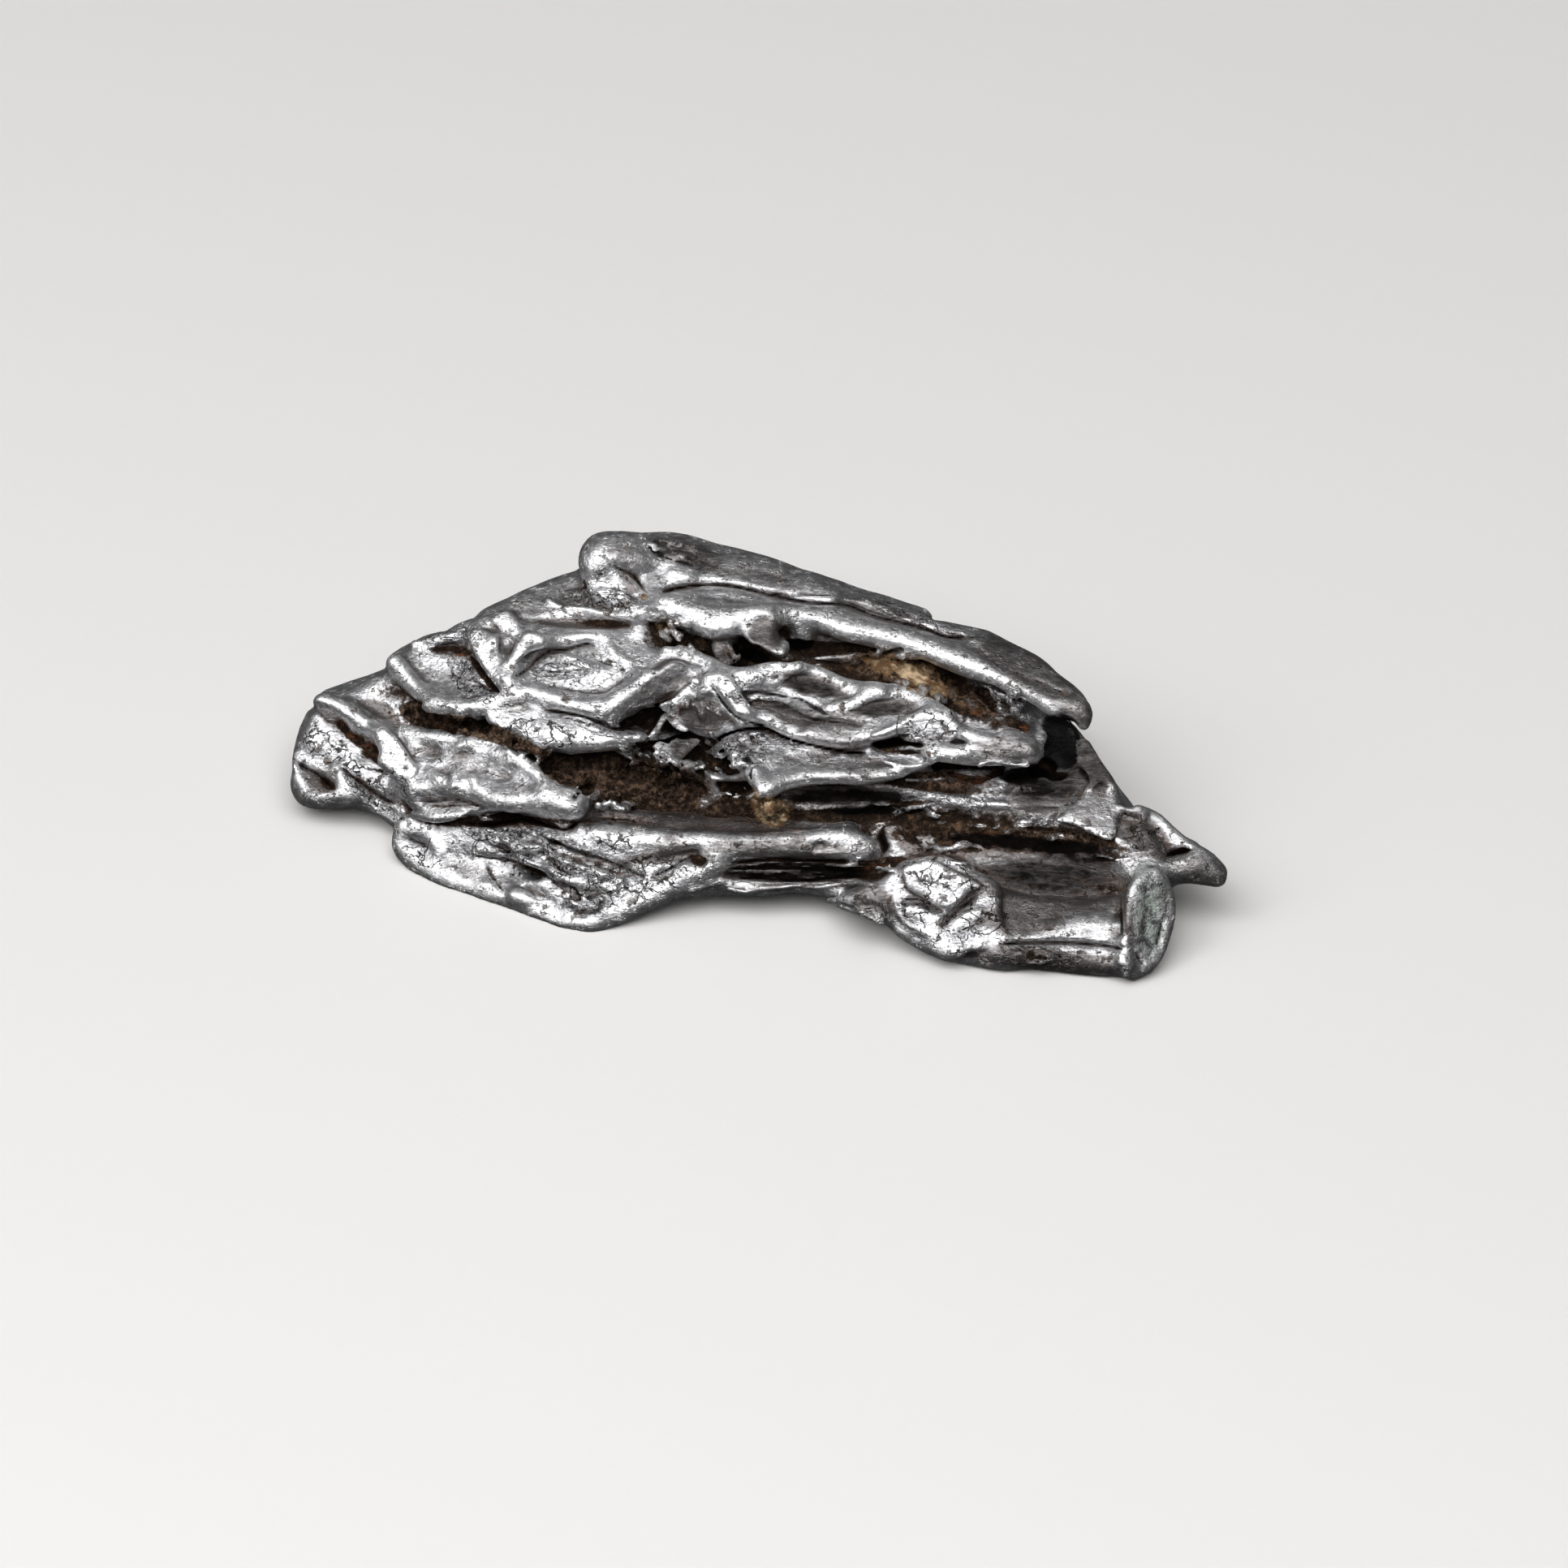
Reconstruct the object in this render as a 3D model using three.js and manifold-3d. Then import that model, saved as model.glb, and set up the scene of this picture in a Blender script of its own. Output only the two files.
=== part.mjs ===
// An iron meteorite: a small torn individual of lamellar metal, in millimetres, +Z up.
//
// The whole thing is one solid. Its torn face is a stack of leaning lamellae, each with a rounded
// rim, over a lumpy heart; the back and the underside are worn lamellae of the same kind.
// Everything on the torn face is laid out in the face's own axes: a runs along the face, b climbs
// it and c comes out of it. The rest is laid out in the standing axes: x along, y away, z up.

import * as THREE from 'three';
import { mergeVertices } from 'three/addons/utils/BufferGeometryUtils.js';
import { ConvexGeometry } from 'three/addons/geometries/ConvexGeometry.js';
import Module from 'manifold-3d';

// ---- driving dimensions -------------------------------------------------------------------

const FACE_LEAN = 35;        // degrees that the c axis of the torn face rises above level
const FACE_HEIGHT = 7.045;   // height of the middle of the torn face above the resting plane
const YAW = 16;              // degrees from the face's a axis to the meteorite's long axis
const FINE = { step: 1.3, rimSteps: 2 };    // outline spacing and rim facets, torn face
const COARSE = { step: 2.3, rimSteps: 1 };  // the same, worn back and underside
const RIM = 0.5;             // usual radius of a lamella's rounded rim
const LEAF = 2.2;            // usual depth of a lamella, down into its neighbours
const BALL_DETAIL = 1;       // subdivisions of the round lumps
const REST_CUT = 60;         // side of the block that wears the resting facets flat

// ---- lamellae of the torn face ------------------------------------------------------------
// Each one: outline in a, b; at, a point a, b, c of its front plane; slope, the rise of c per
// millimetre of a and of b; and, where they aren't the usual ones, its leaf depth and its rim.

const FACE_LEAVES = [
  { // crown plate, whose rolled rim crosses the top of the face
    outline: [[-5.2, 8.0], [-5, 7.5], [-4.3, 7], [-3.3, 6.4], [-2.3, 6.0], [-1.3, 5.95], [-0.2, 6.5],
      [1.5, 6.5], [2.6, 6.6], [4, 6.0], [6, 5.7], [8.3, 5.0], [10, 4.1], [12, 3.6], [13, 3.0],
      [14.4, 2.2], [15.6, 1.8], [16.4, 1.8], [16.4, 2.6], [15.6, 3.6], [14.5, 4.5], [13, 5.5],
      [11, 6.2], [8.5, 6.4], [6, 7.2], [4, 7.9], [2, 8.0], [0, 8.3], [-2.2, 8.8], [-4.3, 8.7]],
    at: [-4, 7, -3.3], slope: [-0.04, -0.9], leaf: 2.0, rim: 0.6,
  },
  { // crest behind the crown, left half, with the knob
    outline: [[-8.8, 8.3], [-8.9, 9.6], [-8.5, 10.8], [-7.2, 11.3], [-6.0, 11.05], [-4.2, 11.05],
      [-3, 10.7], [-2, 10.3], [0, 10.0], [2, 9.2], [4, 8.5], [4, 7], [0, 7.2], [-4, 7.6],
      [-6, 7.8], [-7.5, 7.6]],
    at: [0, 9.8, -5.6], slope: [0.05, -0.8], leaf: 3.0, rim: 0.6,
  },
  { // crest, right half
    outline: [[1.5, 9.3], [4, 8.5], [6, 7.9], [8, 7.2], [9.6, 6.65], [10.6, 6.6], [12.3, 5.9],
      [13.8, 5.1], [15, 3.9], [14, 3.4], [10, 4.8], [5, 6.3], [2, 7.0]],
    at: [6, 7.5, -4.3], slope: [-0.1, -0.9], leaf: 3.0, rim: 0.45,
  },
  { // long lamella under the crown, drawn out to a finger
    outline: [[-4.9, 5.2], [-4.4, 5.7], [-3.2, 5.3], [-2, 4.7], [-1, 4.4], [0, 4.35], [1, 4.65],
      [2.2, 4.65], [3, 4.25], [4, 3.85], [6, 3.6], [7, 3.3], [8.4, 2.8], [9.6, 2.0], [10.6, 1.35],
      [12, 1.1], [13.6, 0.95], [14.1, 0.5], [13.6, 0], [11, -0.35], [8.6, 0], [6.5, 0.8],
      [4, 0.5], [2, 0.9], [0, 1.5], [-1.5, 1.5], [-2.6, 2.5], [-3.6, 3.7], [-4.6, 4.4]],
    at: [0, 4, -2.2], slope: [0.075, -0.6], rim: 0.45,
  },
  { // shelf in the middle of the face
    outline: [[-2, 1.1], [-1, 1.35], [0, 1.4], [1, 1.0], [2, 0.7], [4, 0.35], [6.5, 0.5],
      [8.2, 0.4], [8.9, -0.1], [8.2, -0.6], [6.9, -0.85], [5, -1.1], [3.5, -0.95], [2, -1.1], [1, -1.4],
      [0.5, -2.0], [-0.3, -1.9], [-0.6, -1.1], [-1.4, -0.3]],
    at: [3, -0.8, 0.3], slope: [0.03, -0.9], leaf: 1.8, rim: 0.4,
  },
  { // bowl-shaped plate left of the middle
    outline: [[-12.4, 3.1], [-11.5, 2.95], [-10.5, 2.75], [-9.5, 2.4], [-7.8, 1.9], [-6.8, 2.3],
      [-5.8, 2.8], [-4.8, 3.3], [-3.6, 3.5], [-2.8, 4.0], [-3.3, 4.7], [-4.2, 5.3], [-5.5, 5.8],
      [-7.5, 6.1], [-9.5, 5.8], [-11.5, 5.9], [-12.3, 4.8]],
    at: [-8, 2.5, -1.8], slope: [0.12, -0.7],
  },
  { // small dome between the bowl and the long lamella
    outline: [[-4.0, 1.6], [-3.2, 1.3], [-2.0, 1.4], [-0.9, 1.7], [-1.4, 2.9], [-2.2, 3.7],
      [-3.2, 3.7], [-4.1, 2.8]],
    at: [-2.7, 2.4, -1.9], slope: [0.1, -0.3],
  },
  { // shelf at the left
    outline: [[-18.8, 4.9], [-18.2, 4.2], [-17.3, 3.2], [-16.3, 2.5], [-15.3, 2.1], [-14.2, 2.0],
      [-13, 2.2], [-12.2, 2.9], [-12.6, 4.0], [-13.6, 5.0], [-14.4, 6.2], [-16, 6.4],
      [-17.6, 5.7]],
    at: [-15, 2.4, -3.8], slope: [0.35, -0.8], leaf: 2.4,
  },
  { // lobes above the bowl, with the strut that comes down between the two plates
    outline: [[-14.7, 6.5], [-14.1, 5.2], [-13.2, 4.1], [-12.4, 3.1], [-11.7, 4.2], [-11.2, 5.5],
      [-9.5, 5.6], [-7.6, 5.9], [-6, 6.1], [-5.2, 7], [-6, 8.0], [-8, 8.6], [-9, 9.4],
      [-10, 9.1], [-12, 8.3], [-14, 7.3]],
    at: [-9.5, 5.8, -3.9], slope: [0.15, -0.9], leaf: 2.6,
  },
  { // bright band under the bowl
    outline: [[-13.5, 2.1], [-12.5, 1.3], [-11, 0.65], [-9.5, 0.35], [-8, 0.35], [-6.3, 0.5],
      [-5.2, 1.0], [-5.6, 1.6], [-7.5, 2.0], [-9.5, 2.4], [-11, 2.8], [-12.6, 2.8]],
    at: [-9, 1.2, -1.95], slope: [0.15, -0.3],
  },
  { // hammered slab at the lower left
    outline: [[-18.1, 1.5], [-17, 1.25], [-14, 1.1], [-13, 0.8], [-12, 0.2], [-11, -0.5],
      [-10.3, -1.2], [-9.3, -1.5], [-8.4, -1.9], [-8.5, -2.8], [-9.7, -3.0], [-11.2, -2.75],
      [-13, -2.5], [-15, -2.9], [-17, -2.8], [-17.6, -1.8], [-17.3, -0.6]],
    at: [-13, -1, -2.1], slope: [0.42, -0.3], rim: 0.5,
  },
  { // blunt left end
    outline: [[-23.3, -0.3], [-23.0, 1.5], [-22.6, 2.3], [-21.6, 3.3], [-20, 3.6], [-18.9, 4.4],
      [-17.2, 4.4], [-16.4, 3], [-16.4, 0], [-17.1, -1.8], [-18.3, -2.9], [-19.7, -2.6],
      [-20.6, -2.1], [-22.2, -2.2], [-23.1, -1.3]],
    at: [-20, 1, -6.6], slope: [0.2, -0.1], leaf: 3.6, rim: 0.8,
  },
  { // bottom plate, left half
    outline: [[-18.1, -3.1], [-18.2, -4.3], [-17.5, -5.2], [-15.5, -6.5], [-12.5, -7.4],
      [-10, -8.7], [-9.2, -8.85], [-8.9, -8.2], [-9.0, -3.2], [-12, -3.0], [-15, -2.8]],
    at: [-9, -8.6, 0], slope: [0.46, -0.1], leaf: 2.0, rim: 0.55,
  },
  { // bottom plate, right half, tapering along the face
    outline: [[-9.0, -3.4], [-9.1, -8.2], [-8.8, -8.9], [-7, -8.2], [-4, -6.9], [-2, -5.8],
      [-0.5, -5.05], [2.5, -4.85], [5, -5.05], [6.0, -4.5], [4.5, -3.6], [1.5, -3.7],
      [-1.5, -3.65], [-4.5, -3.6], [-8, -3.2]],
    at: [-9, -8.6, 0], slope: [0.08, -0.1], leaf: 1.9, rim: 0.5,
  },
  { // dark layers under the bottom plate, over the arch
    outline: [[-4.4, -6.3], [-3.9, -6.9], [-2, -6.65], [0, -6.8], [2, -6.55], [3.8, -7.0],
      [5.6, -7.7], [6.6, -6.3], [6, -4.4], [3, -4.0], [-2, -4.4]],
    at: [1, -6, 0.0], slope: [0.05, -0.2], leaf: 3.0,
  },
  { // broken block at the lower right
    outline: [[3.6, -6.9], [5, -7.5], [6.2, -8.1], [7, -8.8], [8, -9.5], [9, -10.0], [11, -10.4],
      [12.6, -10.2], [12.4, -7.4], [11.9, -6.1], [10, -5.2], [8.7, -4.8], [7, -5.0],
      [6.2, -5.9], [5, -6.2]],
    at: [9, -7, 2.4], slope: [0.09, -0.1], leaf: 3.0,
  },
  { // round log along the lower right
    outline: [[11.4, -7.2], [13, -6.95], [15, -7.1], [17.5, -7.1], [18.6, -7.3], [18.8, -8.5],
      [18.2, -9.15], [15, -9.2], [12, -9.25], [11, -8.4]],
    at: [15, -8, 4.0], slope: [0.05, 0.1], leaf: 3.4, rim: 0.8,
  },
  { // slab under the log
    outline: [[10.4, -9.1], [12, -9.0], [15, -9.0], [18.3, -8.9], [19.4, -9.6], [19.2, -10.5],
      [18.2, -11.15], [16.5, -10.9], [15, -10.6], [13.5, -10.35], [11, -10.45]],
    at: [15, -10, 3.5], slope: [0.03, 0.2], leaf: 3.4, rim: 0.55,
  },
  { // flat facet that closes the right end
    outline: [[18.0, -6.3], [19, -5.3], [20.2, -5.8], [20.4, -6.8], [20.1, -8.8], [19.4, -10.4],
      [18.6, -11.05], [17.6, -10.7], [17.6, -8.5]],
    at: [19, -8, 3.75], slope: [-0.7, 0.05], leaf: 4.6, rim: 0.4,
  },
  { // floor of the channel behind the log
    outline: [[5.6, -3.2], [9, -2.4], [14, -2.4], [19, -3], [19.8, -5.2], [18.6, -7.2],
      [12, -7.2], [8, -5.6], [5.8, -4.6]],
    at: [12, -4.5, 0.3], slope: [0.17, -0.35], leaf: 3.0, rim: 0.4,
  },
  { // right plate, with its hollow inner side
    outline: [[12.2, -0.2], [12.4, -2.7], [13.6, -2.95], [14.2, -3.25], [15, -3.0], [16, -3.4],
      [17.4, -4.05], [17.9, -2.4], [17.5, -1.2], [16.6, -0.2], [15.9, 0.9], [15.4, 1.8],
      [14, 1.6]],
    at: [15, -2.9, 0.7], slope: [0.1, -0.35], leaf: 2.8,
  },
  { // ragged plate behind the channel's end
    outline: [[17.2, -2.4], [18.2, -2.45], [18.8, -2.25], [19.8, -2.85], [21, -3.9], [22, -4.4],
      [21.6, -5.3], [20, -5.6], [18.5, -5.2], [17.3, -4.2]],
    at: [19, -3.5, 0.2], slope: [0.05, -0.5], leaf: 2.4, rim: 0.4,
  },
  { // thin leaves under the middle shelf
    outline: [[0.4, -1.5], [4, -1.0], [8.5, -0.6], [12.4, -1.0], [12.6, -2.7], [10.5, -2.75],
      [8.4, -2.4], [4, -2.6], [1.0, -2.5]],
    at: [4, -1.8, -0.7], slope: [0.03, -0.5], rim: 0.4,
  },
  { // ledge between the bottom plate and the crumbling hollow
    outline: [[-9.4, -2.2], [-5, -2.6], [0, -2.9], [3, -2.8], [5.4, -3.4], [3, -4.2], [-3, -4.2],
      [-9, -4.0]],
    at: [-4, -3, -1.2], slope: [0.08, -0.9], rim: 0.4,
  },
];

// Round lumps of the torn face: centre a, b, c and radius. A list is one drawn-out lump.
const FACE_LUMPS = [
  [[-0.1, 7.0, -3.6, 0.8], [0.6, 6.2, -3.2, 0.75], [1.0, 5.5, -2.9, 0.55]],
  [[-7.6, 9.9, -6.2, 1.5], [-6.0, 10.3, -6.4, 1.0]],
  [[19.6, -5.7, 0.6, 0.8], [20.8, -5.25, 0.8, 0.7], [21.7, -5.15, 0.8, 0.8], [22.5, -5.5, 0.8, 0.55]],
  [[-22.1, -1.2, -7.6, 1.35], [-20.6, -1.3, -7.0, 1.2]],
  [[-18.7, 1.2, -6.4, 0.7], [-18, 0.6, -6.0, 0.7], [-17, -0.8, -5.2, 0.8]],
  [[-21.7, 2.7, -7.0, 0.7], [-20.3, 2.2, -6.6, 0.7], [-19, 1.4, -6.3, 0.7]],
  [[-9.1, -2.2, -0.9, 0.75], [-10.4, -2.1, -1.5, 0.9]],
  [[12.2, 0.45, 0.2, 0.8], [13.5, 0.45, 0.4, 0.6]],
  [[-9, -8.1, -0.8, 0.75], [-9, -4.3, -1.2, 0.75]],
];

// Hollows worn out of the torn face: centre a, b, c, then the half axes along a, b and c.
const FACE_HOLLOWS = [
  [14.4, -1.3, 0.6, 1.8, 1.1, 1.7],
  [-5.6, -1.2, -0.8, 3.0, 1.2, 1.5],
  [15.6, -5.7, 2.6, 3.2, 0.9, 1.6],
  [-8.2, 4.2, -1.6, 2.6, 0.9, 0.9],
  [-15.6, 4.4, -4.2, 1.9, 1.0, 0.9],
  [14.9, 1.0, -0.2, 0.9, 1.1, 1.6],
  [-13.2, -5.0, -1.55, 3.8, 1.3, 0.9],
  [-6.6, -5.9, 0.75, 2.6, 1.2, 0.9],
];

// ---- heart of the meteorite ---------------------------------------------------------------
// Cross-sections from end to end: x, then the points y, z of its outline, all convex.

const HEART_ROUNDING = 0.5;
const HEART = [
  [-21.6, [[7.6, 0.8], [7.8, 3.6], [9.2, 4.3], [10.4, 3.0], [10.2, 0.7]]],
  [-18.0, [[3.6, 1.0], [4.6, 2.4], [8.6, 5.2], [10.6, 4.8], [12.0, 3.0], [12.0, 0.9], [6.0, 0.8]]],
  [-12.0, [[-0.8, 0.9], [1.6, 2.6], [6.4, 6.0], [10.2, 7.3], [12.6, 6.4], [14.4, 4.4],
    [14.0, 1.2], [4.0, 0.9]]],
  [-5.0, [[-1.4, 1.2], [1.2, 2.8], [4.6, 5.8], [9.2, 9.0], [12.2, 10.2], [14.4, 8.2], [15.2, 4.8],
    [14.2, 1.2], [3.0, 1.0]]],
  [3.0, [[-1.6, 2.4], [1.0, 3.6], [4.4, 6.9], [8.2, 9.4], [10.8, 9.8], [13.2, 7.4],
    [13.8, 4.2], [12.2, 1.2], [2.0, 2.0]]],
  [10.0, [[-4.6, 1.0], [-3.6, 2.0], [0.6, 3.4], [5.2, 7.4], [7.8, 8.4], [10.2, 6.6],
    [11.4, 3.6], [9.6, 0.9], [2.0, 1.4]]],
  [15.4, [[-5.6, 0.9], [-4.0, 1.4], [-0.6, 3.4], [2.4, 5.4], [4.4, 5.4], [6.8, 3.8], [7.6, 1.8],
    [5.4, 0.8]]],
  [18.8, [[-5.6, 0.9], [-4.8, 1.7], [-2.4, 2.2], [-0.2, 2.2], [1.8, 1.4], [1.0, 0.9]]],
];

// ---- worn back ----------------------------------------------------------------------------
// The back's own axes: p runs along it (towards -x), q climbs it, r comes out of it.

const BACK_LEAN = 28;
const BACK_PLACE = [0, 9.5, 5.5];
const BACK_LEAVES = [
  { // crest seen from behind
    outline: [[-9, 1.6], [-6.5, 3.2], [-3, 4.6], [0, 5.4], [4, 5.9], [7.6, 5.4], [8.6, 4.0],
      [5, 3.4], [0, 2.8], [-4, 1.6], [-7.6, 0.6]],
    at: [2, 4, 2.0], slope: [0.2, -0.75], leaf: 1.5,
  },
  { // middle leaf, towards the pointed end
    outline: [[-7, 0.4], [-4, 1.8], [0, 2.9], [3.4, 3.5], [4.6, 2.0], [2.4, -0.3], [-2, -0.9],
      [-5.6, -1.6], [-7.6, -0.8]],
    at: [0, 1.5, 4.1], slope: [0.2, -0.45], leaf: 3.0, rim: 0.6,
  },
  { // middle leaf, towards the blunt end
    outline: [[2.6, 3.2], [6, 3.7], [9, 3.1], [11.6, 2.3], [12.8, 0.9], [9.4, 0.2], [6, 0.6],
      [3.4, 0.0], [1.8, 1.4]],
    at: [6, 1.5, 4.5], slope: [-0.25, -0.45], leaf: 3.0, rim: 0.55,
  },
  { // lower leaf, towards the pointed end
    outline: [[-13.5, -1.6], [-10, -0.8], [-6, -0.2], [-2, 0.2], [-1.2, -1.4], [-3, -2.9],
      [-7, -3.4], [-11, -3.6], [-13.6, -3.0]],
    at: [-6, -1.5, 3.9], slope: [0.42, -0.3], leaf: 3.2, rim: 0.6,
  },
  { // lower leaf, middle
    outline: [[-4, 0.2], [0, 0.8], [4, 1.1], [8.4, 0.9], [9.6, -0.6], [8, -2.4], [4, -2.0],
      [0, -2.8], [-4, -2.6], [-5, -1.2]],
    at: [2, -1, 5.2], slope: [0.06, -0.3], leaf: 3.4, rim: 0.7,
  },
  { // lower leaf, towards the blunt end
    outline: [[7, 0.6], [10, 1.0], [14, 0.6], [17.6, -0.2], [19.4, -1.6], [17, -2.8],
      [13, -2.4], [9.6, -3.0], [7, -2.4], [6.2, -0.8]],
    at: [12, -1, 3.7], slope: [-0.42, -0.3], leaf: 3.2, rim: 0.6,
  },
  { // foot leaf, towards the pointed end
    outline: [[-12.5, -2.8], [-8, -2.5], [-3, -2.2], [-0.6, -2.6], [-1.6, -4.2], [-4, -5.0],
      [-8, -4.8], [-11.6, -4.6]],
    at: [-6, -3.5, 4.4], slope: [0.4, 0.2], leaf: 3.4, rim: 0.6,
  },
  { // foot leaf, middle
    outline: [[-0.6, -2.2], [4, -1.9], [9.6, -2.2], [11, -3.4], [9, -4.9], [5, -5.0],
      [2, -5.4], [-0.6, -4.2]],
    at: [5, -3.5, 5.4], slope: [-0.02, 0.2], leaf: 3.4, rim: 0.6,
  },
  { // foot leaf, towards the blunt end
    outline: [[9.4, -2.2], [13, -1.8], [17, -1.6], [19.6, -2.4], [19.0, -3.8], [16, -4.6],
      [12.4, -4.4], [9.8, -4.8]],
    at: [14, -3.2, 3.3], slope: [-0.45, 0.2], leaf: 3.4, rim: 0.6,
  },
  { // shoulder over the blunt end
    outline: [[10.6, 2.8], [13.4, 2.2], [16.6, 1.0], [18.4, -0.2], [18.0, -1.2], [15.4, -0.2],
      [12.6, 0.6], [10.4, 1.8]],
    at: [14, 1.5, 1.5], slope: [-0.42, -0.45], leaf: 3.0,
  },
  { // shoulder over the pointed end
    outline: [[-15.2, -2.2], [-12, 0.2], [-9.2, 2.0], [-7.6, 1.2], [-9.6, -0.8], [-12.6, -2.4],
      [-14.8, -3.4]],
    at: [-12, -0.5, 0.9], slope: [0.5, -0.5], leaf: 3.2,
  },
];

const BACK_LUMPS = [
  [[-5.0, -3.6, 4.2, 1.0], [-3.0, -3.4, 4.8, 0.9]],
  [[12.0, -0.6, 2.9, 1.1], [14.6, -0.6, 1.9, 1.0]],
  [[4.0, 2.4, 3.6, 0.9], [6.6, 2.6, 3.2, 0.9], [8.6, 2.4, 2.7, 0.8]],
];

const BACK_HOLLOWS = [
  [-3.6, -0.6, 5.9, 2.6, 0.8, 1.2],
  [6.6, -0.6, 6.2, 2.8, 0.8, 1.1],
  [-8.6, -2.0, 3.9, 2.2, 0.8, 1.1],
  [14.6, -3.0, 4.2, 2.0, 0.7, 1.1],
];

// ---- underside ----------------------------------------------------------------------------
// Leaves that lie almost level, seen from above in x, y; at gives a point of the leaf's top.

const UNDER_LEAVES = [
  { outline: [[-22.0, 7.2], [-19.4, 5.6], [-15.4, 4.6], [-13.2, 7.0], [-14.2, 10.6], [-17.6, 11.6],
    [-20.6, 10.2]], at: [-17.5, 8, 2.15], slope: [-0.04, -0.06], leaf: 2.1 },
  { outline: [[-13.6, 0.2], [-10.8, -3.0], [-9.0, -3.4], [-6.4, -0.6], [-5.4, 5.0], [-8.6, 7.0],
    [-12.6, 4.4]], at: [-9, 0, 2.3], slope: [0.04, 0.08], leaf: 2.2 },
  { outline: [[-9.0, 9.6], [-5.4, 6.8], [0.4, 5.8], [5.0, 8.0], [4.2, 11.4], [-0.6, 13.4],
    [-6.0, 13.6]], at: [-2, 10, 2.2], slope: [0.03, -0.07], leaf: 2.2 },
  { outline: [[8.2, -5.8], [11.6, -7.2], [17.6, -7.6], [18.4, -5.2], [15.6, -1.4], [11.2, -0.2],
    [8.0, -2.4]], at: [14, -5, 2.1], slope: [-0.02, 0.07], leaf: 2.0 },
];

// ---- making solids ------------------------------------------------------------------------

const wasm = await Module();
wasm.setup();

// Turns a closed three.js geometry into a solid.
function solidOf(geometry) {
  const bare = geometry.index ? geometry.toNonIndexed() : geometry.clone();
  for (const name of Object.keys(bare.attributes)) {
    if (name !== 'position') bare.deleteAttribute(name);
  }
  const merged = mergeVertices(bare, 1e-5);
  const mesh = new wasm.Mesh({
    numProp: 3,
    vertProperties: new Float32Array(merged.attributes.position.array),
    triVerts: new Uint32Array(merged.index.array),
  });
  mesh.merge();
  return new wasm.Manifold(mesh);
}

// A lamella: a smooth outline with a rounded rim, leaning with its front plane.
function leafSolid({ outline, at, slope, leaf = LEAF, rim = RIM }, grain) {
  const corners = outline.map(([x, y]) => new THREE.Vector3(x, y, 0));
  const edge = new THREE.CatmullRomCurve3(corners, true, 'centripetal');
  const count = Math.max(10, Math.round(edge.getLength() / grain.step));
  const shape = new THREE.Shape(edge.getSpacedPoints(count).slice(0, count)
    .map((point) => new THREE.Vector2(point.x, point.y)));
  const geometry = new THREE.ExtrudeGeometry(shape, {
    depth: leaf - 2 * rim,
    bevelEnabled: true,
    bevelThickness: rim,
    bevelSize: rim * 0.9,
    bevelOffset: -rim * 0.9,
    bevelSegments: grain.rimSteps,
    steps: 1,
  });
  geometry.translate(0, 0, rim - leaf);
  const lean = new THREE.Matrix4().set(
    1, 0, 0, 0,
    0, 1, 0, 0,
    slope[0], slope[1], 1, at[2] - slope[0] * at[0] - slope[1] * at[1],
    0, 0, 0, 1,
  );
  geometry.applyMatrix4(lean);
  return solidOf(geometry);
}

// The smallest convex solid round a set of balls, each x, y, z and radius.
function hullSolid(balls) {
  const points = [];
  for (const [x, y, z, radius] of balls) {
    const ball = new THREE.IcosahedronGeometry(radius, BALL_DETAIL).attributes.position;
    for (let i = 0; i < ball.count; i += 1) {
      points.push(new THREE.Vector3().fromBufferAttribute(ball, i).add(new THREE.Vector3(x, y, z)));
    }
  }
  return solidOf(new ConvexGeometry(points));
}

// A drawn-out lump: balls joined two by two.
function lumpSolid(balls) {
  const links = balls.slice(1).map((ball, i) => hullSolid([balls[i], ball]));
  return links.reduce((whole, link) => whole.add(link));
}

// A ball stretched along its three axes, to wear a hollow with.
function hollowSolid([x, y, z, halfX, halfY, halfZ]) {
  const geometry = new THREE.IcosahedronGeometry(1, BALL_DETAIL);
  geometry.scale(halfX, halfY, halfZ);
  geometry.translate(x, y, z);
  return solidOf(geometry);
}

// The heart: each stretch is the convex solid round two neighbouring cross-sections.
function heartSolid() {
  const section = ([x, points]) => points.map(([y, z]) => [x, y, z, HEART_ROUNDING]);
  const stretches = HEART.slice(1).map((next, i) => hullSolid([...section(HEART[i]), ...section(next)]));
  return stretches.reduce((whole, stretch) => whole.add(stretch));
}

// Keeps the outer skin of a mesh, without any sealed pore between the lamellae.
function outerSkin(triangles, vertexCount) {
  const root = Array.from({ length: vertexCount }, (_, i) => i);
  const find = (i) => {
    let top = i;
    while (root[top] !== top) top = root[top];
    root[i] = top;
    return top;
  };
  const size = new Map();
  for (let i = 0; i < triangles.length; i += 3) {
    root[find(triangles[i + 1])] = find(triangles[i]);
    root[find(triangles[i + 2])] = find(triangles[i]);
  }
  for (const corner of triangles) size.set(find(corner), (size.get(find(corner)) ?? 0) + 1);
  const [largest] = [...size].sort((one, two) => two[1] - one[1])[0];
  return triangles.filter((_, i) => find(triangles[i - (i % 3)]) === largest);
}

function join(solids) {
  return solids.reduce((whole, solid) => whole.add(solid));
}

function cutEach(solid, hollows) {
  return hollows.reduce((rest, hollow) => rest.subtract(hollowSolid(hollow)), solid);
}

// ---- the frames ---------------------------------------------------------------------------

const rad = THREE.MathUtils.degToRad;

// Face axes to standing axes.
const faceToStanding = new THREE.Matrix4().makeBasis(
  new THREE.Vector3(1, 0, 0),
  new THREE.Vector3(0, Math.sin(rad(FACE_LEAN)), Math.cos(rad(FACE_LEAN))),
  new THREE.Vector3(0, -Math.cos(rad(FACE_LEAN)), Math.sin(rad(FACE_LEAN))),
).setPosition(0, 0, FACE_HEIGHT);

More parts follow.
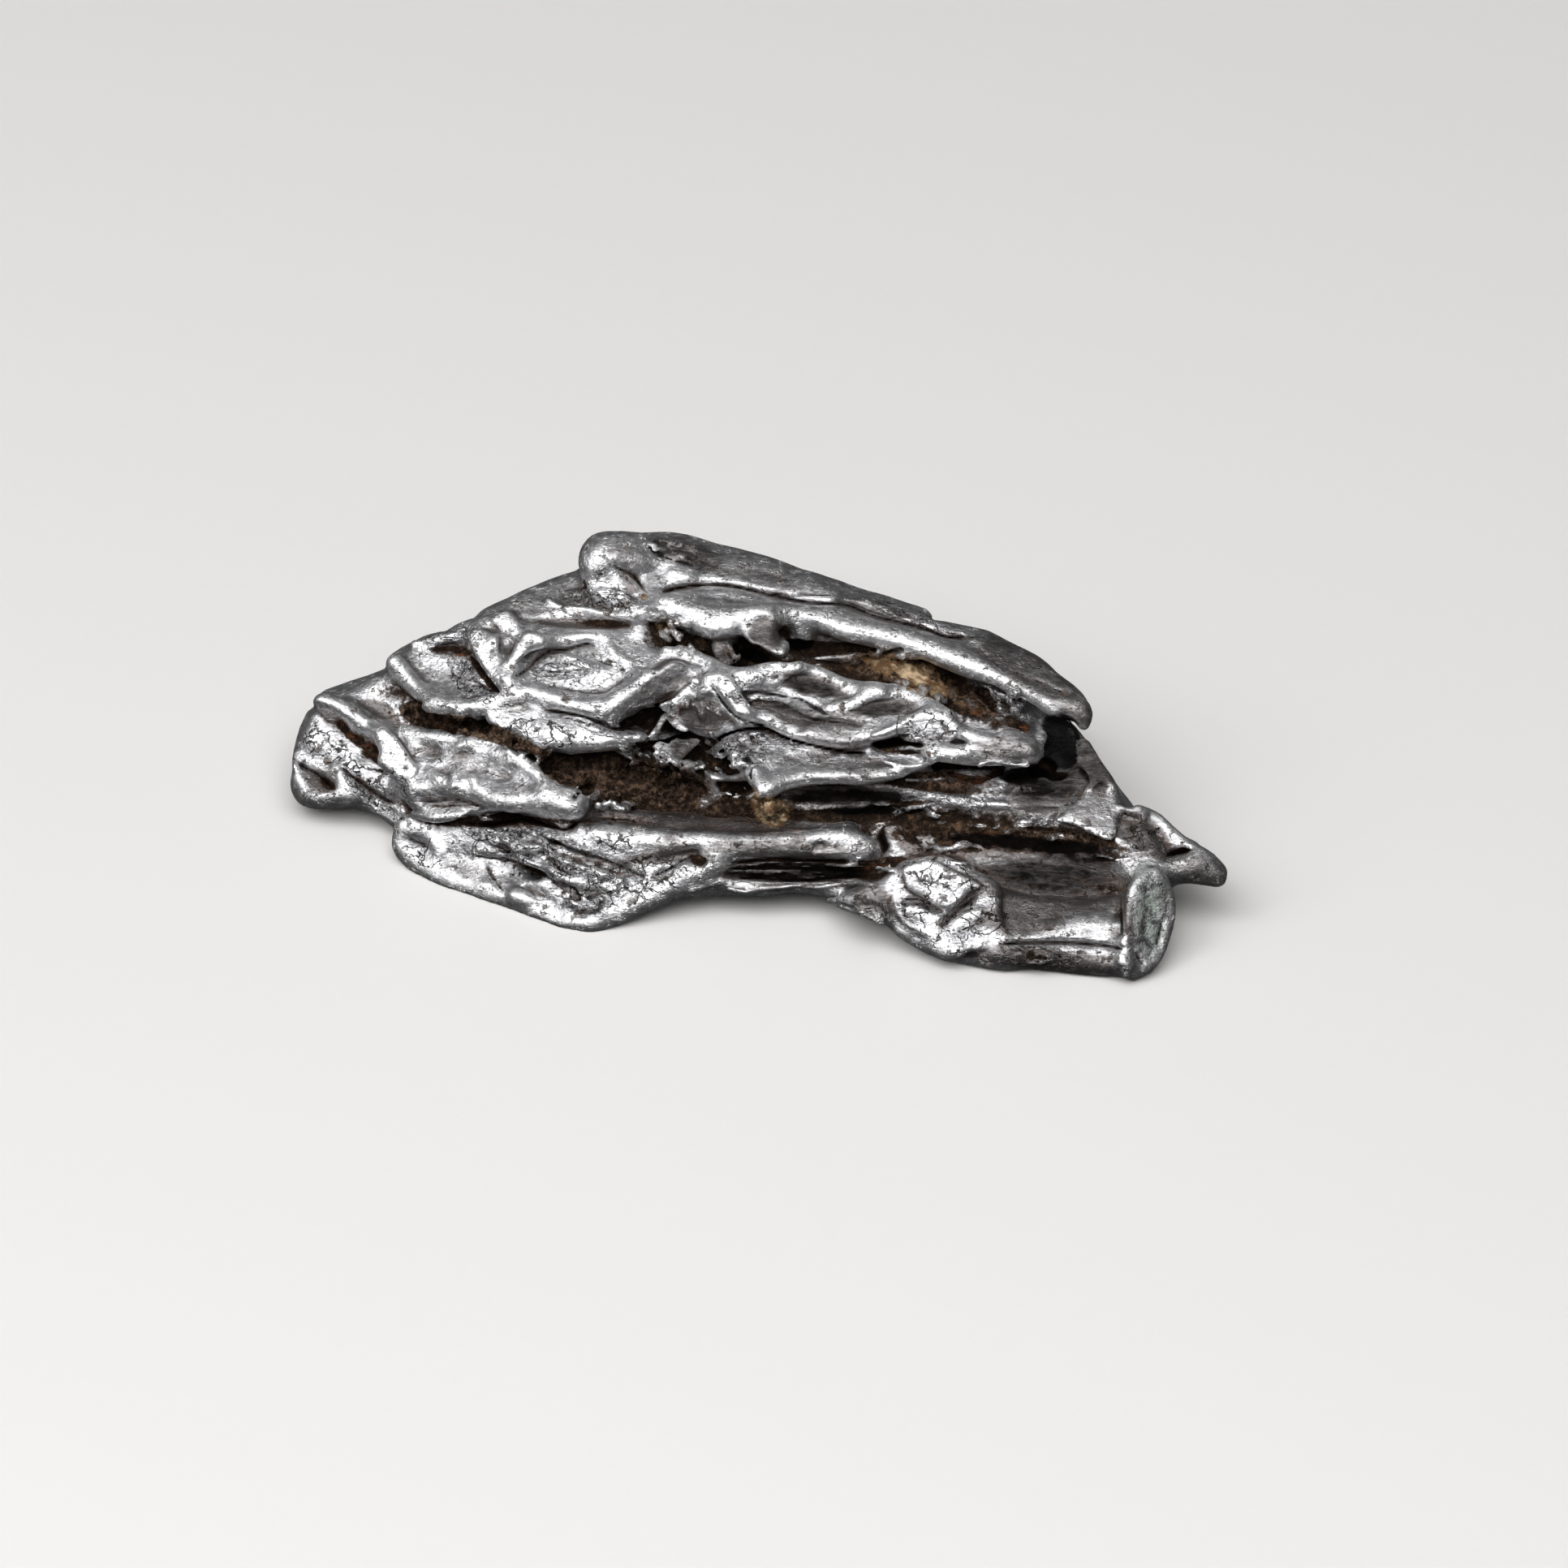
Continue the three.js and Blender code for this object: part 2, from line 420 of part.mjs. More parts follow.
// Back axes to standing axes.
const backToStanding = new THREE.Matrix4().makeBasis(
  new THREE.Vector3(-1, 0, 0),
  new THREE.Vector3(0, -Math.sin(rad(BACK_LEAN)), Math.cos(rad(BACK_LEAN))),
  new THREE.Vector3(0, Math.cos(rad(BACK_LEAN)), Math.sin(rad(BACK_LEAN))),
).setPosition(...BACK_PLACE);

const place = (solid, matrix) => solid.transform(matrix.elements);

// ---- the meteorite ------------------------------------------------------------------------

const standingToFace = faceToStanding.clone().invert();
const standingToBack = backToStanding.clone().invert();

function meteoriteSolid() {
  const under = UNDER_LEAVES.map((leaf) => leafSolid(leaf, COARSE));
  let body = join([heartSolid(), ...under]);

  body = place(body, standingToBack);
  body = join([body, ...BACK_LEAVES.map((leaf) => leafSolid(leaf, COARSE)), ...BACK_LUMPS.map(lumpSolid)]);
  body = place(cutEach(body, BACK_HOLLOWS), backToStanding);

  body = place(body, standingToFace);
  body = join([body, ...FACE_LEAVES.map((leaf) => leafSolid(leaf, FINE)), ...FACE_LUMPS.map(lumpSolid)]);
  body = place(cutEach(body, FACE_HOLLOWS), faceToStanding);

  const block = new THREE.BoxGeometry(REST_CUT, REST_CUT, REST_CUT);
  block.translate(0, 0, -REST_CUT / 2);
  return body.subtract(solidOf(block));
}

// Turns the solid so that its long axis lies along X, with its origin under its box's middle.
function meteoriteGeometry() {
  const turned = place(meteoriteSolid(), new THREE.Matrix4().makeRotationZ(rad(YAW)));
  const { numProp, vertProperties, triVerts } = turned.getMesh();
  const geometry = new THREE.BufferGeometry();
  const position = new Float32Array((vertProperties.length / numProp) * 3);
  for (let i = 0; i < position.length / 3; i += 1) {
    position.set(vertProperties.slice(i * numProp, i * numProp + 3), i * 3);
  }
  geometry.setAttribute('position', new THREE.BufferAttribute(position, 3));
  const skin = outerSkin(new Uint32Array(triVerts), position.length / 3);
  geometry.setIndex(new THREE.BufferAttribute(skin, 1));
  geometry.computeBoundingBox();
  const { min, max } = geometry.boundingBox;
  geometry.translate(-(min.x + max.x) / 2, -(min.y + max.y) / 2, -min.z);
  return geometry;
}

const iron = new THREE.MeshStandardMaterial({ color: 0xb4b4b6, roughness: 0.32, metalness: 1.0 });

const meteorite = new THREE.Mesh(meteoriteGeometry(), iron);
meteorite.name = 'meteorite';

const part = new THREE.Group();
part.add(meteorite);

export default part;
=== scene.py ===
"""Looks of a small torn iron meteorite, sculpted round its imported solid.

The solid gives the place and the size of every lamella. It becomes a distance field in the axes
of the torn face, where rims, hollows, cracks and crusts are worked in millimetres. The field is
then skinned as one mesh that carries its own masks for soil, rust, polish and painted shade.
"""

import functools
import logging
import math
from collections.abc import Sequence
from dataclasses import dataclass, field
from enum import Enum

import bpy
import numpy as np
import openvdb
from mathutils import Matrix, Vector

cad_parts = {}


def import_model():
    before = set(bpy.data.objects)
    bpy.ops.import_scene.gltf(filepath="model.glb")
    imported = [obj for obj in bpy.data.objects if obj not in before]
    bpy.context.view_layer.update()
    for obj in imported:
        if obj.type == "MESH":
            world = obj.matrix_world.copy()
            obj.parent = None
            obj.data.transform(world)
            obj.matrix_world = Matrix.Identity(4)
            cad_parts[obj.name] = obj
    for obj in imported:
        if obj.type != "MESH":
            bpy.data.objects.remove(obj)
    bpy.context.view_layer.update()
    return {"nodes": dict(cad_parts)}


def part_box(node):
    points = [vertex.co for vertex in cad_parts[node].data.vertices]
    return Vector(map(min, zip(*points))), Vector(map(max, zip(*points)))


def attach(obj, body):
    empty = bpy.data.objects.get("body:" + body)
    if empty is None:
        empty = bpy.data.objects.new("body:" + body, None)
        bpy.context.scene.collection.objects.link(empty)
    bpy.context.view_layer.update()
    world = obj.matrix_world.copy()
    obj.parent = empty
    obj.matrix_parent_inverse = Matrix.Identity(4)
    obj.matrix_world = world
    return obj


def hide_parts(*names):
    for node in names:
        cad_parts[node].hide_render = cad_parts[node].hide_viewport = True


LOG = logging.getLogger("meteorite")

Point2 = tuple[float, float]
Path2 = tuple[Point2, ...]
Colour = tuple[float, float, float]
Slices = tuple[slice, ...]
Socket = bpy.types.NodeSocket
Number = Socket | float
Paint = Socket | Colour

NODE = "meteorite"
BODY = "root"
MM = 0.001

# Angles from straight up and round the upright axis, and places in millimetres in the row frame.
FACE_LEAN = math.radians(35.0)
FACE_YAW = math.radians(16.0)
FACE_MIDDLE = (0.726, -4.814, 7.045)
BACK_LEAN = math.radians(28.0)
BACK_DEPTH = 9.5
BACK_HEIGHT = 5.5

# How many random values the noise has along each side, by the number of coordinates.
NOISE_SIDE = {2: 256, 3: 64}
SHORTEST = 1e-9


# ---- axes ---------------------------------------------------------------------------------


@dataclass(frozen=True)
class Axes:
    """Right-handed axes that stand in the row frame, in millimetres.

    Attributes:
        origin: Where the axes meet, in the row frame.
        columns: Unit vectors along, up and out, as the columns of a 3 by 3 array.
    """

    origin: np.ndarray
    columns: np.ndarray

    def local(self, points: np.ndarray) -> np.ndarray:
        """Row-frame points in these axes."""
        return (points - self.origin) @ self.columns

    def row(self, points: np.ndarray) -> np.ndarray:
        """Points in these axes, in the row frame."""
        return points @ self.columns.T + self.origin


def yawed(vector: Sequence[float]) -> np.ndarray:
    """A standing vector turned to the meteorite's long axis."""
    x, y, z = vector
    cos, sin = math.cos(FACE_YAW), math.sin(FACE_YAW)
    return np.array([x * cos - y * sin, x * sin + y * cos, z])


def face_axes() -> Axes:
    """Axes of the torn face: along it, up it and out of it."""
    cos, sin = math.cos(FACE_LEAN), math.sin(FACE_LEAN)
    columns = [yawed((1.0, 0.0, 0.0)), yawed((0.0, sin, cos)), yawed((0.0, -cos, sin))]
    return Axes(np.array(FACE_MIDDLE), np.array(columns).T)


def back_axes() -> Axes:
    """Axes of the worn back: along it towards the blunt end, up it and out of it."""
    cos, sin = math.cos(BACK_LEAN), math.sin(BACK_LEAN)
    columns = [yawed((-1.0, 0.0, 0.0)), yawed((0.0, -sin, cos)), yawed((0.0, cos, sin))]
    foot = np.array([FACE_MIDDLE[0], FACE_MIDDLE[1], 0.0])
    return Axes(foot + yawed((0.0, BACK_DEPTH, BACK_HEIGHT)), np.array(columns).T)


FACE = face_axes()
BACK = back_axes()


# ---- curves and noise ---------------------------------------------------------------------


def smooth_path(points: Sequence[Sequence[float]], spacing: float, closed: bool = False) -> np.ndarray:
    """Points along a Catmull-Rom curve.

    Args:
        points: The points that the curve passes through, with any number of columns.
        spacing: The wanted distance between neighbours, in the first two columns.
        closed: Whether the curve comes back to its first point.

    Returns:
        The curve's points, one row each.
    """
    given = np.array(points, float)
    if len(given) == 1:
        return given
    if closed:
        ends = np.vstack([given[-1], given, given[:2]])
    else:
        ends = np.vstack([2 * given[0] - given[1], given, 2 * given[-1] - given[-2]])
    pieces = []
    for before, start, end, after in zip(ends, ends[1:], ends[2:], ends[3:]):
        count = max(1, math.ceil(np.linalg.norm(end[:2] - start[:2]) / spacing))
        t = np.arange(count)[:, None] / count
        pieces.append(0.5 * (
            2 * start
            + (end - before) * t
            + (2 * before - 5 * start + 4 * end - after) * t ** 2
            + (3 * start - before - 3 * end + after) * t ** 3
        ))
    if not closed:
        pieces.append(given[-1:])
    return np.vstack(pieces)


def smoothstep(low: float, high: float, value: np.ndarray) -> np.ndarray:
    """A smooth rise from 0 at low to 1 at high."""
    t = np.clip((value - low) / (high - low), 0.0, 1.0)
    return t * t * (3.0 - 2.0 * t)


def lattice_noise(points: np.ndarray, seed: int) -> np.ndarray:
    """Smooth noise from -1 to 1 with one random value at each whole corner.

    Args:
        points: Where to read the noise, with two or three columns.
        seed: The seed of the random values.

    Returns:
        One value for each point.
    """
    columns = points.shape[1]
    size = NOISE_SIDE[columns]
    table = np.random.default_rng(seed).uniform(-1.0, 1.0, size ** columns).astype(np.float32)
    corner = np.floor(points).astype(np.int32)
    part = (points - corner).astype(np.float32)
    part = part * part * (3.0 - 2.0 * part)
    result = np.zeros(len(points), np.float32)
    for code in range(2 ** columns):
        weight = np.ones(len(points), np.float32)
        index = np.zeros(len(points), np.int32)
        for axis in range(columns):
            bit = (code >> axis) & 1
            weight *= part[:, axis] if bit else 1.0 - part[:, axis]
            index = index * size + ((corner[:, axis] + bit) & (size - 1))
        result += weight * table[index]
    return result


def from_link(
    a: np.ndarray, b: np.ndarray, start: np.ndarray, end: np.ndarray,
) -> tuple[np.ndarray, np.ndarray, np.ndarray]:
    """Where places lie from a straight link in a plane.

    Args:
        a: Coordinates of the places along the plane.
        b: Coordinates of the places up the plane.
        start: One end of the link.
        end: Its other end.

    Returns:
        The nearest point as a share of the link, and the steps from that point along and up.
    """
    run = end - start
    length = max(float(run @ run), SHORTEST)
    share = np.clip(((a - start[0]) * run[0] + (b - start[1]) * run[1]) / length, 0.0, 1.0)
    return share, a - start[0] - share * run[0], b - start[1] - share * run[1]


# ---- the distance field -------------------------------------------------------------------


@dataclass
class IronField:
    """The distance to the iron's surface on a dense grid in the face's axes, in mm.

    Attributes:
        voxel: The grid's spacing.
        first: Where the grid's first value stands, counted in spacings.
        values: The distances, below zero inside the iron.
    """

    voxel: float
    first: np.ndarray
    values: np.ndarray

    REACH = 1.8

    @classmethod
    def of_mesh(cls, points: np.ndarray, triangles: np.ndarray, voxel: float) -> "IronField":
        """The field of a closed mesh.

        Args:
            points: The mesh's corners in the face's axes.
            triangles: Its triangles, three corner numbers each.
            voxel: The grid's spacing.

        Returns:
            The field, with some room round the mesh.
        """
        band = cls.REACH / voxel
        grid = openvdb.FloatGrid.createLevelSetFromPolygons(
            points.astype(np.float32),
            triangles=triangles.astype(np.uint32),
            transform=openvdb.createLinearTransform(voxelSize=voxel),
            exBandWidth=band,
            inBandWidth=band,
        )
        margin = cls.REACH * 0.5
        first = np.floor((points.min(0) - margin) / voxel).astype(int)
        last = np.ceil((points.max(0) + margin) / voxel).astype(int)
        values = np.zeros(tuple(last - first + 1), np.float32)
        grid.copyToArray(values, ijk=tuple(int(i) for i in first))
        return cls(voxel, first, values)

    def axis(self, number: int) -> np.ndarray:
        """The grid's coordinates along one axis."""
        count = self.values.shape[number]
        return ((np.arange(count) + self.first[number]) * self.voxel).astype(np.float32)

    def window(self, low: np.ndarray, high: np.ndarray) -> Slices:
        """The part of the grid between two corners."""
        start = np.floor(low / self.voxel).astype(int) - self.first
        stop = np.ceil(high / self.voxel).astype(int) - self.first + 1
        start = np.clip(start, 0, self.values.shape)
        stop = np.clip(stop, 0, self.values.shape)
        return tuple(slice(int(a), int(b)) for a, b in zip(start, stop))

    def coordinates(self, part: Slices) -> tuple[np.ndarray, np.ndarray, np.ndarray]:
        """Coordinates of a part of the grid, ready to broadcast."""
        a, b, c = (self.axis(i)[part[i]] for i in range(3))
        return a[:, None, None], b[None, :, None], c[None, None, :]

    def chain(self, path: np.ndarray, radii: np.ndarray, reach: float) -> tuple[Slices, np.ndarray]:
        """Distance to a chain of round-ended links.

        Args:
            path: The chain's points.
            radii: The radius at each point.
            reach: How far outside the chain the distance is wanted.

        Returns:
            The part of the grid round the chain, and the distance there.
        """
        pad = radii.max() + reach
        whole = self.window(path.min(0) - pad, path.max(0) + pad)
        found = np.full([p.stop - p.start for p in whole], self.REACH, np.float32)
        for i in range(max(1, len(path) - 1)):
            j = min(i + 1, len(path) - 1)
            link = path[[i, j]]
            size = max(radii[i], radii[j]) + reach
            part = self.window(link.min(0) - size, link.max(0) + size)
            a, b, c = self.coordinates(part)
            a, b, c = a - link[0, 0], b - link[0, 1], c - link[0, 2]
            run = link[1] - link[0]
            length = max(float(run @ run), SHORTEST)
            share = np.clip((a * run[0] + b * run[1] + c * run[2]) / length, 0.0, 1.0)
            gaps = (a - share * run[0]) ** 2 + (b - share * run[1]) ** 2 + (c - share * run[2]) ** 2
            distance = np.sqrt(gaps) - (radii[i] + share * (radii[j] - radii[i]))
            local = tuple(slice(p.start - w.start, p.stop - w.start) for p, w in zip(part, whole))
            found[local] = np.minimum(found[local], distance)
        return whole, found

    def join(self, part: Slices, other: np.ndarray, blend: float) -> None:
        """Adds a shape, with a fillet of about the blend size."""
        mine = self.values[part]
        mix = np.clip(0.5 + 0.5 * (other - mine) / blend, 0.0, 1.0)
        self.values[part] = other * (1.0 - mix) + mine * mix - blend * mix * (1.0 - mix)

    def carve(self, part: Slices, other: np.ndarray, blend: float) -> None:
        """Takes a shape away, with a rounded lip of about the blend size."""
        mine = self.values[part]
        mix = np.clip(0.5 - 0.5 * (mine + other) / blend, 0.0, 1.0)
        self.values[part] = -other * mix + mine * (1.0 - mix) + blend * mix * (1.0 - mix)

    def sample(self, values: np.ndarray, points: np.ndarray) -> np.ndarray:
        """Reads a grid of values between its points.

        Args:
            values: A grid as large as the field.
            points: Where to read it, in the face's axes.

        Returns:
            One value for each point.
        """
        scaled = np.clip(points / self.voxel - self.first, 0.0, np.array(values.shape) - 1.001)
        corner = scaled.astype(np.int32)
        part = (scaled - corner).astype(np.float32)
        flat = values.reshape(-1)
        _, ny, nz = values.shape
        base = (corner[:, 0] * ny + corner[:, 1]) * nz + corner[:, 2]
        result = np.zeros(len(points), np.float32)
        for code in range(8):
            x, y, z = code & 1, (code >> 1) & 1, (code >> 2) & 1
            weight = (
                (part[:, 0] if x else 1.0 - part[:, 0])
                * (part[:, 1] if y else 1.0 - part[:, 1])
                * (part[:, 2] if z else 1.0 - part[:, 2])
            )
            result += weight * flat[base + (x * ny + y) * nz + z]
        return result

    def gradient(self, values: np.ndarray, points: np.ndarray) -> np.ndarray:
        """The unit direction in which a grid of values grows fastest."""
        step = self.voxel
        rises = [
            self.sample(values, points + step * unit) - self.sample(values, points - step * unit)
            for unit in np.eye(3)
        ]
        slopes = np.stack(rises, axis=1)
        return slopes / np.maximum(np.linalg.norm(slopes, axis=1), 1e-6)[:, None]

    def landing(self, axes: Axes, places: np.ndarray) -> np.ndarray:
        """Where straight lines that come in along an axes' out direction meet the iron.

        Args:
            axes: The axes whose out direction is followed inwards.
            places: Places in those axes' plane, two columns.

        Returns:
            The height at each place, in the given axes.
        """
        start, steps, caution, longest_rise = 12.0, 60, 0.75, 0.3
        height = np.full(len(places), start)
        for _ in range(steps):
            points = FACE.local(axes.row(np.column_stack([places, height])))
            height -= caution * np.clip(self.sample(self.values, points), -longest_rise, self.REACH)
        return height

    def heights(self) -> np.ndarray:
        """Height of the outermost surface along each column that runs out of the face."""
        inside = self.values < 0.0
        count = inside.shape[2]
        top = count - 1 - np.argmax(inside[:, :, ::-1], axis=2)
        heights = (top + self.first[2]) * self.voxel
        return np.where(inside.any(axis=2), heights, float(self.first[2]) * self.voxel)

    def softened(self, values: np.ndarray, width: float) -> np.ndarray:
        """A grid of values blurred by a bell of the given width."""
        cut_off = 2.5
        reach = max(1, math.ceil(cut_off * width / self.voxel))
        steps = np.arange(-reach, reach + 1) * self.voxel
        bell = np.exp(-0.5 * (steps / width) ** 2)
        bell = (bell / bell.sum()).astype(np.float32)
        for axis in range(values.ndim):
            padding = [(0, 0)] * values.ndim
            padding[axis] = (reach, reach)
            padded = np.pad(values, padding, mode="edge")
            values = np.zeros_like(values)
            for i, weight in enumerate(bell):
                cut = [slice(None)] * values.ndim
                cut[axis] = slice(i, i + values.shape[axis])
                values += weight * padded[tuple(cut)]
        return values

    def skin(self) -> tuple[np.ndarray, np.ndarray]:
        """The surface as corners and four-sided faces."""
        band = 3.0 * self.voxel
        grid = openvdb.FloatGrid(band)
        grid.transform = openvdb.createLinearTransform(voxelSize=self.voxel)
        grid.gridClass = openvdb.GridClass.LEVEL_SET
        grid.copyFromArray(np.clip(self.values, -band, band), ijk=tuple(int(i) for i in self.first))
        points, quads = grid.convertToQuads(isovalue=0.0)
        return points.astype(float), quads[:, ::-1].astype(np.int64)


# ---- worked features ----------------------------------------------------------------------


@dataclass(frozen=True)
class Roll:
    """A rounded rim, ridge or knob that stands on the surface.

    Attributes:
        path: Its points in the plane of its side; a single point makes a knob.
        radius: Its radius, or one radius for each point.
        lift: How far it stands proud of the surface under it.
        blend: The size of the fillet round its foot.
    """

    path: Path2
    radius: float | tuple[float, ...] = 0.35
    lift: float = 0.15
    blend: float = 0.4

    SPACING = 0.35
    THINNEST = 0.05
    PROBE = 0.22
    EVENING = np.array([1, 2, 3, 2, 1]) / 9.0

    def work(self, iron: IronField, axes: Axes) -> None:
        """Adds the roll to the field, on the side that the axes look out of."""
        curve = self.curve()
        curve[:, 2] = np.maximum(curve[:, 2], self.THINNEST)
        around = ((0.0, 0.0), (self.PROBE, 0.0), (-self.PROBE, 0.0), (0.0, self.PROBE), (0.0, -self.PROBE))
        heights = np.max([iron.landing(axes, curve[:, :2] + step) for step in around], axis=0)
        if len(heights) >= len(self.EVENING):
            padded = np.pad(heights, len(self.EVENING) // 2, mode="edge")
            heights = np.convolve(padded, self.EVENING, mode="valid")
        part, found = self.measured(iron, axes, curve, heights + self.lift - curve[:, 2])
        iron.join(part, found, self.blend)

    def curve(self) -> np.ndarray:
        """Points along the path, with the radius as a third column."""
        radii = self.radius if isinstance(self.radius, tuple) else (self.radius,) * len(self.path)
        return smooth_path([(*point, radius) for point, radius in zip(self.path, radii)], self.SPACING)

    def measured(
        self, iron: IronField, axes: Axes, curve: np.ndarray, level: np.ndarray,
    ) -> tuple[Slices, np.ndarray]:
        """The distance to the chain along a curve.

        Args:
            iron: The field that the chain stands in.
            axes: The axes of its side.
            curve: The curve's places in their plane, and its radii.
            level: The height of the chain's middle at each of them.

        Returns:
            The part of the grid round the chain, and the distance there.
        """
        path = FACE.local(axes.row(np.column_stack([curve[:, :2], level])))
        return iron.chain(path, curve[:, 2], 2.0 * self.blend)


@dataclass(frozen=True)
class Cave(Roll):
    """A rounded hole or tunnel sunk into the surface, whose lift is below zero."""

    lift: float = -0.1
    blend: float = 0.2

    def work(self, iron: IronField, axes: Axes) -> None:
        """Takes the hole out of the field, on the side that the axes look out of."""
        curve = self.curve()
        part, found = self.measured(iron, axes, curve, iron.landing(axes, curve[:, :2]) + self.lift)
        iron.carve(part, found, self.blend)


@dataclass(frozen=True)
class Shards:
    """A scatter of small broken ridges, or of pits, that all lean about one way.

    Attributes:
        centre: The middle of the scatter in the plane of its side.
        size: Its half widths along and across.
        turn: The angle of the scatter and of its marks, in degrees.
        count: How many marks it has.
        length: The length of one mark.
        radius: The radius of one mark.
        seed: The seed of the scatter.
        sunk: Whether the marks are pits.
    """

    centre: Point2
    size: Point2
    turn: float
    count: int
    length: float = 0.5
    radius: float = 0.1
    seed: int = 1
    sunk: bool = False

    WANDER = 0.35
    RUNS = (0.3, 0.8)
    BENDS = (-0.4, 0.4)
    GIRTHS = (0.6, 1.3)
    END_SHARE = 0.5
    BLEND = 0.08

    def work(self, iron: IronField, axes: Axes) -> None:
        """Works the marks into the field."""
        random = np.random.default_rng(self.seed)
        lean = math.radians(self.turn)
        cos, sin = math.cos(lean), math.sin(lean)
        for _ in range(self.count):
            reach, round_about = math.sqrt(random.random()), random.uniform(0.0, 2.0 * math.pi)
            along = self.size[0] * reach * math.cos(round_about)
            across = self.size[1] * reach * math.sin(round_about)
            middle = np.array([self.centre[0] + along * cos - across * sin,
                               self.centre[1] + along * sin + across * cos])
            angle = lean + random.normal(0.0, self.WANDER)
            run = np.array([math.cos(angle), math.sin(angle)]) * self.length * random.uniform(*self.RUNS)
            bend = np.array([-run[1], run[0]]) * random.uniform(*self.BENDS)
            thick = self.radius * random.uniform(*self.GIRTHS)
            path = (tuple(middle - run), tuple(middle + bend), tuple(middle + run))
            radii = (self.END_SHARE * thick, thick, self.END_SHARE * thick)
            mark = Cave(path, radii, 0.0, self.BLEND) if self.sunk else Roll(path, radii, thick, self.BLEND)
            mark.work(iron, axes)


@dataclass(frozen=True)
class Slab:
    """A thin lamella with a rounded rim, flush with a sloping plane.

    Attributes:
        outline: Its outline in the face's plane.
        at: A point of its top, in the face's axes.
        slope: How its top rises along and up the face.
        thickness: Its thickness.
        blend: The size of the fillet where it meets the rest.
        rim: The radius of its rim.
        planed: Whether the iron over it is cut away, which leaves a flat facet.
    """

    outline: Path2
    at: tuple[float, float, float]
    slope: Point2
    thickness: float = 0.8
    blend: float = 0.15
    rim: float = 0.14
    planed: bool = False

    SPACING = 0.4
    REACH = 0.8
    OVER = 3.0
    RIM_SHARE = 0.9

    def work(self, iron: IronField, axes: Axes) -> None:
        """Adds the lamella to the field; it always lies in the face's axes."""
        curve = smooth_path(self.outline, self.SPACING, closed=True)
        a0, b0, c0 = self.at
        tops = c0 + (curve[:, 0] - a0) * self.slope[0] + (curve[:, 1] - b0) * self.slope[1]
        over = self.OVER if self.planed else self.REACH
        low = np.array([*(curve.min(0) - self.REACH), tops.min() - self.thickness - self.REACH])
        high = np.array([*(curve.max(0) + self.REACH), tops.max() + over])
        part = iron.window(low, high)
        a, b, c = iron.coordinates(part)
        away = outline_distance(curve, a[:, :, 0], b[:, :, 0])[:, :, None]
        steep = math.sqrt(1.0 + self.slope[0] ** 2 + self.slope[1] ** 2)
        top = c0 + (a - a0) * self.slope[0] + (b - b0) * self.slope[1]
        if self.planed:
            iron.carve(part, np.maximum(away, (top - c) / steep).astype(np.float32), self.blend)
        half = 0.5 * self.thickness
        flat = np.abs((c - top) / steep + half) - half
        rim = min(self.rim, self.RIM_SHARE * half)
        outside = np.hypot(np.maximum(away + rim, 0.0), np.maximum(flat + rim, 0.0))
        found = outside + np.minimum(np.maximum(away, flat) + rim, 0.0) - rim
        iron.join(part, found.astype(np.float32), self.blend)


def outline_distance(curve: np.ndarray, a: np.ndarray, b: np.ndarray) -> np.ndarray:
    """Signed distance to a closed outline, below zero inside.

    Args:
        curve: The outline's points.
        a: Coordinates along the face, as a column.
        b: Coordinates up the face, as a row.

    Returns:
        The distance at each crossing of the two.
    """
    nearest = np.full(np.broadcast(a, b).shape, np.inf)
    inside = np.zeros(nearest.shape, bool)
    for start, end in zip(curve, np.roll(curve, -1, axis=0)):
        _, along, up = from_link(a, b, start, end)
        nearest = np.minimum(nearest, along ** 2 + up ** 2)
        if start[1] != end[1]:
            crosses = (start[1] > b) != (end[1] > b)
            inside ^= crosses & (a < start[0] + (b - start[1]) * (end[0] - start[0]) / (end[1] - start[1]))
    return np.where(inside, -1.0, 1.0) * np.sqrt(nearest)


# ---- relief and stains on the torn face ---------------------------------------------------


class FaceMap:
    """A map of millimetres or of shares over the torn face's plane."""

    def __init__(self, iron: IronField) -> None:
        """Starts an empty map as wide and as high as the field."""
        self.iron = iron
        self.a = iron.axis(0)
        self.b = iron.axis(1)
        self.values = np.zeros((len(self.a), len(self.b)), np.float32)

    def window(self, low: np.ndarray, high: np.ndarray) -> tuple[Slices, np.ndarray, np.ndarray]:
        """The part of the map between two corners, with its coordinates as a column and a row."""
        part = self.iron.window(np.append(low, 0.0), np.append(high, 0.0))[:2]
        return part, self.a[part[0]][:, None], self.b[part[1]][None, :]

    def patch(self, centre: Point2, reach: float, turn: float) -> tuple[Slices, np.ndarray, np.ndarray]:
        """The part of the map round a centre, with coordinates in turned axes.

        Args:
            centre: The middle of the part, where the coordinates are zero.
            reach: Half its width.
            turn: The angle of the coordinates, in degrees.

        Returns:
            The part, and its coordinates along and across the turned direction.
        """
        part, a, b = self.window(np.array(centre) - reach, np.array(centre) + reach)
        cos, sin = math.cos(math.radians(turn)), math.sin(math.radians(turn))
        x, y = a - centre[0], b - centre[1]
        return part, x * cos + y * sin, y * cos - x * sin

    def read(self, points: np.ndarray) -> np.ndarray:
        """The map's values at places in the face's plane."""
        place = points[:, :2] / self.iron.voxel - self.iron.first[:2]
        place = np.clip(place, 0.0, np.array(self.values.shape) - 1.001)
        corner = place.astype(np.int32)
        x, y = (place - corner).T
        i, j = corner.T
        v = self.values
        low = v[i, j] * (1 - x) + v[i + 1, j] * x
        high = v[i, j + 1] * (1 - x) + v[i + 1, j + 1] * x
        return low * (1 - y) + high * y


